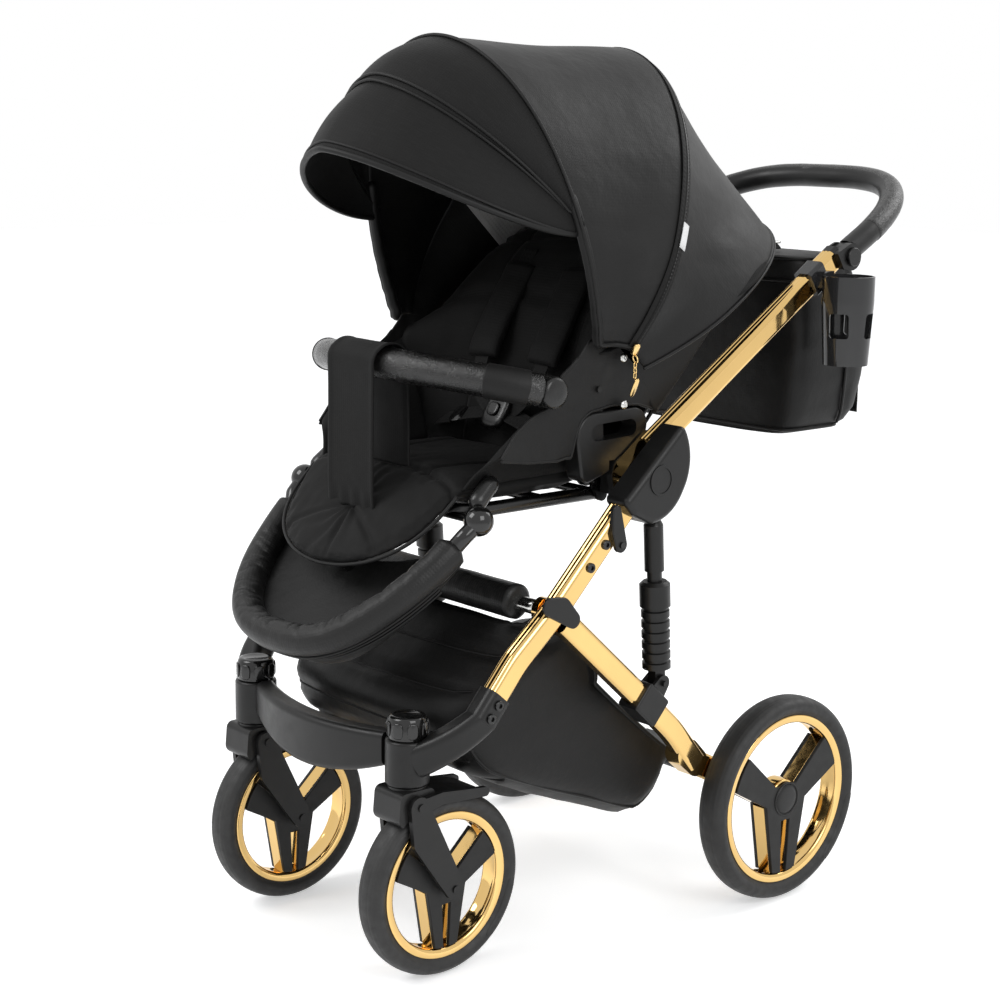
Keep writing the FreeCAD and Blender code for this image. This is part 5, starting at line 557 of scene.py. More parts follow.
# ---- Finishes ----
class Shader:
    """A short way to lay out the nodes of one material."""

    def __init__(self, name: str) -> None:
        """Starts an empty material with its surface shader."""
        self.material = bpy.data.materials.new(name)
        self.material.use_nodes = True
        self.tree = self.material.node_tree
        self.surface = self.tree.nodes["Principled BSDF"]

    def node(self, kind: str, **inputs: object) -> bpy.types.Node:
        """Adds a node and sets its inputs by name.

        Args:
            kind: the node's type without its ShaderNode prefix.
            inputs: values or sockets, spaces in their names written as underscores.

        Returns:
            The node.
        """
        made = self.tree.nodes.new("ShaderNode" + kind)
        for key, value in inputs.items():
            self.feed(made.inputs[key.replace("_", " ")], value)
        return made

    def feed(self, socket: bpy.types.NodeSocket, value: object) -> None:
        """Sets a socket to a value, or links another socket to it."""
        if isinstance(value, bpy.types.NodeSocket):
            self.tree.links.new(value, socket)
        else:
            socket.default_value = value

    def set(self, **values: object) -> None:
        """Sets the surface shader's own inputs."""
        for key, value in values.items():
            self.feed(self.surface.inputs[key.replace("_", " ")], value)

    def place(self, scale: Point = (1.0, 1.0, 1.0), uv: bool = False) -> bpy.types.NodeSocket:
        """The piece's own coordinates in metres, stretched by a scale."""
        where = self.node("TexCoord")
        mapped = self.node("Mapping", Vector=where.outputs["UV" if uv else "Object"], Scale=scale)
        return mapped.outputs["Vector"]

    def noise(self, scale: float, detail: float = 3.0, rough: float = 0.5,
              vector: Optional[bpy.types.NodeSocket] = None) -> bpy.types.NodeSocket:
        """A noise value at a scale given per metre."""
        made = self.node("TexNoise", Scale=scale, Detail=detail, Roughness=rough)
        self.feed(made.inputs["Vector"], vector or self.place())
        return made.outputs["Fac"]

    def ramp(self, value: bpy.types.NodeSocket, low: float, high: float, out_low: float,
             out_high: float) -> bpy.types.NodeSocket:
        """Maps a value's range to another range, clamped."""
        made = self.node("MapRange", Value=value)
        for key, number in (("From Min", low), ("From Max", high), ("To Min", out_low), ("To Max", out_high)):
            made.inputs[key].default_value = number
        return made.outputs["Result"]

    def mix(self, share: object, first: object, second: object) -> bpy.types.NodeSocket:
        """Mixes two colours."""
        made = self.tree.nodes.new("ShaderNodeMix")
        made.data_type = "RGBA"
        self.feed(made.inputs["Factor"], share)
        self.feed(made.inputs[6], first)
        self.feed(made.inputs[7], second)
        return made.outputs[2]

    def bump(self, height: bpy.types.NodeSocket, distance: float, strength: float = 1.0,
             under: Optional[bpy.types.NodeSocket] = None) -> bpy.types.NodeSocket:
        """Adds a bump of a real depth in metres."""
        made = self.node("Bump", Height=height, Distance=distance, Strength=strength)
        if under is not None:
            self.feed(made.inputs["Normal"], under)
        return made.outputs["Normal"]


def grey(value: float, warm: float = 1.0) -> Colour:
    """A near-neutral linear colour."""
    return (value * warm, value, value / warm, 1.0)


@dataclass(frozen=True)
class Moulded:
    """Moulded black plastic: fine spark-eroded grain, a few rubbed places."""
    name: str
    shade: float = 0.0065
    rough: float = 0.36
    grain: float = 0.00006
    grain_scale: float = 1600.0
    gloss: float = 0.3

    def make(self) -> bpy.types.Material:
        """Makes the material."""
        s = Shader(self.name)
        wide = s.noise(14.0, 4.0)
        s.set(Base_Color=s.mix(s.ramp(wide, 0.35, 0.7, 0.0, 1.0), grey(self.shade * 0.85),
                               grey(self.shade * 1.25, 1.02)))
        rub = s.noise(60.0, 5.0, 0.6)
        s.set(Roughness=s.ramp(rub, 0.3, 0.75, self.rough - 0.06, self.rough + 0.08))
        fine = s.noise(self.grain_scale, 2.0)
        s.set(Normal=s.bump(fine, self.grain), Specular_IOR_Level=self.gloss)
        return s.material


@dataclass(frozen=True)
class Metallic:
    """Plated metal with a mirror polish, slightly uneven as plated tube is."""
    name: str
    colour: Colour
    rough: float = 0.05

    def make(self) -> bpy.types.Material:
        """Makes the material."""
        s = Shader(self.name)
        wide = s.noise(9.0, 3.0)
        deep = tuple(c * 0.9 for c in self.colour[:3]) + (1.0,)
        s.set(Base_Color=s.mix(s.ramp(wide, 0.3, 0.7, 0.0, 1.0), self.colour, deep), Metallic=1.0)
        smear = s.noise(30.0, 5.0, 0.65)
        s.set(Roughness=s.ramp(smear, 0.35, 0.8, self.rough, self.rough + 0.07))
        s.set(Normal=s.bump(s.noise(26.0, 2.0), 0.00025))
        return s.material


@dataclass(frozen=True)
class Rubber:
    """Tyre rubber: dark, dusty in places, with a fine skin."""
    name: str
    shade: float = 0.016

    def make(self) -> bpy.types.Material:
        """Makes the material."""
        s = Shader(self.name)
        dust = s.noise(35.0, 6.0, 0.7)
        s.set(Base_Color=s.mix(s.ramp(dust, 0.45, 0.85, 0.0, 1.0), grey(self.shade),
                               grey(self.shade * 2.2, 1.05)))
        s.set(Roughness=s.ramp(s.noise(90.0, 4.0), 0.3, 0.7, 0.48, 0.66))
        s.set(Normal=s.bump(s.noise(900.0, 3.0), 0.00012))
        return s.material


@dataclass(frozen=True)
class Cloth:
    """Coated polyester: a fine two-way weave over soft puckers."""
    name: str
    shade: float = 0.012
    sheen: float = 0.12
    rough: float = 0.62
    thread: float = 1500.0
    weave_depth: float = 0.00012
    pucker: float = 0.0012
    pucker_scale: float = 22.0
    slub: float = 0.0
    gloss: float = 0.22

    def make(self) -> bpy.types.Material:
        """Makes the material."""
        s = Shader(self.name)
        uv = s.place(uv=True)
        warp = s.node("TexWave", Vector=uv, Scale=self.thread / 20, Distortion=0.6, Detail=1.0)
        warp.bands_direction = "X"
        weft = s.node("TexWave", Vector=uv, Scale=self.thread / 20, Distortion=0.6, Detail=1.0)
        weft.bands_direction = "Y"
        cross = s.node("Math", Value=warp.outputs["Fac"])
        cross.operation = "MULTIPLY"
        s.feed(cross.inputs[1], weft.outputs["Fac"])
        wide = s.noise(7.0, 5.0, 0.6)
        low, high = grey(self.shade * 0.75), grey(self.shade * 1.35, 1.03)
        colour = s.mix(s.ramp(wide, 0.3, 0.7, 0.0, 1.0), low, high)
        if self.slub:
            lines = s.noise(1.0, 3.0, 0.6, s.place((40.0, 1400.0, 1.0), uv=True))
            colour = s.mix(s.ramp(lines, 0.5, 0.75, 0.0, self.slub), colour, grey(self.shade * 4.0))
        s.set(Base_Color=colour)
        s.set(Roughness=s.ramp(wide, 0.3, 0.7, self.rough - 0.05, self.rough + 0.08))
        s.set(Sheen_Weight=self.sheen, Sheen_Roughness=0.45, Specular_IOR_Level=self.gloss)
        soft = s.bump(s.noise(self.pucker_scale, 4.0, 0.55), self.pucker)
        s.set(Normal=s.bump(cross.outputs["Value"], self.weave_depth, 1.0, soft))
        return s.material


@dataclass(frozen=True)
class Leather:
    """Grained imitation leather, polished where hands go."""
    name: str
    shade: float = 0.010
    rough: float = 0.34
    grain: float = 420.0

    def make(self) -> bpy.types.Material:
        """Makes the material."""
        s = Shader(self.name)
        cells = s.node("TexVoronoi", Vector=s.place(), Scale=self.grain)
        cells.feature = "DISTANCE_TO_EDGE"
        wide = s.noise(12.0, 4.0)
        s.set(Base_Color=s.mix(wide, grey(self.shade * 0.8), grey(self.shade * 1.4, 1.03)))
        s.set(Roughness=s.ramp(s.noise(45.0, 4.0), 0.3, 0.7, self.rough - 0.05, self.rough + 0.1))
        pores = s.bump(s.ramp(cells.outputs["Distance"], 0.0, 0.25, 0.0, 1.0), 0.00022)
        s.set(Normal=s.bump(s.noise(160.0, 3.0), 0.0003, 0.6, pores))
        return s.material


@dataclass(frozen=True)
class Smoked:
    """Clear smoked plastic of the cup holder, with a light haze."""
    name: str
    colour: Colour = (0.030, 0.030, 0.031, 1.0)

    def make(self) -> bpy.types.Material:
        """Makes the material."""
        s = Shader(self.name)
        s.set(Base_Color=self.colour, Transmission_Weight=0.30, IOR=1.47)
        s.set(Roughness=s.ramp(s.noise(40.0, 4.0), 0.3, 0.8, 0.04, 0.16))
        return s.material


@dataclass(frozen=True)
class Label:
    """A bare woven label."""
    name: str
    shade: float = 0.75

    def make(self) -> bpy.types.Material:
        """Makes the material."""
        s = Shader(self.name)
        s.set(Base_Color=s.mix(s.noise(700.0, 2.0), grey(self.shade), grey(self.shade * 0.85)), Roughness=0.7)
        s.set(Normal=s.bump(s.noise(1800.0, 2.0), 0.0001))
        return s.material


class Finish(Enum):
    """The finishes of the stroller."""
    PLASTIC = Moulded("moulded_black")
    PLASTIC_SATIN = Moulded("satin_black", 0.006, 0.28, 0.00003, gloss=0.4)
    PLASTIC_GLOSS = Moulded("gloss_black", 0.005, 0.12, 0.00001, gloss=0.5)
    FAN = Moulded("matt_black_spoke", 0.009, 0.5, 0.00004, 2200.0)
    GOLD = Metallic("plated_gold", (0.76, 0.51, 0.20, 1.0))
    STEEL = Metallic("bright_steel", (0.62, 0.62, 0.60, 1.0), 0.16)
    DARK_STEEL = Metallic("black_screw", (0.05, 0.05, 0.05, 1.0), 0.25)
    RUBBER = Rubber("tyre_rubber", 0.0075)
    COVER = Cloth("coated_cover", 0.0050, 0.01, 0.50, weave_depth=0.00005, pucker=0.0022, pucker_scale=17.0,
                  gloss=0.24)
    VISOR = Cloth("slubbed_cover", 0.0062, 0.015, 0.62, slub=0.35, gloss=0.15)
    SEAT = Cloth("seat_fabric", 0.0055, 0.015, 0.68, slub=0.2, gloss=0.15)
    ROLL = Cloth("padded_roll", 0.0050, 0.01, 0.44, pucker=0.002, pucker_scale=35.0, gloss=0.3)
    WEBBING = Cloth("webbing", 0.0065, 0.015, 0.66, thread=900.0, weave_depth=0.0003, pucker=0.0002, gloss=0.15)
    # the window mesh's pale grey shade of 0.35 is painted light: it stands in for the backlight that shines
    # through the mesh, which the hood's unlit inside does not get
    MESH = Cloth("window_mesh_painted_backlight", 0.35, 0.05, 0.8, thread=1200.0, weave_depth=0.0004, pucker=0.0004)
    BRASS = Metallic("zip_gold", (0.74, 0.52, 0.22, 1.0), 0.16)
    GRIP = Leather("grip_leather", 0.0055, 0.24)
    SMOKED = Smoked("smoked_clear")
    LABEL = Label("bare_label")

    def material(self) -> bpy.types.Material:
        """The finish's material, made once."""
        return bpy.data.materials.get(self.value.name) or self.value.make()


def dress(obj: Piece, finish: Finish) -> Piece:
    """Gives a piece one finish all over."""
    obj.data.materials.clear()
    obj.data.materials.append(finish.material())
    return obj


def book(obj: Piece, finish: Finish, body: str, slot: str, *nodes: str) -> Piece:
    """Dresses a piece, puts it on its body and hides the solids that it stands for.

    Args:
        obj: the piece.
        finish: its finish.
        body: the body that it moves with.
        slot: not used.
        nodes: the solids that it stands for.

    Returns:
        The piece.
    """
    dress(obj, finish)
    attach(obj, body)
    if nodes:
        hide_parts(*nodes)
    LOG.info("%s on %s", obj.name, body)
    return obj


def declared(obj: Piece, rows: Grid) -> None:
    """Declares a sheet by the size that its cloth is cut to.

    Args:
        obj: the piece.
        rows: the sheet's own points, row by row.
    """

    def run(line: Line) -> float:
        """The length of a line of points."""
        return sum((b - a).length for a, b in zip(line, line[1:]))

    wide = max(run(row) for row in rows)
    long = max(run(column) for column in zip(*rows))
    area = sum((rows[i + 1][j + 1] - rows[i][j]).cross(rows[i + 1][j] - rows[i][j + 1]).length / 2
               for i in range(len(rows) - 1) for j in range(len(rows[0]) - 1))
    area = max(0.31 * wide * long, min(area, 0.999 * wide * long))
    LOG.info("%s: cloth %.3f by %.3f m, %.3f square metres", obj.name, wide, long, area)


def keep_node(node: str, finish: Finish) -> None:
    """Keeps a solid as it is, with a detailed finish."""
    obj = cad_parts[node]
    for k in range(max(1, len(obj.material_slots))):
        if k < len(obj.material_slots):
            obj.material_slots[k].material = finish.material()
        else:
            obj.data.materials.append(finish.material())


# ---- Wheels ----
# the reach and the ring's radius that the star's outline is drawn for
DRAWN_REACH, DRAWN_RING = 0.108, 0.121


@dataclass
class Wheel:
    """One wheel: an air tyre on a plated ring, with gold walls between two dark spoke stars."""
    end: str
    side: str
    centre: Vector
    out: int
    tyre_radius: float
    ring_radius: float
    tyre_width: float
    body: str
    ring_face: float = 0.013
    ring_half: float = 0.017
    star_plate: float = 0.006
    inner_star: bool = True

    def at(self, x: float, u: float, v: float) -> Vector:
        """A point from the outward, rearward and upward distances to the hub."""
        return self.centre + vec(x * self.out, u, v)

    def name(self, part: str) -> str:
        """The name of one of the wheel's pieces."""
        return f"{self.end}_{part}_{self.side}"

    def build(self) -> None:
        """Builds and books every piece of the wheel."""
        self.tyre()
        self.ring()
        self.stars()
        self.hub()

    def tyre(self) -> None:
        """The tyre, with two fine mould lines and a raised bare panel on its wall."""
        r, ring, half = self.tyre_radius, self.ring_radius, self.tyre_width / 2
        seat = ring + 0.0004
        depth = r - seat
        wall = [(0.012, seat - 0.008), (0.0148, seat - 0.004), (0.0148, seat),
                (half * 0.80, seat + depth * 0.10), (half * 0.93, seat + depth * 0.25),
                (half * 0.985, seat + depth * 0.42), (half * 0.97, seat + depth * 0.50),
                (half * 0.985, seat + depth * 0.52), (half * 0.93, seat + depth * 0.66),
                (half * 0.80, seat + depth * 0.80), (half * 0.64, seat + depth * 0.895),
                (half * 0.60, seat + depth * 0.89), (half * 0.56, seat + depth * 0.93),
                (half * 0.36, seat + depth * 0.975), (half * 0.30, seat + depth * 0.96),
                (half * 0.24, seat + depth * 0.99)]
        section = wall + [(0.0, r)] + [(-x, rad) for x, rad in wall[::-1]]
        tyre = lathe_object(self.name("air_tyre"), section, self.centre, steps=96)
        subdivide(tyre, 1)
        book(tyre, Finish.RUBBER, self.body, "tyre", self.name("tyre"))
        for k, middle in enumerate((150.0, 330.0)):
            self.wall_panel(k, middle, half, seat, depth)

    def wall_panel(self, number: int, middle: float, half: float, seat: float, depth: float) -> None:
        """A bare raised panel on the tyre's outer wall."""
        rows = []
        span = 24.0
        for i in range(25):
            t = -1 + 2 * i / 24
            a = radians(middle + span * t)
            fade = (1 - abs(t) ** 6) ** 0.5
            row = []
            for j in range(9):
                s = -1 + 2 * j / 8
                share = 0.45 + 0.28 * s * max(fade, 0.05)
                profile = half * (1.0 - 0.75 * max(0.0, share - 0.45) ** 2 * 2.2
                                  - 0.5 * max(0.0, 0.45 - share) ** 2 * 2.0)
                lift = 0.0006 if abs(s) < 0.95 and abs(t) < 0.97 else -0.001
                x = profile + lift
                rad = seat + depth * share
                row.append(self.at(x, rad * cos(a), rad * sin(a)))
            rows.append(row)
        piece = grid_object(self.name(f"tyre_panel_{number}"), rows)
        book(piece, Finish.RUBBER, self.body, "tyre")

    def ring(self) -> None:
        """The plated ring: a deep polished channel with a rolled outer face."""
        ring, half, low = self.ring_radius, self.ring_half, self.ring_radius - self.ring_face
        section = [(half - 0.0035, ring), (half - 0.001, ring - 0.0006), (half, ring - 0.002),
                   (half - 0.0006, ring - 0.006), (half - 0.0016, low + 0.003), (half - 0.003, low + 0.0008),
                   (half - 0.006, low), (half * 0.4, low + 0.0012), (0.0, low + 0.0016),
                   (-half * 0.4, low + 0.0012), (0.006 - half, low), (0.003 - half, low + 0.0008),
                   (0.0016 - half, low + 0.003), (0.0006 - half, ring - 0.006), (-half, ring - 0.002),
                   (0.001 - half, ring - 0.0006), (0.0035 - half, ring), (-half * 0.6, ring - 0.008),
                   (half * 0.6, ring - 0.008)]
        piece = lathe_object(self.name("ring"), section, self.centre, steps=120)
        subdivide(piece, 1)
        book(piece, Finish.GOLD, self.body, "gold_metal", self.name("rim"))

    def star_outline(self) -> list[tuple[float, float]]:
        """The star's outline as (rearward, upward) pairs about the hub: three arms, the lowest wide."""
        share = (self.ring_radius - self.ring_face) / DRAWN_REACH
        reach = self.ring_radius - self.ring_face - 0.0006
        pts = [(0.020, 0.020)]

        def arm_end(first: float, last: float) -> None:
            """Adds the round end of one arm between two angles."""
            for k in range(7):
                a = radians(first + (last - first) * k / 6)
                pts.append((reach * cos(a) / share, reach * sin(a) / share))

        arm_end(43.5, 16.5)
        pts.append((0.040, -0.005))
        arm_end(-77.5, -102.5)
        pts.append((-0.040, -0.005))
        arm_end(163.5, 136.5)
        pts.append((-0.020, 0.020))
        return [(u * share, v * share) for u, v in pts][::-1]

    def slot_outline(self) -> list[tuple[float, float]]:
        """The slot that parts the lowest arm in two bars."""
        share = self.ring_radius / DRAWN_RING
        low = self.ring_radius - self.ring_face + 0.004
        return [(-0.0085 * share, -0.031 * share), (0.0085 * share, -0.031 * share), (0.0055 * share, -low),
                (-0.0055 * share, -low)]

    def star(self, name: str, x0: float, x1: float) -> Piece:
        """One dark star plate between two planes, its lowest arm slotted."""
        outline = self.star_outline()
        share = self.ring_radius / DRAWN_RING
        bottom = [k for k, p in enumerate(outline) if p[1] < -0.085 * share and abs(p[0]) < 0.04 * share]
        slot = self.slot_outline()
        ring = []
        for k, point in enumerate(outline):
            ring.append(point)
            if k in bottom and k + 1 in bottom and (point[0] <= 0) != (outline[k + 1][0] <= 0):
                near = sorted(slot, key=lambda p: p[1])[:2]
                far = sorted(slot, key=lambda p: p[1])[2:]
                first = -1 if point[0] < 0 else 1
                side_a = next(p for p in near if p[0] * first > 0)
                side_b = next(p for p in far if p[0] * first > 0)
                edge = -sqrt(max(0.0, (point[0] ** 2 + point[1] ** 2) - side_a[0] ** 2))
                ring += [(side_a[0], edge), side_b, (-side_b[0], side_b[1]), (-side_a[0], edge)]
        flat = [(self.centre.y + u, self.centre.z + v)
                for u, v in ring if not (abs(u) < 0.005 * share and v < -0.09 * share)]
        a, b = sorted((self.centre.x + self.out * x0, self.centre.x + self.out * x1))
        piece = plate_object(name, flat, a, b)
        return bevel(piece, 0.0012, 2)

    def stars(self) -> None:
        """The outer and inner star and the plated walls along their arms."""
        top = self.ring_half - 0.001
        floor = top - self.star_plate
        face = self.star(self.name("star"), floor, top)
        book(face, Finish.FAN, self.body, BLACK_PLASTIC, self.name("spokes"))
        if self.inner_star:
            back = self.star(self.name("inner_star"), -top, -floor)
            book(back, Finish.FAN, self.body, BLACK_PLASTIC)
        self.walls(-floor if self.inner_star else -self.ring_half + 0.004, floor)

    def walls(self, x0: float, x1: float) -> None:
        """The plated walls that follow the arms' edges from the hub to the ring."""
        share = (self.ring_radius - self.ring_face) / DRAWN_REACH
        reach = self.ring_radius - self.ring_face + 0.001
        runs = []
        for start, angle in (((0.021, 0.019), 42.3), ((0.0395, -0.004), 17.7), ((0.039, -0.0065), -78.7),
                             ((-0.039, -0.0065), -101.3), ((-0.0395, -0.004), 162.3), ((-0.021, 0.019), 137.7)):
            a = radians(angle)
            runs.append(((start[0] * share, start[1] * share), (reach * cos(a), reach * sin(a))))
        for sign in (-1, 1):
            runs.append(((sign * 0.0105 * share, -0.026 * share), (sign * 0.0078 * share, -reach * 0.997)))
        parts = []
        for a, b in runs:
            along = vec(0, b[0] - a[0], b[1] - a[1]).normalized()
            off = vec(1, 0, 0).cross(along) * 0.0011
            corners = [(a[0] + off.y, a[1] + off.z), (b[0] + off.y, b[1] + off.z), (b[0] - off.y, b[1] - off.z),
                       (a[0] - off.y, a[1] - off.z)]
            lo, hi = sorted((self.centre.x + self.out * x0, self.centre.x + self.out * x1))
            parts.append(plate_object("wall", [(self.centre.y + u, self.centre.z + v) for u, v in corners], lo,
                                      hi))
        piece = join_objects(self.name("plated_walls"), parts)
        bevel(piece, 0.0005, 2)
        book(piece, Finish.GOLD, self.body, "gold_metal")

    def hub(self) -> None:
        """The plated hub sleeve and, on a rear wheel, the dark hub disc with its ring groove, which stands for
        the hub cap.
        """
        top = self.ring_half
        sleeve = [(top - 0.009, 0.012), (top - 0.0055, 0.022), (top - 0.0055, 0.0265), (top - 0.008, 0.0275),
                  (-top + 0.004, 0.0275), (-top + 0.002, 0.0262), (-top + 0.002, 0.012)]
        gold = lathe_object(self.name("hub_sleeve"), [(x * self.out, r) for x, r in sleeve], self.centre,
                            steps=64)
        subdivide(gold, 1)
        book(gold, Finish.GOLD, self.body, "gold_metal")
        if self.end == "rear":
            disc = [(top - 0.006, 0.0), (top - 0.006, 0.0245), (top - 0.0005, 0.0245), (top + 0.0006, 0.0238),
                    (top + 0.0006, 0.0222), (top - 0.0018, 0.0216), (top - 0.0018, 0.0208),
                    (top + 0.0004, 0.0202), (top + 0.0012, 0.012), (top + 0.0014, 0.0)]
            cap = lathe_object(self.name("hub_disc"), [(x * self.out, r) for x, r in disc], self.centre,
                               steps=64, closed=False)
            subdivide(cap, 1)
            book(cap, Finish.PLASTIC, f"rear_wheel_cap_{self.side}", BLACK_PLASTIC,
                 f"rear_wheel_cap_{self.side}")


def build_wheels() -> None:
    """Builds the two rear and two front wheels."""
    for out, side in SIDES:
        Wheel("rear", side, vec(0.268 * out, 0.148, 0.145), out, 0.145, 0.121, 0.046,
              f"rear_wheel_{side}").build()
        Wheel("front", side, vec(0.166 * out, -0.381, 0.120), out, 0.120, 0.097, 0.042,
              f"front_wheel_{side}").build()


KEPT = {
    Finish.PLASTIC: ("front_bow", "caster_barrel_left", "caster_barrel_right", "joint_cover_left",
                     "joint_cover_right", "joint_hubs", "leg_hinge_covers", "strut_clamps", "strut_sleeves",
                     "brake_pedal", "caster_head_left", "caster_head_right", "fork_left", "fork_right",
                     "handle_hinge_left", "handle_hinge_right", "handlebar", "seat_adapters",
                     "fold_latches", "strut_rods", "rear_axle"),
    Finish.PLASTIC_SATIN: ("handle_button_left", "handle_button_right"),
    Finish.GOLD: ("main_tube_left", "main_tube_right", "rear_leg_left", "rear_leg_right",
                  "upper_tube_left", "upper_tube_right"),
    Finish.DARK_STEEL: ("chassis_bolts", "seat_frame"),
    Finish.SMOKED: ("cup_holder",),
}


def keep_solids() -> None:
    """Gives every solid that stays its finish."""
    for finish, nodes in KEPT.items():
        for node in nodes:
            keep_node(node, finish)


# ---- Hood ----
@dataclass(frozen=True)
class Bow:
    """One arch of the hood, standing on the hood's pivot line."""
    degrees: float
    height: float
    half: float
    side_power: float
    top_power: float
    hem: float = 0.062
    pivot_half: float = 0.196
    shoulder: float = 0.45

    def point(self, turn: float) -> Vector:
        """The bow's point at a turn from 0 at the left pivot to 1 at the right one."""
        c, s = cos(pi * turn), sin(pi * turn)
        rise = self.height * s ** (2 / self.top_power)
        x = self.half * abs(c) ** (2 / self.side_power)
        x -= (self.half - self.pivot_half) * max(0.0, 1 - rise / (self.height * self.shoulder)) ** 2
        lean = radians(self.degrees)
        return HOOD_PIVOT + vec(copysign(x, c), -cos(lean) * rise, sin(lean) * rise)

    def line(self, count: int, low: float = 0.0) -> list[Vector]:
        """Even points over the bow from one side to the other, from its hem or from a higher rise."""
        start = max(low, self.hem)
        first = asin((start / self.height) ** (self.top_power / 2)) / pi
        return even_steps([self.point(first + (1 - 2 * first) * k / 240) for k in range(241)], count)


@dataclass(frozen=True)
class Arch:
    """One line of the brow or the visor, which rises ever more steeply as it comes forward."""
    origin: Point
    depth: float
    rise: float
    side_power: float
    front_power: float
    curl: float
    half: float = 0.208
    hem: float = 0.008

    def line(self, count: int) -> list[Vector]:
        """Even points over the arch from the left side to the right."""
        first = asin((self.hem / self.depth) ** (self.front_power / 2))
        fine = []
        for k in range(241):
            angle = first + (pi - 2 * first) * k / 240
            c, s = cos(angle), sin(angle)
            out = s ** (2 / self.front_power)
            across = self.half * copysign(abs(c) ** (2 / self.side_power), c)
            fine.append(Vector(self.origin) + vec(across, -self.depth * out, self.rise * out ** self.curl))
        return even_steps(fine, count)


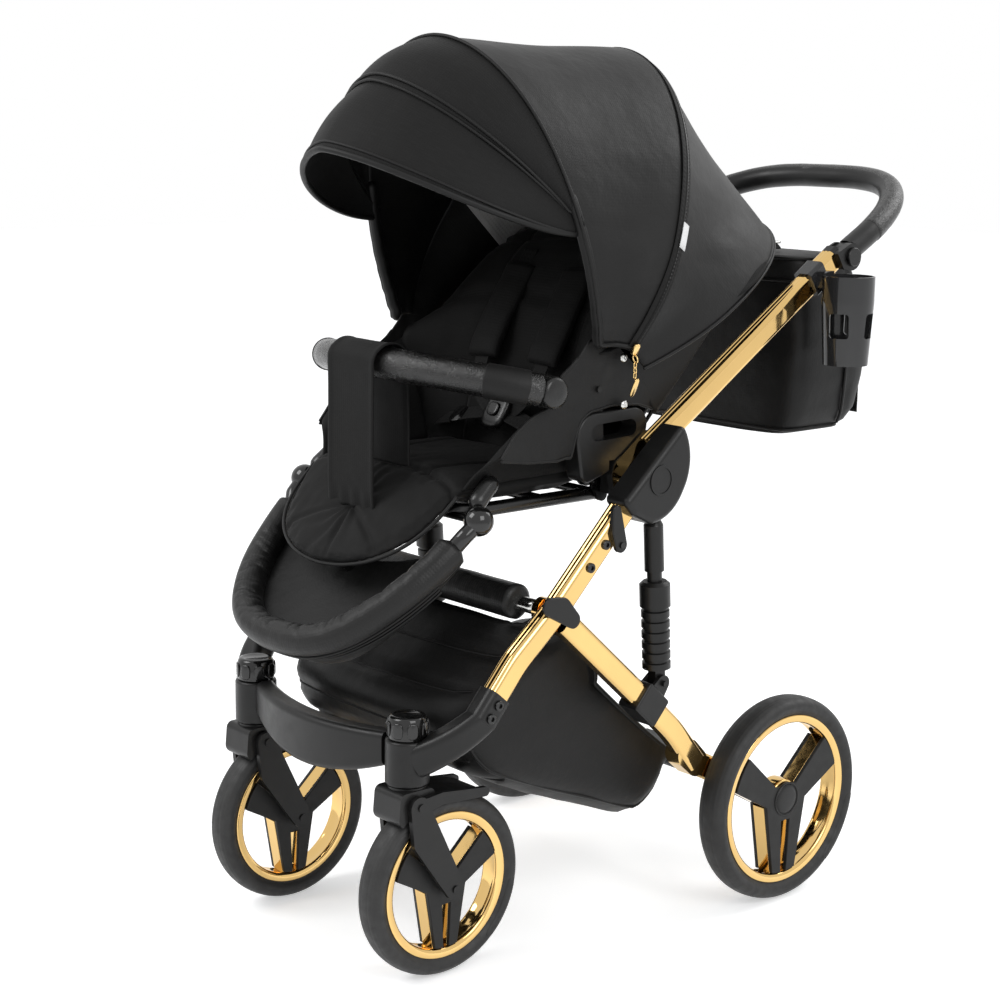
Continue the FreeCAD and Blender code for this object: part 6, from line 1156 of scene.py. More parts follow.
@dataclass
class Hood:
    """The folding hood: cloth over three bows, with a brow and a visor in front."""
    wall: float = 0.004
    columns: int = 121
    centre: Point = (0.0, -0.060, 0.860)
    front: Bow = Bow(75.0, 0.455, 0.226, 1.9, 3.2)
    mid: Bow = Bow(115.0, 0.480, 0.259, 1.8, 2.5)
    rear: Bow = Bow(155.0, 0.478, 0.244, 2.0, 3.2)
    seam: Arch = Arch((0.0, -0.184, 0.941), 0.180, 0.176, 1.7, 1.77, 1.14)
    lip: Arch = Arch((0.0, -0.198, 0.934), 0.242, 0.101, 1.5, 2.2, 1.7)
    brow_rise: float = 0.216
    fold_start: Point = (0.0, 0.055, 1.170)
    fold_end: Point = (0.0, -0.265, 1.170)
    back_low: tuple[float, float] = (-0.040, 0.693)
    back_high: tuple[float, float] = (0.160, 0.902)
    side_x: float = 0.192

    def inside(self) -> Vector:
        """A point inside the hood."""
        return Vector(self.centre)

    def cloth(self, name: str, rows: Grid) -> Piece:
        """A hood panel with a cloth's wall, its outer face where the grid is."""
        obj = grid_object(name, rows)
        mesh = obj.data
        middle = mesh.polygons[len(mesh.polygons) // 2]
        if middle.normal.dot(middle.center - self.inside()) < 0:
            mesh.flip_normals()
        return bake_modifiers(thicken(obj, self.wall))

    def piping(self, name: str, rows: Grid, row: int, radius: float, lift: float) -> Piece:
        """A round piping along one row of a panel."""
        away = outward(rows, self.inside())[row]
        return tube_object(name, [p + n * lift for p, n in zip(rows[row], away)], radius, 10)

    def front_relief(self, down: float, along: float, p: Vector) -> float:
        """The front panel's sag between its bows and the soft folds above its front corners."""
        low = max(0.0, 1 - (p - HOOD_PIVOT).length / 0.30)
        sag = -0.004 * sin(pi * down) ** 2
        tension = 0.0022 * ripple(p, (5.0, 3.0, 16.0), 1.3) * sin(pi * down)
        corner = 0.0042 * low * sin(p.z * 255 + 5.5 * ripple(p, (9.0, 9.0, 7.0), 4.0)) * (1 - 0.7 * down)
        return sag + tension + corner

    def rear_relief(self, down: float, along: float, p: Vector) -> float:
        """The rear panel's sag and its long tension folds."""
        sag = -0.007 * sin(pi * down) ** 2
        long_fold = 0.003 * ripple(p, (6.0, 4.0, 9.0), 7.7) * sin(pi * down)
        return sag + long_fold

    def brow_relief(self, down: float, along: float, p: Vector) -> float:
        """The brow's crown between its two seams."""
        return 0.010 * sin(pi * down) * sin(pi * along) ** 0.5 + 0.0008 * ripple(p, (9.0, 9.0, 9.0), 2.0)

    def visor_relief(self, down: float, along: float, p: Vector) -> float:
        """The visor's crown, which tightens to its lip."""
        crown = 0.007 * sin(pi * down) * sin(pi * along) ** 0.5
        return crown + 0.0008 * ripple(p, (9.0, 9.0, 9.0), 5.0)

    def front_panel(self) -> None:
        """The panel between the front and the middle bow."""
        rows = pushed(ruled_rows(self.front.line(self.columns), self.mid.line(self.columns), 34), self.inside(),
                      self.front_relief)
        obj = self.cloth("hood_front_panel", rows)
        declared(obj, rows)
        hems = []
        for k, column in enumerate((0, -1)):
            edge = [row[column] for row in rows]
            hems.append(tube_object(f"hem{k}", edge, 0.0034, 10))
        obj = join_objects("hood_front_panel", [obj, *hems])
        dress(obj, Finish.COVER)
        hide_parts("hood_front")
        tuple(self.fold_start)
        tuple(self.fold_end)
        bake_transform(obj)
        book(self.piping("bow_piping", rows, 0, 0.0026, 0.0016), Finish.COVER, "hood_front", FABRIC)
        # the bow's padded sleeve, seen along the front edge below the brow
        for column, side in ((slice(0, 24), "left"), (slice(-24, None), "right")):
            edge = [p - (p - self.inside()).normalized() * 0.006 for p in rows[0][column]]
            book(tube_object(f"bow_sleeve_{side}", edge, 0.0075, 14), Finish.COVER, "hood_front", FABRIC)

    def rear_panel(self) -> None:
        """The panel between the middle and the rear bow, with the zip beside the middle bow."""
        rows = pushed(ruled_rows(self.mid.line(self.columns), self.rear.line(self.columns), 34), self.inside(),
                      self.rear_relief)
        obj = self.cloth("hood_rear_panel", rows)
        declared(obj, rows)
        book(obj, Finish.COVER, "seat_unit", FABRIC, "hood_rear")
        away = outward(rows, self.inside())
        zip_row = rows[1]
        tape = band_object("hood_zip_tape", zip_row, away[1], 0.020, 0.0008, 0.0014, 0.0002)
        flap = band_object("hood_zip_flap", [p.lerp(q, 0.35) for p, q in zip(rows[1], rows[2])], away[1], 0.006,
                           0.0022, 0.001, 0.0006)
        book(join_objects("hood_zip_tape", [tape, flap]), Finish.WEBBING, "seat_unit", FABRIC)
        book(self.teeth("hood_zip_teeth", [p + n * 0.0026 for p, n in zip(zip_row, away[1])]), Finish.PLASTIC,
             "seat_unit", BLACK_PLASTIC)
        book(self.piping("rear_piping", rows, len(rows) - 1, 0.0024, 0.001), Finish.COVER, "seat_unit", FABRIC)
        self.puller("hood_zip_puller", zip_row[0] + away[1][0] * 0.006, away[1][0])
        k = min(range(self.columns), key=lambda j: (rows[2][j] - vec(0.235, -0.053, 0.935)).length)
        label = band_object("hood_label", [rows[2][k + j] + away[2][k + j] * 0.0034 for j in range(-2, 3)],
                            away[2][k - 2:k + 3], 0.013, 0.0008, 0.0004)
        book(label, Finish.LABEL, "seat_unit", FABRIC)

    def teeth(self, name: str, line: Line) -> Piece:
        """A coil zip's closed teeth along a line."""
        fine = even_steps(line, 420)
        grow = [1.0 if k % 2 else 0.72 for k in range(len(fine))]
        return sweep_section(name, fine, oval_section(0.0046, 0.0022, 2.2, 8),
                             (line[0] - self.inside()).normalized(), grow)

    def puller(self, name: str, top: Vector, away: Vector) -> None:
        """A slider with its chain and tag, hanging at the zip's end."""
        down = vec(0, 0, -1)
        slider = rounded_block("slider", top, away, down, 0.010, 0.016, 0.006)
        ring = tube_object("ring", [top + down * 0.012 + (down * cos(a) + away * sin(a)) * 0.0045
                                    for a in [k * pi / 6 for k in range(12)]], 0.0011, 8, closed=True)
        links = []
        for k in range(3):
            side = away if k % 2 else away.cross(down).normalized()
            centre = top + down * (0.020 + 0.0065 * k)
            loop = [centre + down * (0.0042 * cos(a)) + side * (0.0024 * sin(a))
                    for a in [m * pi / 6 for m in range(12)]]
            links.append(tube_object(f"link{k}", loop, 0.0009, 6, closed=True))
        tag = rounded_block("tag", top + down * 0.0488, away, down, 0.0085, 0.026, 0.0024)
        book(join_objects(name, [slider, ring, *links, tag]), Finish.BRASS, "seat_unit", "gold_metal")

    def curtain(self) -> None:
        """The cloth between the rear bow and the outline of the backrest."""
        first = self.rear.line(self.columns, 0.062)
        (y0, z0), (y1, z1) = self.back_low, self.back_high
        x, corner = self.side_x, 0.055
        path = [vec(x, y0, z0), vec(x, y1, z1), vec(-x, y1, z1), vec(-x, y0, z0)]
        second = even_steps(rounded_line(path, corner, 12), self.columns)
        rows = ruled_rows(first, second, 16)
        rows = pushed(rows, self.inside(), lambda down, along, p: 0.0035 * ripple(p, (8.0, 8.0, 8.0),
                                                                                  3.1) * sin(pi * down)
                      - 0.004 * sin(pi * down) ** 2)
        for row in rows:
            for p in row:
                p.x = max(-self.side_x, min(self.side_x, p.x)) if abs(p.x) > self.side_x and p.z < 0.80 else p.x
        obj = self.cloth("hood_back_cloth", rows)
        declared(obj, rows)
        book(obj, Finish.COVER, "seat_unit", FABRIC)

    def brow(self) -> None:
        """The panel in front of the front bow."""
        rows = pushed(ruled_rows(self.front.line(self.columns, self.brow_rise), self.seam.line(self.columns),
                                 22), self.inside(), self.brow_relief)
        obj = self.cloth("hood_brow_panel", rows)
        declared(obj, rows)
        book(obj, Finish.VISOR, "hood_front", FABRIC, "hood_brow")
        seams = [self.piping(f"brow_seam{k}", rows, row, 0.0022, 0.0012) for k, row in enumerate((-1, -3))]
        book(join_objects("brow_seams", seams), Finish.COVER, "hood_front", FABRIC)

    def visor(self) -> None:
        """The visor with its stitched and piped lip."""
        top = [p + vec(0, -0.0012, -0.0008) for p in self.seam.line(self.columns)]
        rows = pushed(ruled_rows(top, self.lip.line(self.columns), 24), self.inside(), self.visor_relief)
        obj = self.cloth("visor_panel", rows)
        declared(obj, rows)
        book(obj, Finish.VISOR, "visor", FABRIC, "visor")
        trims = [self.piping("lip_piping", rows, -1, 0.0042, -0.0015),
                 self.piping("lip_seam", rows, -3, 0.0018, 0.0006)]
        book(join_objects("visor_trim", trims), Finish.COVER, "visor", FABRIC)

    def windows(self) -> None:
        """The two mesh windows let into the lining on each side."""
        front = ruled_rows(self.front.line(self.columns), self.mid.line(self.columns), 21)
        rear = ruled_rows(self.mid.line(self.columns), self.rear.line(self.columns), 21)
        for side, flip in (("left", False), ("right", True)):
            for part, rows, body, spans in (("front", front, "seat_unit", ((9, 19), (24, 48))),
                                            ("rear", rear, "seat_unit", ((2, 13), (22, 44)))):
                away = outward(rows, self.inside())
                (i0, i1), (j0, j1) = spans
                patch = []
                for i in range(i0, i1 + 1):
                    line = []
                    for j in range(j0, j1 + 1):
                        k = self.columns - 1 - j if flip else j
                        line.append(rows[i][k] - away[i][k] * (self.wall + 0.010))
                    patch.append(line)
                obj = bake_modifiers(thicken(grid_object(f"window_{part}_{side}", patch), 0.0008))
                # the windows' pale grey finish is painted backlight seen through the mesh
                book(obj, Finish.MESH, body, FABRIC)

    def snaps(self) -> None:
        """The press studs at the foot of each side."""
        for out, side in SIDES:
            studs = []
            for y, z in ((-0.111, 0.774), (-0.108, 0.713)):
                studs.append(lathe_object("stud",
                                          [(0.0, 0.0001), (0.0, 0.0058), (0.0016, 0.0062), (0.0030, 0.0048),
                                           (0.0036, 0.0025), (0.0030, 0.0001)], vec(out * 0.2005, y, z),
                                          vec(out, 0, 0), 20, closed=False))
            book(join_objects(f"hood_snaps_{side}", studs), Finish.STEEL, "seat_unit", "steel")

    def build(self) -> None:
        """Builds the hood."""
        self.front_panel()
        self.rear_panel()
        self.curtain()
        self.brow()
        self.visor()
        self.windows()
        self.snaps()


def rounded_block(name: str, centre: Vector, across_to: Vector, along: Vector, width: float, length: float,
                  thick: float) -> Piece:
    """A small block with rounded ends and edges, flat against a direction.

    Args:
        name: the piece's name.
        centre: its middle.
        across_to: the direction that it is thin along.
        along: the direction that it is long along.
        width: its width.
        length: its length.
        thick: its thickness.

    Returns:
        The block.
    """
    thin = across_to.normalized()
    run = (along - thin * along.dot(thin)).normalized()
    side = run.cross(thin)
    rows = []
    for height, share in ((-0.5, 0.80), (-0.36, 1.0), (0.36, 1.0), (0.5, 0.80)):
        ring = []
        for a, b in oval_section(width * share, length * (1 - (1 - share) * width / length), 3.2, 28):
            ring.append(centre + side * a + run * b + thin * (thick * height))
        rows.append(ring)
    return grid_object(name, rows, round_u=True, capped=True)


# ---- Soft goods helpers ----
def oval_line(origin: Vector, along: Vector, half: float, reach: float, powers: tuple[float, float],
              first: float, count: int) -> list[Vector]:
    """Even points over a bow in one plane, from the left end to the right.

    Args:
        origin: the middle of its open side.
        along: the direction of its reach.
        half: its half width.
        reach: its length.
        powers: how full its sides and its front are.
        first: the share of the reach at its ends.
        count: how many points to return.

    Returns:
        The points.
    """
    side_power, front_power = powers
    start = asin(first ** (front_power / 2))
    fine = []
    for k in range(241):
        angle = start + (pi - 2 * start) * k / 240
        c, s = cos(angle), sin(angle)
        fine.append(origin + vec(half * copysign(abs(c) ** (2 / side_power), c), 0, 0)
                    + along * (reach * abs(s) ** (2 / front_power)))
    return even_steps(fine, count)


def tilted(degrees: float) -> tuple[Vector, Vector]:
    """The forward and the upward direction of a plane that dips by an angle towards the front."""
    a = radians(degrees)
    return vec(0, -cos(a), -sin(a)), vec(0, -sin(a), cos(a))


def away_from_line(x: float, y: float, line: Pairs) -> float:
    """The distance from a point to a line of straight runs in its own plane."""
    best = 9.0
    for (ax, ay), (bx, by) in zip(line, line[1:]):
        dx, dy = bx - ax, by - ay
        t = max(0.0, min(1.0, ((x - ax) * dx + (y - ay) * dy) / (dx * dx + dy * dy)))
        best = min(best, hypot(x - ax - dx * t, y - ay - dy * t))
    return best


def groove(distance: float, width: float, depth: float) -> float:
    """How far a stitched seam draws the cloth in at a distance from it."""
    return -depth * exp(-(distance / width) ** 2)


def carved(obj: Piece, depth: Callable[[Vector, Vector], float]) -> Piece:
    """Moves each point of a mesh along its normal by what a function of place and normal gives."""
    mesh = obj.data
    moves = [(v.co.copy(), v.normal.copy()) for v in mesh.vertices]
    for v, (place, normal) in zip(mesh.vertices, moves):
        v.co = place + normal * depth(place, normal)
    mesh.update()
    return obj


def puffed(obj: Piece, voxel: float = 0.005, cap: float = 0.008, pressure: float = 4.0) -> Piece:
    """Fills a closed form with air under its cloth, so that it crowns and pulls in between its corners.

    Args:
        obj: the closed form, a little smaller than the cushion.
        voxel: the size of the cloth's cells.
        cap: how far any point may move.
        pressure: the air's pressure.

    Returns:
        The same object with the settled cloth as its mesh.
    """
    mod = obj.modifiers.new("cells", "REMESH")
    mod.mode = "VOXEL"
    mod.voxel_size = voxel
    bake_modifiers(obj)
    start = [v.co.copy() for v in obj.data.vertices]
    cloth = obj.modifiers.new("air", "CLOTH")
    cloth.settings.quality = 5
    cloth.settings.use_pressure = True
    cloth.settings.uniform_pressure_force = pressure
    cloth.settings.effector_weights.gravity = 0.0
    cloth.settings.tension_stiffness = 12.0
    cloth.settings.compression_stiffness = 12.0
    cloth.settings.bending_stiffness = 0.4
    scene = bpy.context.scene
    for number in range(1, 21):
        scene.frame_set(number)
    bake_modifiers(obj)
    for v, old in zip(obj.data.vertices, start):
        move = v.co - old
        if move.length > cap:
            v.co = old + move * (cap / move.length)
    scene.frame_set(1)
    obj.data.polygons.foreach_set("use_smooth", [True] * len(obj.data.polygons))
    obj.data.update()
    return obj


# ---- Seat ----
@dataclass
class SeatPad:
    """The seat cushion with the round flap that hangs over the front of the frame."""
    half: float = 0.156
    back_y: float = -0.127
    front_y: float = -0.337
    top: float = 0.6285
    thick: float = 0.028
    flap_half: float = 0.150
    flap_reach: float = 0.160
    flap_thick: float = 0.015
    dip: float = 42.0
    bend: float = 0.050

    def rows(self) -> Rows:
        """Closed rings from the back edge of the cushion to the tip of its flap."""
        fall, _ = tilted(self.dip)
        corner = vec(0, self.front_y, self.top)
        line = rounded_line([vec(0, self.back_y, self.top), corner, corner + fall * self.flap_reach], self.bend,
                            10)
        total = sum((b - a).length for a, b in zip(line, line[1:]))
        level = abs(self.front_y - self.back_y)
        fine = even_steps(line, 200)
        rows = []
        for k in range(64):
            share = k / 63
            run = share * total
            i = min(198, int(share * 199))
            point = fine[i].lerp(fine[i + 1], share * 199 - i)
            ahead = (fine[min(i + 2, 199)] - fine[max(i - 1, 0)]).normalized()
            up = vec(1, 0, 0).cross(ahead)
            up = up if up.z > 0 else -up
            out = max(0.0, (run - level) / (total - level))
            turn = min(1.0, max(0.0, (run - level + 0.03) / 0.06))
            wide = self.half + (self.flap_half - self.half) * turn
            wide *= sqrt(max(0.0, 1 - min(out, 0.9995) ** 3))
            if run < 0.02:
                wide -= 0.006 * (1 - run / 0.02) ** 2
            tall = self.thick + (self.flap_thick - self.thick) * turn
            edge = min(1.0, run / 0.008 + 0.35) * min(1.0, (total - run) / 0.006 + 0.4)
            ring = []
            for a, b in oval_section(2 * wide, tall * edge, 3.4, 56):
                crown = 0.0035 * max(0.0, 1 - (a / max(wide, 0.01)) ** 2) if b > 0 else 0.0
                ring.append(point - up * (tall / 2) + vec(a, 0, 0) + up * (b + crown))
            rows.append(ring)
        return rows

    def relief(self, p: Vector, n: Vector) -> float:
        """The seams and the drag lines round the strap's foot."""
        if n.z < 0.05:
            return 0.0
        run = p.y - self.front_y
        bend_seam = groove(abs(run - 0.010 + 0.9 * p.x * p.x), 0.0045, 0.004)
        lines = (((0.0, -0.395), (0.115, -0.440)), ((0.0, -0.395), (-0.115, -0.436)),
                 ((0.0, -0.395), (0.020, -0.452)), ((-0.075, -0.337), (-0.090, -0.150)),
                 ((0.075, -0.337), (0.090, -0.150)))
        seams = sum(groove(away_from_line(p.x, p.y, line), 0.004, 0.0032) for line in lines)
        foot = hypot(p.x, p.y + 0.395)
        turn = atan2(p.y + 0.395, p.x)
        drag = 0.0016 * exp(-foot / 0.07) * sin(11 * turn + 4 * ripple(p, (9, 9, 9), 2.0))
        return bend_seam + max(seams, -0.0045) + drag + 0.0016 * ripple(p, (16.0, 16.0, 16.0), 8.0)

    def build(self) -> None:
        """Builds the cushion and the piping round its flap."""
        obj = grid_object("seat_cushion", self.rows(), round_u=True, capped=True)
        puffed(obj, 0.0045, 0.005, 3.0)
        subdivide(obj)
        bake_modifiers(obj)
        carved(obj, self.relief)
        book(obj, Finish.SEAT, "seat_unit", FABRIC, "seat_pad")
        fall, up = tilted(self.dip)
        corner = vec(0, self.front_y, self.top)
        edge = oval_line(corner - up * 0.0075, fall, self.flap_half + 0.0015, self.flap_reach - 0.002,
                         (2.0, 3.0), 0.12, 90)
        book(tube_object("flap_piping", edge, 0.0026, 10), Finish.COVER, "seat_unit", FABRIC)


@dataclass
class Backrest:
    """The padded backrest with its stitched channels."""
    pivot: Point = (0.0, -0.101, 0.606)
    lean: float = 47.0
    low: float = 0.024
    high: float = 0.418
    half: float = 0.166
    thick: float = 0.026
    corner: float = 0.060
    back_off: float = -0.009

    def place(self, x: float, run: float, out: float) -> Vector:
        """A point from its place across, up along and out of the backrest."""
        a = radians(self.lean)
        along, away = vec(0, cos(a), sin(a)), vec(0, -sin(a), cos(a))
        return Vector(self.pivot) + vec(x, 0, 0) + along * run + away * out

    def back_turn(self, p: Vector) -> tuple[float, float, float]:
        """The place across, up along and out of the backrest of a point."""
        a = radians(self.lean)
        d = p - Vector(self.pivot)
        return p.x, d.y * cos(a) + d.z * sin(a), -d.y * sin(a) + d.z * cos(a)

    def rows(self) -> Rows:
        """Closed rings up the backrest."""
        rows = []
        for k in range(60):
            run = self.low + (self.high - self.low) * k / 59
            top = max(0.0, run - (self.high - self.corner)) / self.corner
            wide = self.half - self.corner * (1 - sqrt(max(0.0, 1 - top * top)))
            edge = min(1.0, (run - self.low) / 0.010 + 0.35) * min(1.0, (self.high - run) / 0.008 + 0.35)
            ring = []
            for a, b in oval_section(2 * wide, self.thick * edge, 3.2, 56):
                ring.append(self.place(a, run, self.back_off + self.thick / 2 + b))
            rows.append(ring)
        return rows

    def relief(self, p: Vector, n: Vector) -> float:
        """The side bolsters and the seams between them and the middle."""
        x, run, out = self.back_turn(p)
        if out < self.back_off + self.thick * 0.5:
            return 0.0008 * ripple(p, (12.0, 12.0, 12.0), 5.5) + groove(abs(run - 0.22), 0.004, 0.0015)
        seams = sum(groove(away_from_line(x, run, line), 0.0055, 0.007)
                    for line in (((-0.098, 0.0), (-0.108, 0.30), (-0.07, 0.40)),
                                 ((0.098, 0.0), (0.108, 0.30), (0.07, 0.40)), ((-0.10, 0.135), (0.10, 0.135)),
                                 ((-0.105, 0.265), (0.105, 0.265))))
        return max(seams, -0.008) + 0.002 * ripple(p, (14.0, 14.0, 14.0), 1.5)

    def build(self) -> None:
        """Builds the backrest."""
        obj = grid_object("backrest_cushion", self.rows(), round_u=True, capped=True)
        puffed(obj, 0.005, 0.007, 3.5)
        subdivide(obj)
        bake_modifiers(obj)
        carved(obj, self.relief)
        book(obj, Finish.SEAT, "backrest", FABRIC, "backrest")
        self.piping()
        for out, side in SIDES:
            self.ear(out, side)

    def piping(self) -> None:
        """The piping round the outline of the backrest's rear face."""
        x, r = self.half, self.corner
        path = [self.place(x, self.low + 0.01, 0), self.place(x, self.high, 0), self.place(-x, self.high, 0),
                self.place(-x, self.low + 0.01, 0)]
        line = even_steps(rounded_line(path, r, 12), 120)
        book(tube_object("backrest_piping", line, 0.0028, 10), Finish.COVER, "backrest", FABRIC)

    def ear(self, out: int, side: str) -> None:
        """The plastic hinge ear at one side of the backrest."""
        x = out * (0.78 * 0.168 - 0.007)
        y, z = self.pivot[1], self.pivot[2]
        outline = [(y + a, z + b) for a, b in round_section(0.0112, 25)]
        hole = [(y + a, z + b) for a, b in round_section(0.0066, 20)]
        ear = plate_object(f"backrest_ear_{side}", outline, x - 0.006, x + 0.006, [hole])
        book(bevel(ear, 0.0012), Finish.PLASTIC, "backrest", BLACK_PLASTIC)


@dataclass
class SideCloth:
    """The cloth at each side of the seat, from the hood's hem down over the top of the side plate."""
    x: float = 0.1900
    low: Profile = ((-306, 657), (-262, 651), (-215, 649), (-190, 652), (-178, 692), (-160, 706), (-120, 712),
                    (-75, 710), (-48, 702), (-33, 697))
    high: Profile = ((-306, 661), (-284, 690), (-262, 706), (-232, 716), (-219, 722), (-214, 752), (-186, 772),
                     (-164, 800), (-121, 796), (-86, 766), (-52, 722), (-33, 700))

    def build(self) -> None:
        """Builds both side cloths and their piped edges."""
        for out, side in SIDES:
            columns = []
            for k in range(100):
                y = -306 + 273 * k / 99
                low, high = level_at(self.low, y), level_at(self.high, y)
                columns.append(side_spots(out * self.x, [(y, low + (high - low) * m / 24) for m in range(25)]))
            rows = [list(line) for line in zip(*columns)]
            rows = pushed(rows, vec(0, -0.2, 0.7),
                          lambda down, along, p: 0.0022 * (0.6 + ripple(p, (9.0, 22.0, 22.0), 6.0)))
            obj = bake_modifiers(thicken(grid_object(f"side_cloth_{side}", rows), 0.0016, 0.0))
            declared(obj, rows)
            book(obj, Finish.COVER, "seat_unit", FABRIC)
            edges = [tube_object("edge", catmull(rows[0][::3], 120), 0.0019, 8),
                     tube_object("edge", catmull(rows[-1][:46:3], 60), 0.0019, 8)]
            book(join_objects(f"side_hem_{side}", edges), Finish.COVER, "seat_unit", FABRIC)


@dataclass
class Footrest:
    """The leg rest: a gathered padded rim bent to a U, with a cloth pouch slung in it."""
    pivot: Point = (0.0, -0.337, 0.585)
    dip: float = 40.0
    offset: float = 0.0144
    sink: float = 0.0062
    half: float = 0.173
    reach: float = 0.218
    powers: tuple[float, float] = (2.75, 1.75)
    first: float = 0.12
    rim: float = 0.0205

    def outline(self, count: int, grow: float = 0.0) -> list[Vector]:
        """The rim's middle line, or a line beside it in its plane."""
        along, up = tilted(self.dip)
        origin = Vector(self.pivot) + along * self.offset - up * self.sink
        return oval_line(origin, along, self.half + grow, self.reach + grow, self.powers, self.first, count)

    def rim_object(self) -> Piece:
        """The padded rim with the gathers on its inner side."""
        _, up = tilted(self.dip)
        line = self.outline(260)
        rows = []
        count = len(line)
        sides = 28
        centre = vec(0, -0.42, 0.52)
        for i, p in enumerate(line):
            along = (line[min(i + 1, count - 1)] - line[max(i - 1, 0)]).normalized()
            inner = up.cross(along).normalized()
            if inner.dot(centre - p) < 0:
                inner.negate()
            share = i / (count - 1)
            end = min(1.0, share / 0.012, (1 - share) / 0.012)
            bow = sin(pi * share) ** 0.7
            ring = []
            for k in range(sides):
                a = 2 * pi * k / sides
                c, s = cos(a), sin(a)
                inside = max(0.0, c * 0.8 + s * 0.6)
                beat = sin(i * 0.34 + 1.5 * noise.noise(vec(i * 0.05, a * 0.8, 3.0)) * 3)
                fold = 0.0009 * bow * inside * beat - 0.0024 * bow * inside * abs(beat) ** 9
                swell = 0.0012 * noise.noise(vec(i * 0.03, c, s))
                radius = (self.rim * (0.55 + 0.45 * end)) + fold + swell
                ring.append(p + inner * (c * radius) + up * (s * radius))
            rows.append(ring)
        return grid_object("footrest_rim", rows, round_u=True, capped=True)

    def pouch(self) -> Piece:
        """The cloth floor of the leg rest and the shallow pouch below it, as one closed form."""
        along, up = tilted(self.dip)
        count = 90
        ring = self.outline(count)
        centre = Vector(self.pivot) + along * 0.09 - up * self.sink
        rows = []
        shape = [(0.02, -0.010), (0.25, -0.019), (0.5, -0.019), (0.72, -0.018), (0.88, -0.014), (0.955, -0.010),
                 (0.985, -0.016), (1.0, -0.026), (1.005, -0.038), (0.985, -0.050), (0.93, -0.060),
                 (0.80, -0.066), (0.5, -0.068), (0.2, -0.068), (0.02, -0.068)]
        for share, drop in shape:
            line = []
            for j, p in enumerate(ring):
                turn = j / (count - 1)
                deep = drop if drop > -0.02 else -0.016 + (drop + 0.016) * (0.35 + 0.65 * sin(pi * turn))
                q = centre.lerp(p, share) + up * deep
                line.append(q + up * (0.0014 * ripple(q, (14.0, 14.0, 14.0), 2.2)))
            rows.append(line)
        obj = grid_object("footrest_pouch", rows)
        bm = bmesh.new()
        bm.from_mesh(obj.data)
        bmesh.ops.holes_fill(bm, edges=bm.edges)
        bmesh.ops.recalc_face_normals(bm, faces=bm.faces)
        bm.to_mesh(obj.data)
        bm.free()
        return subdivide(obj)

    def build(self) -> None:
        """Builds the leg rest."""
        rim = self.rim_object()
        book(rim, Finish.ROLL, "footrest", "padding", "footrest")
        book(self.pouch(), Finish.COVER, "footrest", FABRIC)
        _, up = tilted(self.dip)
        seams = []
        for k, (grow, drop) in enumerate(((0.0155, 0.0150), (0.0120, 0.0215), (0.0060, 0.0300))):
            seams.append(tube_object(f"seam{k}", [p - up * drop for p in self.outline(140, grow)[12:-12]],
                                     0.0017, 8))
        book(join_objects("footrest_piping", seams), Finish.COVER, "footrest", FABRIC)
        for out, side in SIDES:
            self.hinge(out, side)

    def hinge(self, out: int, side: str) -> None:
        """The ball knob, its neck and the sleeve above it at one side."""
        along, _ = tilted(self.dip)
        centre = vec(out * 0.184, self.pivot[1], self.pivot[2])
        ball = []
        for k in range(15):
            a = radians(-82 + 164 * k / 14)
            ball.append((0.0185 * sin(a), 0.0190 * cos(a) ** 0.9 if cos(a) > 0 else 0.0))
        knob = lathe_object("knob", [(-0.0185, 0.0005), *ball, (0.0186, 0.0005)], centre, vec(out, 0, 0), 40,
                            closed=False)
        end = self.outline(40)[0 if out > 0 else -1]
        neck = tube_object("neck",
                           even_steps([centre + along * 0.010, vec(out * 0.181, centre.y, centre.z)
                                       + along * 0.028, end + along * 0.004], 14), 0.0105, 18)
        book(join_objects(f"footrest_knob_{side}", [knob, neck]), Finish.PLASTIC_GLOSS, "footrest",
             BLACK_PLASTIC)
        foot = vec(out * 0.168, self.pivot[1] + 0.012, self.pivot[2] + 0.021)
        top = foot + vec(-out * 0.004, 0.022, 0.018)
        sleeve = tube_object(f"footrest_sleeve_{side}", even_steps([foot, top], 8), 0.0120, 20)
        book(sleeve, Finish.PLASTIC_SATIN, "seat_unit", BLACK_PLASTIC)


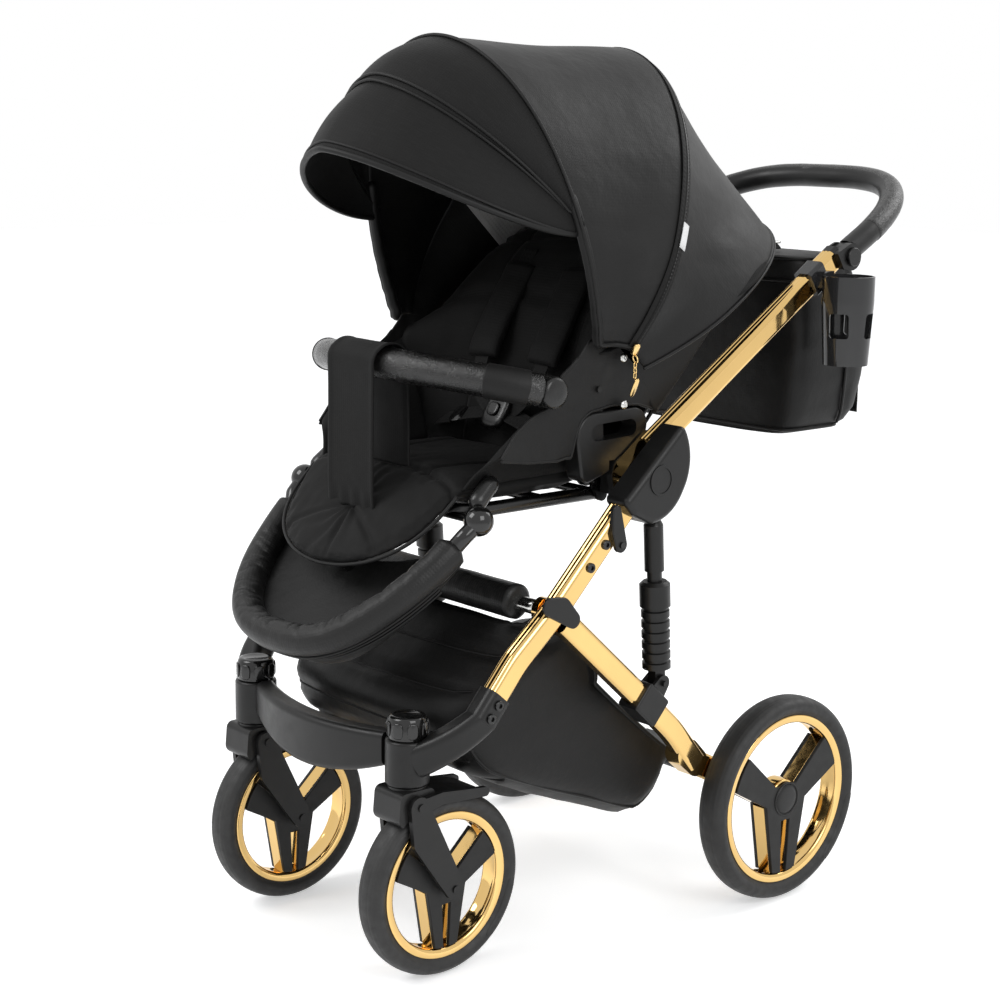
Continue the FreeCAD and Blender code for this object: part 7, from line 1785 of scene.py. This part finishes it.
@dataclass
class Bumper:
    """The padded bumper bar with its end sleeves, and the strap over its middle."""
    pivot: Point = (0.0, -0.243, 0.741)
    lift: float = 12.4
    half: float = 0.2095
    reach: float = 0.132
    powers: tuple[float, float] = (1.45, 1.9)
    radius: float = 0.0208
    strap_half: float = 0.0475

    def line(self, count: int) -> list[Vector]:
        """The bar's middle line."""
        along, _ = tilted(-self.lift)
        return oval_line(Vector(self.pivot), along, self.half, self.reach, self.powers, 0.14, count)

    def build(self) -> None:
        """Builds the bar and the strap."""
        line = self.line(170)

        def radius(number: int, turn: float) -> float:
            """The bar's radius, drawn in at its seam."""
            wave = 0.0004 * noise.noise(vec(number * 0.09, 2 * cos(turn), 2 * sin(turn)))
            return self.radius - 0.0012 * exp(-((turn - 4.2) / 0.10) ** 2) + wave

        rows = ring_rows(line, 32, radius)
        bar = grid_object("bumper_padding", rows, round_u=True, capped=True)
        book(bar, Finish.GRIP, "bumper", "leatherette", "bumper_bar")
        for out, side in SIDES:
            self.end(out, side, line)
        self.strap()

    def end(self, out: int, side: str, line: Line) -> None:
        """The cloth sleeve and the hub at one end of the bar."""
        run = line if out > 0 else line[::-1]
        sleeve = tube_object(f"bumper_sleeve_{side}", even_steps(run[5:24], 20), self.radius + 0.0016, 32,
                             round_ends=False)
        book(bevel(sleeve, 0.0012), Finish.COVER, "bumper", FABRIC)
        y, z = self.pivot[1], self.pivot[2]
        face = [(0.1895, 0.006), (0.1895, 0.0185), (0.1915, 0.0203), (0.2160, 0.0206), (0.2200, 0.0188),
                (0.2217, 0.0150), (0.2222, 0.006), (0.2222, 0.0003)]
        hub = lathe_object(f"bumper_hub_{side}", [(x - 0.19, r) for x, r in face], vec(out * 0.19, y, z),
                           vec(out, 0, 0), 56, closed=False)
        book(hub, Finish.PLASTIC_SATIN, "bumper", BLACK_PLASTIC)

    def strap(self) -> None:
        """The wide strap that loops over the bar's middle."""
        y, z = -0.3719, 0.7693
        loop = [(y - 0.0232, 0.582), (y - 0.0240, 0.620), (y - 0.0238, 0.690), (y - 0.0232, 0.745)]
        spots = [vec(0, a, b) for a, b in loop]
        for k in range(9):
            a = pi - pi * k / 8
            spots.append(vec(0, y + 0.006 * (1 - cos(pi * k / 8)) / 2 + 0.0237 * cos(a), z + 0.0237 * sin(a)))
        spots += [vec(0, y + 0.0300, 0.735), vec(0, y + 0.031, 0.690), vec(0, y + 0.0315, 0.634)]
        line = catmull(spots, 110)
        rows = []
        for i, p in enumerate(line):
            along = (line[min(i + 1, len(line) - 1)] - line[max(i - 1, 0)]).normalized()
            off = vec(1, 0, 0).cross(along)
            off = off if off.dot(p - vec(0, y, min(p.z, z))) > 0 else -off
            low = max(0.0, 1 - (p.z - 0.582) / 0.03) if i < 40 else 0.0
            row = []
            for k in range(25):
                share = k / 12 - 1
                hem = 0.0009 if abs(share) > 0.90 else 0.0
                drag = 0.0016 * low * sin(13 * share)
                wave = 0.0009 * ripple(vec(share * 0.05, p.y, p.z), (10.0, 10.0, 10.0), 4.0)
                back = 0.0058 * share * share if i > 55 else 0.0
                row.append(p + vec(share * self.strap_half, back * 0.2, 0) + off * (hem + wave + drag))
            rows.append(row)
        obj = bake_modifiers(thicken(grid_object("crotch_strap_cloth", rows), 0.0022, 0.0))
        book(obj, Finish.SEAT, "bumper", FABRIC, "crotch_strap")


# ---- Seat lining and harness ----
@dataclass
class Lining:
    """The quilted lining of the seat, from the cushion's sides up into the hood, and the harness."""
    middle: Profile = ((-130, 612), (-116, 680), (-94, 760), (-68, 835), (-34, 890), (20, 922), (100, 935),
                       (165, 926), (200, 912))
    outer: tuple[Point, ...] = ((187, -146, 612), (187, -160, 690), (187, -166, 768), (200, -124, 784),
                                (214, -80, 782), (228, 0, 812), (230, 60, 840), (222, 115, 864),
                                (200, 160, 884))
    cushion: tuple[Point, ...] = ((148, -334, 618), (150, -270, 622), (150, -200, 624), (150, -150, 626))
    wall: tuple[Point, ...] = ((187, -303, 662), (187, -280, 690), (187, -256, 704), (187, -222, 716),
                               (187, -206, 748), (187, -166, 768))
    seam_x: float = 0.097
    fullness: float = 4.2
    steps: int = 64
    thick: float = 0.0030
    hollow: Point = (0.0, -0.200, 0.860)

    def spot(self, i: int, across: float) -> Vector:
        """A point of the lining at a step of its length and a share of its half width."""
        c, o = self.centre_line[i], self.outer_line[i]
        rise = abs(across) ** self.fullness
        return vec(across * o.x, c.y + (o.y - c.y) * rise, c.z + (o.z - c.z) * rise)

    def panel(self, name: str, first: float, second: float, count: int) -> tuple[Piece, Rows]:
        """One panel between two places across, a negative sign standing for the seam's own place."""
        rows = []
        for i in range(self.steps):
            half = self.outer_line[i].x
            a, b = (copysign(self.seam_x / half, v) if abs(v) < 1 else v for v in (first, second))
            rows.append([self.spot(i, a + (b - a) * k / (count - 1)) for k in range(count)])
        rows = pushed(rows, Vector(self.hollow), self.relief)
        return bake_modifiers(thicken(grid_object(name, rows), self.thick, 0.0)), rows

    def relief(self, down: float, along: float, p: Vector) -> float:
        """The filling between the sewn channels, with slack folds in the cloth."""
        puff = -0.007 * (sin(pi * along) ** 0.6 if 0 < along < 1 else 0.0)
        lines = sum(groove(abs(down - at), 0.010, -0.006) for at in (0.22, 0.42, 0.60))
        return puff + lines + 0.003 * ripple(p, (10.0, 10.0, 10.0), 21.0)

    def build(self) -> None:
        """Builds the lining's panels, their piping and the harness."""
        self.centre_line = even_steps(catmull(side_spots(0.0, self.middle), 200), self.steps)
        self.outer_line = even_steps(catmull([Vector(p) / 1000 for p in self.outer], 200), self.steps)
        middle, rows = self.panel("seat_lining_middle", -0.5, 0.5, 31)
        declared(middle, rows)
        book(middle, Finish.SEAT, "backrest", FABRIC)
        for out, side in SIDES:
            wing, rows = self.panel(f"seat_lining_{side}", out * 0.5, out * 1.0, 31)
            declared(wing, rows)
            dress(wing, Finish.SEAT)
            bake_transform(wing)
            book(tube_object(f"lining_piping_{side}", [row[0] for row in rows][1:-1], 0.0024, 8), Finish.COVER,
                 "backrest", FABRIC)
            self.side_wall(out, side)
            self.shoulder(out, side)
            self.hip(out, side)
        self.buckle()

    def side_wall(self, out: int, side: str) -> None:
        """The padded cloth beside the cushion."""
        first = even_steps(catmull([vec(out * x, y, z) / 1000 for x, y, z in self.cushion], 80), 46)
        second = even_steps(catmull([vec(out * x, y, z) / 1000 for x, y, z in self.wall], 80), 46)
        rows = pushed(ruled_rows(first, second, 18), Vector(self.hollow),
                      lambda down, along, p: -0.006 * sin(pi * down) + 0.0025 * ripple(p, (14.0, 14.0, 14.0),
                                                                                       5.0))
        obj = bake_modifiers(thicken(grid_object(f"seat_side_wall_{side}", rows), self.thick, 0.0))
        declared(obj, rows)
        book(obj, Finish.SEAT, "seat_unit", FABRIC)

    def shoulder(self, out: int, side: str) -> None:
        """One shoulder strap with its soft sleeve."""
        spots = ((0.056, -0.040, 0.895), (0.060, -0.075, 0.838), (0.062, -0.112, 0.775), (0.058, -0.132, 0.730),
                 (0.040, -0.140, 0.700), (0.018, -0.142, 0.684))
        line = catmull([vec(out * x, y, z) for x, y, z in spots], 60)
        up = vec(0, -0.88, 0.40).normalized()
        book(band_object(f"harness_strap_{side}", line, [up] * len(line), 0.026, 0.0016), Finish.WEBBING,
             "backrest", FABRIC)
        run = line[6:40]
        rows = []
        for i, p in enumerate(run):
            along = (run[min(i + 1, len(run) - 1)] - run[max(i - 1, 0)]).normalized()
            wide = along.cross(up).normalized()
            share = i / (len(run) - 1)
            end = min(1.0, share / 0.06 + 0.55, (1 - share) / 0.06 + 0.55)
            rows.append([p + wide * a + up * (b + 0.002 + 0.0014 * ripple(p, (30.0, 30.0, 30.0), 3.0 + out))
                         for a, b in oval_section(0.056, 0.018 * end, 2.8, 36)])
        sleeve = grid_object(f"harness_sleeve_{side}", rows, round_u=True, capped=True)
        book(sleeve, Finish.SEAT, "backrest", FABRIC)

    def hip(self, out: int, side: str) -> None:
        """One hip strap with its ladder lock."""
        up = vec(0, -0.6, 0.8)
        line = catmull([Vector(p) for p in ((out * 0.135, -0.138, 0.655), (out * 0.095, -0.150, 0.664),
                                            (out * 0.055, -0.150, 0.674), (out * 0.022, -0.146, 0.680))], 30)
        book(band_object(f"hip_strap_{side}", line, [up] * len(line), 0.025, 0.0016), Finish.WEBBING,
             "backrest", FABRIC)
        lock = rounded_block(f"hip_lock_{side}", line[15] + up * 0.003, up, line[16] - line[14], 0.032, 0.022,
                             0.005)
        book(bevel(lock, 0.0008), Finish.PLASTIC_GLOSS, "backrest", BLACK_PLASTIC)

    def buckle(self) -> None:
        """The harness buckle in the middle."""
        up, along = vec(0, -0.85, 0.5), vec(0, 0.5, 0.85)
        body = rounded_block("harness_buckle", vec(0, -0.150, 0.684), up, along, 0.044, 0.052, 0.013)
        button = rounded_block("harness_button", vec(0, -0.157, 0.688), up, along, 0.020, 0.020, 0.004)
        book(subdivide(join_objects("harness_buckle", [body, button])), Finish.PLASTIC_SATIN, "backrest",
             BLACK_PLASTIC)


# ---- Basket and bag ----
@dataclass
class Basket:
    """The sagging shopping basket, hung from the padded bar and the rear legs."""
    half: float = 0.187
    wall: float = 0.003
    roll_radius: float = 0.0238
    roll_half: float = 0.170
    bar_radius: float = 0.010
    front_draw: float = 0.085
    inside: Point = (0.0, -0.19, 0.30)
    side_limit: float = 0.1905
    seam_x: float = 0.165
    bands: tuple[float, ...] = (0.10, 0.19, 0.28, 0.37, 0.47)
    side: Profile = ((-262, 440), (-330, 400), (-392, 350), (-380, 300), (-330, 256), (-230, 208), (-130, 167),
                     (-66, 141), (-40, 138), (-8, 160), (9, 200), (12, 216))

    def belly(self, count: int) -> list[Vector]:
        """The basket's lengthwise outline, from its front rim under its floor to its back rim."""
        return catmull(side_spots(0.0, self.side), count)

    def rim_point(self, share: float) -> tuple[float, float]:
        """A point of the rim's side line from the front, share 0, to the back, share 1, in millimetres."""
        return (-246 + 259 * share, 452 - 236 * share - 10 * sin(pi * share))

    def drawn(self, p: Vector, share: float) -> Vector:
        """Draws the front corners of the basket back, as its hangers pull them."""
        fade = max(0.0, 1 - share / 0.42) ** 0.8
        pull = self.front_draw * min(1.0, abs(p.x) / self.half) ** 3 * fade * min(1.0, share / 0.06)
        return p + vec(0, pull, -0.25 * pull)

    def shell(self) -> Piece:
        """The cloth shell: rings from one side's rim round the belly to the other side's rim."""
        line = self.belly(64)
        rows = []
        wide = 49
        for i, p in enumerate(line):
            share = i / (len(line) - 1)
            ry, rz = self.rim_point(share)
            rim = vec(0, ry / 1000, rz / 1000)
            depth = (p - rim).length
            row = []
            for j in range(wide):
                a = -1 + 2 * j / (wide - 1)
                round_off = min(0.045, depth * 0.9)
                run = abs(a) * (self.half + depth)
                level = self.half - round_off
                if run <= level:
                    x, up = run, 0.0
                elif run <= level + round_off * pi / 2:
                    t = (run - level) / round_off
                    x, up = level + round_off * sin(t), round_off * (1 - cos(t))
                else:
                    x, up = self.half, round_off + run - level - round_off * pi / 2
                up = min(up, depth)
                q = p.lerp(rim, up / depth if depth > 1e-6 else 0.0)
                row.append(self.drawn(vec(copysign(x, a), q.y, q.z), share))
            rows.append(row)
        rows = pushed(rows, Vector(self.inside), self.relief)
        for row in rows:
            for p in row:
                p.x = max(-self.side_limit, min(self.side_limit, p.x))
        obj = bake_modifiers(thicken(grid_object("basket_cloth", rows), self.wall, 0.0))
        declared(obj, rows)
        self.rows = rows
        return obj

    def relief(self, down: float, along: float, p: Vector) -> float:
        """The basket's sag, drawn seams and the hollows between them."""
        inner = sin(pi * min(1.0, max(0.0, along)))
        sag = 0.004 * inner * sin(pi * down) - 0.0035 * max(0.0, 1 - abs(p.x) / 0.15) * sin(pi * down)
        bands = sum(groove(abs(down - at), 0.008, 0.0075)
                    for at in self.bands) if abs(p.x) < self.seam_x else 0.0
        seam = groove(abs(abs(p.x) - self.seam_x), 0.005, 0.003)
        return sag + bands + seam + 0.003 * ripple(p, (7.0, 7.0, 7.0), 9.1)

    def roll(self) -> None:
        """The padded roll round the cross bar, with its overlapping lip, and the bar through it."""
        y, z = LEG_PIVOT.y, LEG_PIVOT.z
        rows = []
        for i in range(70):
            x = -self.roll_half + 2 * self.roll_half * i / 69
            end = min(1.0, (self.roll_half - abs(x)) / 0.010 + 0.55)
            ring = []
            for k in range(36):
                a = 2 * pi * k / 36
                lip = -0.0018 * exp(-((a - 4.45) / 0.09) ** 2)
                r = self.roll_radius * (0.45 + 0.55 * end) - 0.0008 + lip + 0.0008 * ripple(vec(x, a * 0.02, 0),
                                                                                            (18.0, 20.0, 1.0),
                                                                                            3.0)
                ring.append(vec(x, y + r * cos(a), z + r * sin(a)))
            rows.append(ring)
        roll = grid_object("basket_roll", rows, round_u=True, capped=True)
        book(roll, Finish.ROLL, "chassis", "padding", "basket_bar")
        bar = tube_object("basket_cross_bar", [vec(x, y, z) for x in (-0.221, -0.19, 0.19, 0.221)],
                          self.bar_radius, 24, round_ends=False)
        book(bar, Finish.STEEL, "chassis", "steel")

    def trims(self) -> None:
        """The bound rim along the sides and the back, the side seams and the seams of the bands across it."""
        line = self.belly(64)
        pipes = []
        for out, side in SIDES:
            edge = [self.drawn(vec(out * (self.half + 0.0005), self.rim_point(k / 63)[0] / 1000,
                                   self.rim_point(k / 63)[1] / 1000), k / 63) for k in range(64)]
            pipes.append(tube_object(f"rim_{side}", edge, 0.0034, 10))
            seam = []
            for k in range(4, 60):
                p = line[k]
                ry, rz = self.rim_point(k / 63)
                rim = vec(0, ry / 1000, rz / 1000)
                up = 0.013 / max((rim - p).length, 0.02)
                q = p.lerp(rim, up)
                seam.append(self.drawn(vec(out * (self.half - 0.010), q.y, q.z), k / 63)
                            + (p - rim).normalized() * 0.001)
            pipes.append(tube_object(f"seam_{side}", seam, 0.0026, 8))
        for k, at in enumerate(self.bands):
            row = self.rows[round(at * 63)]
            lift = (row[24] - Vector(self.inside)).normalized() * 0.0026
            pipes.append(tube_object(f"band{k}", [p + lift for p in row if abs(p.x) < 0.172], 0.0021, 8))
        back = [vec(x, 0.0125, 0.2165) for x in [-self.half + 2 * self.half * k / 40 for k in range(41)]]
        pipes.append(tube_object("rim_back", back, 0.0034, 10))
        book(join_objects("basket_piping", pipes), Finish.COVER, "chassis", FABRIC)

    def build(self) -> None:
        """Builds the basket."""
        book(self.shell(), Finish.COVER, "chassis", FABRIC, "basket")
        self.roll()
        self.trims()


@dataclass
class Bag:
    """The soft bag that hangs between the upper tubes."""
    half: float = 0.185
    front: float = 0.247
    depth: float = 0.156
    bottom: float = 0.632
    height: float = 0.256
    pocket_depth: float = 0.024
    side_limit: float = 0.1862

    def bulge(self, p: Vector) -> float:
        """How far the filled rear pocket pushes the cloth out at a point."""
        back = max(0.0, min(1.0, (p.y - self.front - 0.55 * self.depth) / (0.3 * self.depth)))
        share = (p.z - self.bottom) / self.height
        return self.pocket_depth * back * max(0.0, min(1.0, (0.74 - share) / 0.10)) ** 0.7

    def ring(self, share: float, wide: float, deep: float, sides: int = 120) -> list[Vector]:
        """One level ring of the bag at a share of its height."""
        half, y0, d = self.half * wide, self.front, self.depth * deep
        centre_y = y0 + d / 2
        z = self.bottom + self.height * share
        return [vec(a, centre_y + b, z) for a, b in oval_section(2 * half, d, 6.0, sides)]

    def shell(self) -> Piece:
        """The bag's soft shell with its top closed by a zipped lid."""
        levels = [(0.0, 0.30, 0.30), (0.0, 0.62, 0.55), (0.0, 0.82, 0.70), (0.012, 0.88, 0.78),
                  (0.05, 0.925, 0.85), (0.12, 0.96, 0.91), (0.3, 0.985, 0.97), (0.5, 1.0, 1.0),
                  (0.7, 0.99, 0.98), (0.88, 0.975, 0.94), (0.955, 0.955, 0.885), (0.985, 0.935, 0.84),
                  (1.0, 0.90, 0.78), (1.003, 0.70, 0.60), (1.005, 0.35, 0.30)]
        dense = []
        for first, second in zip(levels, levels[1:]):
            steps = max(1, int(abs(second[0] - first[0]) / 0.03))
            dense += [tuple(a + (b - a) * k / steps for a, b in zip(first, second)) for k in range(steps)]
        dense.append(levels[-1])
        rows = [self.ring(*level) for level in dense]
        inside = vec(0, self.front + self.depth / 2, self.bottom + self.height / 2)
        rows = pushed(rows, inside, self.relief, round_u=True)
        for row in rows:
            for p in row:
                p.y = max(p.y, self.front + 0.0005) + self.bulge(p)
                p.x = max(-self.side_limit, min(self.side_limit, p.x))
        return grid_object("bag_cloth", rows, round_u=True, capped=True)

    def relief(self, down: float, along: float, p: Vector) -> float:
        """The bag's slack folds, deepest between its seams."""
        z = (p.z - self.bottom) / self.height
        slack = 0.0034 * ripple(p, (9.0, 9.0, 13.0), 12.0) * sin(pi * max(0.0, min(1.0, z)))
        seam = groove(abs(p.y - (self.front + 0.108)), 0.004, 0.0025) if abs(p.x) > 0.15 else 0.0
        lid = groove(abs(z - 0.86), 0.014, 0.0025)
        return slack + seam + lid - 0.001

    def build(self) -> None:
        """Builds the bag with its lid seam, pocket, zips and hangers."""
        shell = self.shell()
        book(shell, Finish.COVER, "handle_frame", FABRIC, "bag")
        pipes = []
        for share, wide, deep, radius in ((0.985, 0.942, 0.85, 0.0026), (0.03, 0.915, 0.84, 0.0024),
                                          (0.86, 0.98, 0.955, 0.0018)):
            line = self.ring(share, wide, deep, 90)
            for p in line:
                p.y = max(p.y, self.front + 0.001)
            pipes.append(tube_object("piping", line, radius, 8, closed=True))
        for out, _ in SIDES:
            spots = [vec(out * self.half * w, self.front + self.depth * 0.70, self.bottom + self.height * s)
                     for s, w in ((0.05, 0.93), (0.12, 0.965), (0.3, 0.99), (0.5, 1.0), (0.7, 0.995),
                                  (0.84, 0.98))]
            pipes.append(tube_object("side_piping", catmull(spots, 40), 0.0022, 8))
        book(join_objects("bag_piping", pipes), Finish.COVER, "handle_frame", FABRIC)
        self.pocket()
        self.handle()
        self.loops()
        self.pulls()

    def pocket(self) -> None:
        """The flat pocket on the bag's rear face."""
        y = self.front + self.depth
        rows = []
        for i in range(25):
            for_z = self.bottom + 0.020 + 0.142 * i / 24
            row = []
            for j in range(57):
                x = -0.160 + 0.320 * j / 56
                edge = min(1.0, min(i, 24 - i) / 4.0, min(j, 56 - j) / 4.0)
                swell = 0.0095 * edge ** 0.5 + 0.0018 * ripple(vec(x, 0, for_z), (11.0, 1.0, 14.0), 2.0)
                row.append(vec(x, y + self.pocket_depth - 0.010 + swell, for_z))
            rows.append(row)
        obj = bake_modifiers(thicken(grid_object("bag_pocket", rows), 0.0018))
        book(obj, Finish.COVER, "handle_frame", FABRIC)
        tooth = [vec(x, y + self.pocket_depth + 0.0005, self.bottom + 0.166)
                 for x in [-0.150 + 0.300 * k / 160 for k in range(161)]]
        grow = [1.0 if k % 2 else 0.7 for k in range(161)]
        book(sweep_section("bag_pocket_zip", tooth, oval_section(0.0046, 0.0030, 2.2, 8), vec(0, 0, 1), grow),
             Finish.PLASTIC_GLOSS, "handle_frame", BLACK_PLASTIC)

    def handle(self) -> None:
        """The short carrying handle on the lid, with its buckles."""
        z = self.bottom + self.height
        y = self.front + 0.060
        spots = [vec(-0.085, y, z + 0.003), vec(-0.075, y, z + 0.010), vec(-0.045, y, z + 0.024),
                 vec(0, y, z + 0.029), vec(0.045, y, z + 0.024), vec(0.075, y, z + 0.010),
                 vec(0.085, y, z + 0.003)]
        line = catmull(spots, 60)
        away = [vec(0, 0, 1)] * len(line)
        web = band_object("bag_handle_web", line, away, 0.022, 0.0022, 0.0008)
        book(web, Finish.WEBBING, "handle_frame", FABRIC)
        for k, x in enumerate((-0.070, 0.070)):
            frame_line = [Vector((x + 0.013 * copysign(abs(cos(a)) ** 0.5, cos(a)),
                                  y + 0.0165 * copysign(abs(sin(a)) ** 0.5, sin(a)), z + 0.0125))
                          for a in [2 * pi * m / 28 for m in range(28)]]
            book(tube_object(f"bag_buckle{k}", frame_line, 0.0016, 8, closed=True), Finish.STEEL,
                 "handle_frame", "steel")

    def loops(self) -> None:
        """The two loops that hang the bag on the upper tubes."""
        for out, side in SIDES:
            y, z = 0.293, 0.862
            spots = [vec(out * 0.168, y, z - 0.010), vec(out * 0.176, y, z - 0.002),
                     vec(out * 0.186, y, z + 0.010), vec(out * 0.1905, y, z + 0.022)]
            line = catmull(spots, 20)
            up = [vec(out * 0.5, 0, 0.85).normalized()] * len(line)
            book(band_object(f"bag_loop_{side}", line, up, 0.020, 0.0022), Finish.WEBBING, "handle_frame",
                 FABRIC)

    def pulls(self) -> None:
        """The gold zip pullers at the lid and the pocket."""
        spots = ((vec(0.1815, self.front + 0.012, self.bottom + 0.222), vec(1, 0, 0)),
                 (vec(0.152, self.front + self.depth + self.pocket_depth + 0.003, self.bottom + 0.166),
                  vec(0, 1, 0)), (vec(-0.110, self.front + self.depth + 0.003, self.bottom + 0.222),
                                  vec(0, 1, 0)))
        down = vec(0, 0, -1)
        parts = []
        for k, (top, away) in enumerate(spots):
            parts.append(rounded_block(f"slider{k}", top, away, down, 0.008, 0.012, 0.005))
            parts.append(rounded_block(f"tag{k}", top + down * 0.020 + away * 0.001, away, down, 0.0075, 0.026,
                                       0.0022))
        book(join_objects("bag_zip_pullers", parts), Finish.BRASS, "handle_frame", "gold_metal")


# ---- Front end ----
@dataclass
class FrontEnd:
    """The glossy lock caps on the caster barrels, each with a ring of grip pads."""
    radius: float = 0.0252
    pads: int = 8

    def build(self) -> None:
        """Builds both caps."""
        for _, side in SIDES:
            low, high = (Vector(c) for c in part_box(f"swivel_lock_{side}"))
            centre = vec((low.x + high.x) / 2, (low.y + high.y) / 2, high.z)
            r = self.radius
            cap = [(-0.0298, 0.0010), (-0.0298, r - 0.0010), (-0.0285, r), (-0.0200, r), (-0.0040, r - 0.0012),
                   (-0.0012, r - 0.0034), (0.0, r - 0.0070), (-0.0010, r - 0.0095), (-0.0012, 0.0005)]
            top = lathe_object("cap", cap, centre, vec(0, 0, 1), 64, closed=False)
            pieces = [top]
            for k in range(self.pads):
                a = 2 * pi * (k + 0.5) / self.pads
                away = vec(cos(a), sin(a), 0)
                pieces.append(rounded_block(f"pad{k}", centre + away * (r - 0.0006) + vec(0, 0, -0.0165), away,
                                            vec(0, 0, 1), 0.0140, 0.0200, 0.0032))
            book(join_objects(f"lock_cap_{side}", pieces), Finish.PLASTIC_GLOSS, f"swivel_lock_{side}",
                 BLACK_PLASTIC, f"swivel_lock_{side}")


# ---- Handle ----
@dataclass
class Handle:
    """The leatherette handlebar."""
    half: float = 0.208
    reach: float = 0.2334
    powers: tuple[float, float] = (3.28, 2.4)
    lift: float = 26.0
    grip: float = 0.0174

    def build(self) -> None:
        """Builds the covered bar with its stitched seam."""
        a = radians(self.lift)
        along = vec(0, cos(a), sin(a))
        fine = oval_line(HANDLE_PIVOT, along, self.half, self.reach, self.powers, 0.30, 220)

        def radius(number: int, turn: float) -> float:
            """The cover's radius, drawn in at its seam and at both ends."""
            end = min(1.0, min(number, len(fine) - 1 - number) / 2.0 * 0.4 + 0.6)
            wave = 0.0003 * noise.noise(vec(number * 0.12, 2 * cos(turn), 2 * sin(turn)))
            return self.grip * end - 0.0010 * exp(-((turn - 4.71) / 0.12) ** 2) + wave

        rows = ring_rows(fine, 30, radius)
        bar = grid_object("handlebar_cover", rows, round_u=True, capped=True)
        book(bar, Finish.GRIP, "handlebar", "leatherette")


# ---- Floor, light and camera ----
@dataclass
class Studio:
    """A pale seamless floor, soft lamps and the camera."""
    lens: float = 71.6
    location: Point = (2.01337553, -1.89556907, 1.08314251)
    right: Point = (0.65462444, 0.75583194, 0.01359837)
    up: Point = (-0.1540905, 0.11580358, 0.98124699)
    ahead: Point = (-0.74008307, 0.64444364, -0.19227438)

    def camera(self) -> None:
        """The camera, at the usual three-quarter front view."""
        data = bpy.data.cameras.new("camera")
        data.lens = self.lens
        data.sensor_width = 36.0
        data.clip_end = 60.0
        cam = bpy.data.objects.new("camera", data)
        bpy.context.scene.collection.objects.link(cam)
        right, up, ahead = (Vector(v) for v in (self.right, self.up, self.ahead))
        turn = Matrix((right, up, -ahead)).transposed()
        cam.matrix_world = Matrix.Translation(Vector(self.location)) @ turn.to_4x4()
        bpy.context.scene.camera = cam

    def world(self) -> None:
        """An even white surround."""
        world = bpy.data.worlds.new("surround")
        bpy.context.scene.world = world
        world.use_nodes = True
        tree = world.node_tree
        path = tree.nodes.new("ShaderNodeLightPath")
        both = tree.nodes.new("ShaderNodeMath")
        both.operation = "ADD"
        tree.links.new(path.outputs["Is Camera Ray"], both.inputs[0])
        tree.links.new(path.outputs["Is Transmission Ray"], both.inputs[1])
        shiny = tree.nodes.new("ShaderNodeMath")
        shiny.operation = "ADD"
        shiny.use_clamp = True
        tree.links.new(both.outputs["Value"], shiny.inputs[0])
        tree.links.new(path.outputs["Is Glossy Ray"], shiny.inputs[1])
        mix = tree.nodes.new("ShaderNodeMix")
        mix.data_type = "RGBA"
        tree.links.new(shiny.outputs["Value"], mix.inputs["Factor"])
        mix.inputs[6].default_value = (0.62, 0.63, 0.64, 1.0)
        mix.inputs[7].default_value = (1.0, 1.0, 1.0, 1.0)
        tree.links.new(mix.outputs[2], tree.nodes["Background"].inputs["Color"])

    def floor(self) -> None:
        """The floor, nearly white, with the soft shadow under the wheels."""
        size = 14.0
        obj = make_object("floor", [(-size, -size, -0.0005), (size, -size, -0.0005), (size, size, -0.0005),
                                    (-size, size, -0.0005)], [(0, 1, 2, 3)], False)
        s = Shader("floor_white")
        s.set(Base_Color=(0.93, 0.93, 0.93, 1.0), Roughness=0.6)
        path = s.node("LightPath")
        seen = s.node("Math", Value=path.outputs["Is Camera Ray"])
        seen.operation = "ADD"
        s.feed(seen.inputs[1], path.outputs["Is Transmission Ray"])
        shiny = s.node("Math", Value=seen.outputs["Value"])
        shiny.operation = "ADD"
        s.feed(shiny.inputs[1], path.outputs["Is Glossy Ray"])
        glow = s.node("Math", Value=shiny.outputs["Value"])
        glow.operation = "MULTIPLY"
        glow.inputs[1].default_value = 0.44
        s.surface.inputs["Emission Color"].default_value = (1.0, 1.0, 1.0, 1.0)
        s.feed(s.surface.inputs["Emission Strength"], glow.outputs["Value"])
        obj.data.materials.append(s.material)

    def lamp(self, name: str, where: Point, size: float, power: float, aim: Point) -> None:
        """A soft square lamp.

        Args:
            name: its name.
            where: its place.
            size: the side of its square.
            power: watts.
            aim: the point that it faces.
        """
        data = bpy.data.lights.new(name, "AREA")
        data.size = size
        data.energy = power
        obj = bpy.data.objects.new(name, data)
        bpy.context.scene.collection.objects.link(obj)
        obj.location = where
        obj.rotation_mode = "QUATERNION"
        obj.rotation_quaternion = (Vector(aim) - Vector(where)).to_track_quat("-Z", "Y")

    def build(self) -> None:
        """Sets up the stage."""
        bpy.context.scene.view_settings.view_transform = "Standard"
        self.camera()
        self.world()
        self.floor()
        self.lamp("key", (-1.2, -2.6, 3.0), 1.8, 60.0, (0.0, 0.0, 0.6))
        self.lamp("fill", (3.0, -0.6, 2.4), 1.8, 45.0, (0.0, 0.0, 0.5))
        self.lamp("back", (0.6, 2.6, 2.6), 1.6, 30.0, (0.0, 0.0, 0.7))


def main() -> None:
    """Builds the stroller, assembly by assembly."""
    logging.basicConfig(level=logging.INFO, format="%(name)s: %(message)s")
    keep_solids()
    build_wheels()
    Hood().build()
    SeatPad().build()
    Backrest().build()
    Lining().build()
    SideCloth().build()
    Footrest().build()
    Bumper().build()
    Basket().build()
    Bag().build()
    FrontEnd().build()
    Handle().build()
    Studio().build()


if __name__ == "__main__":
    main()
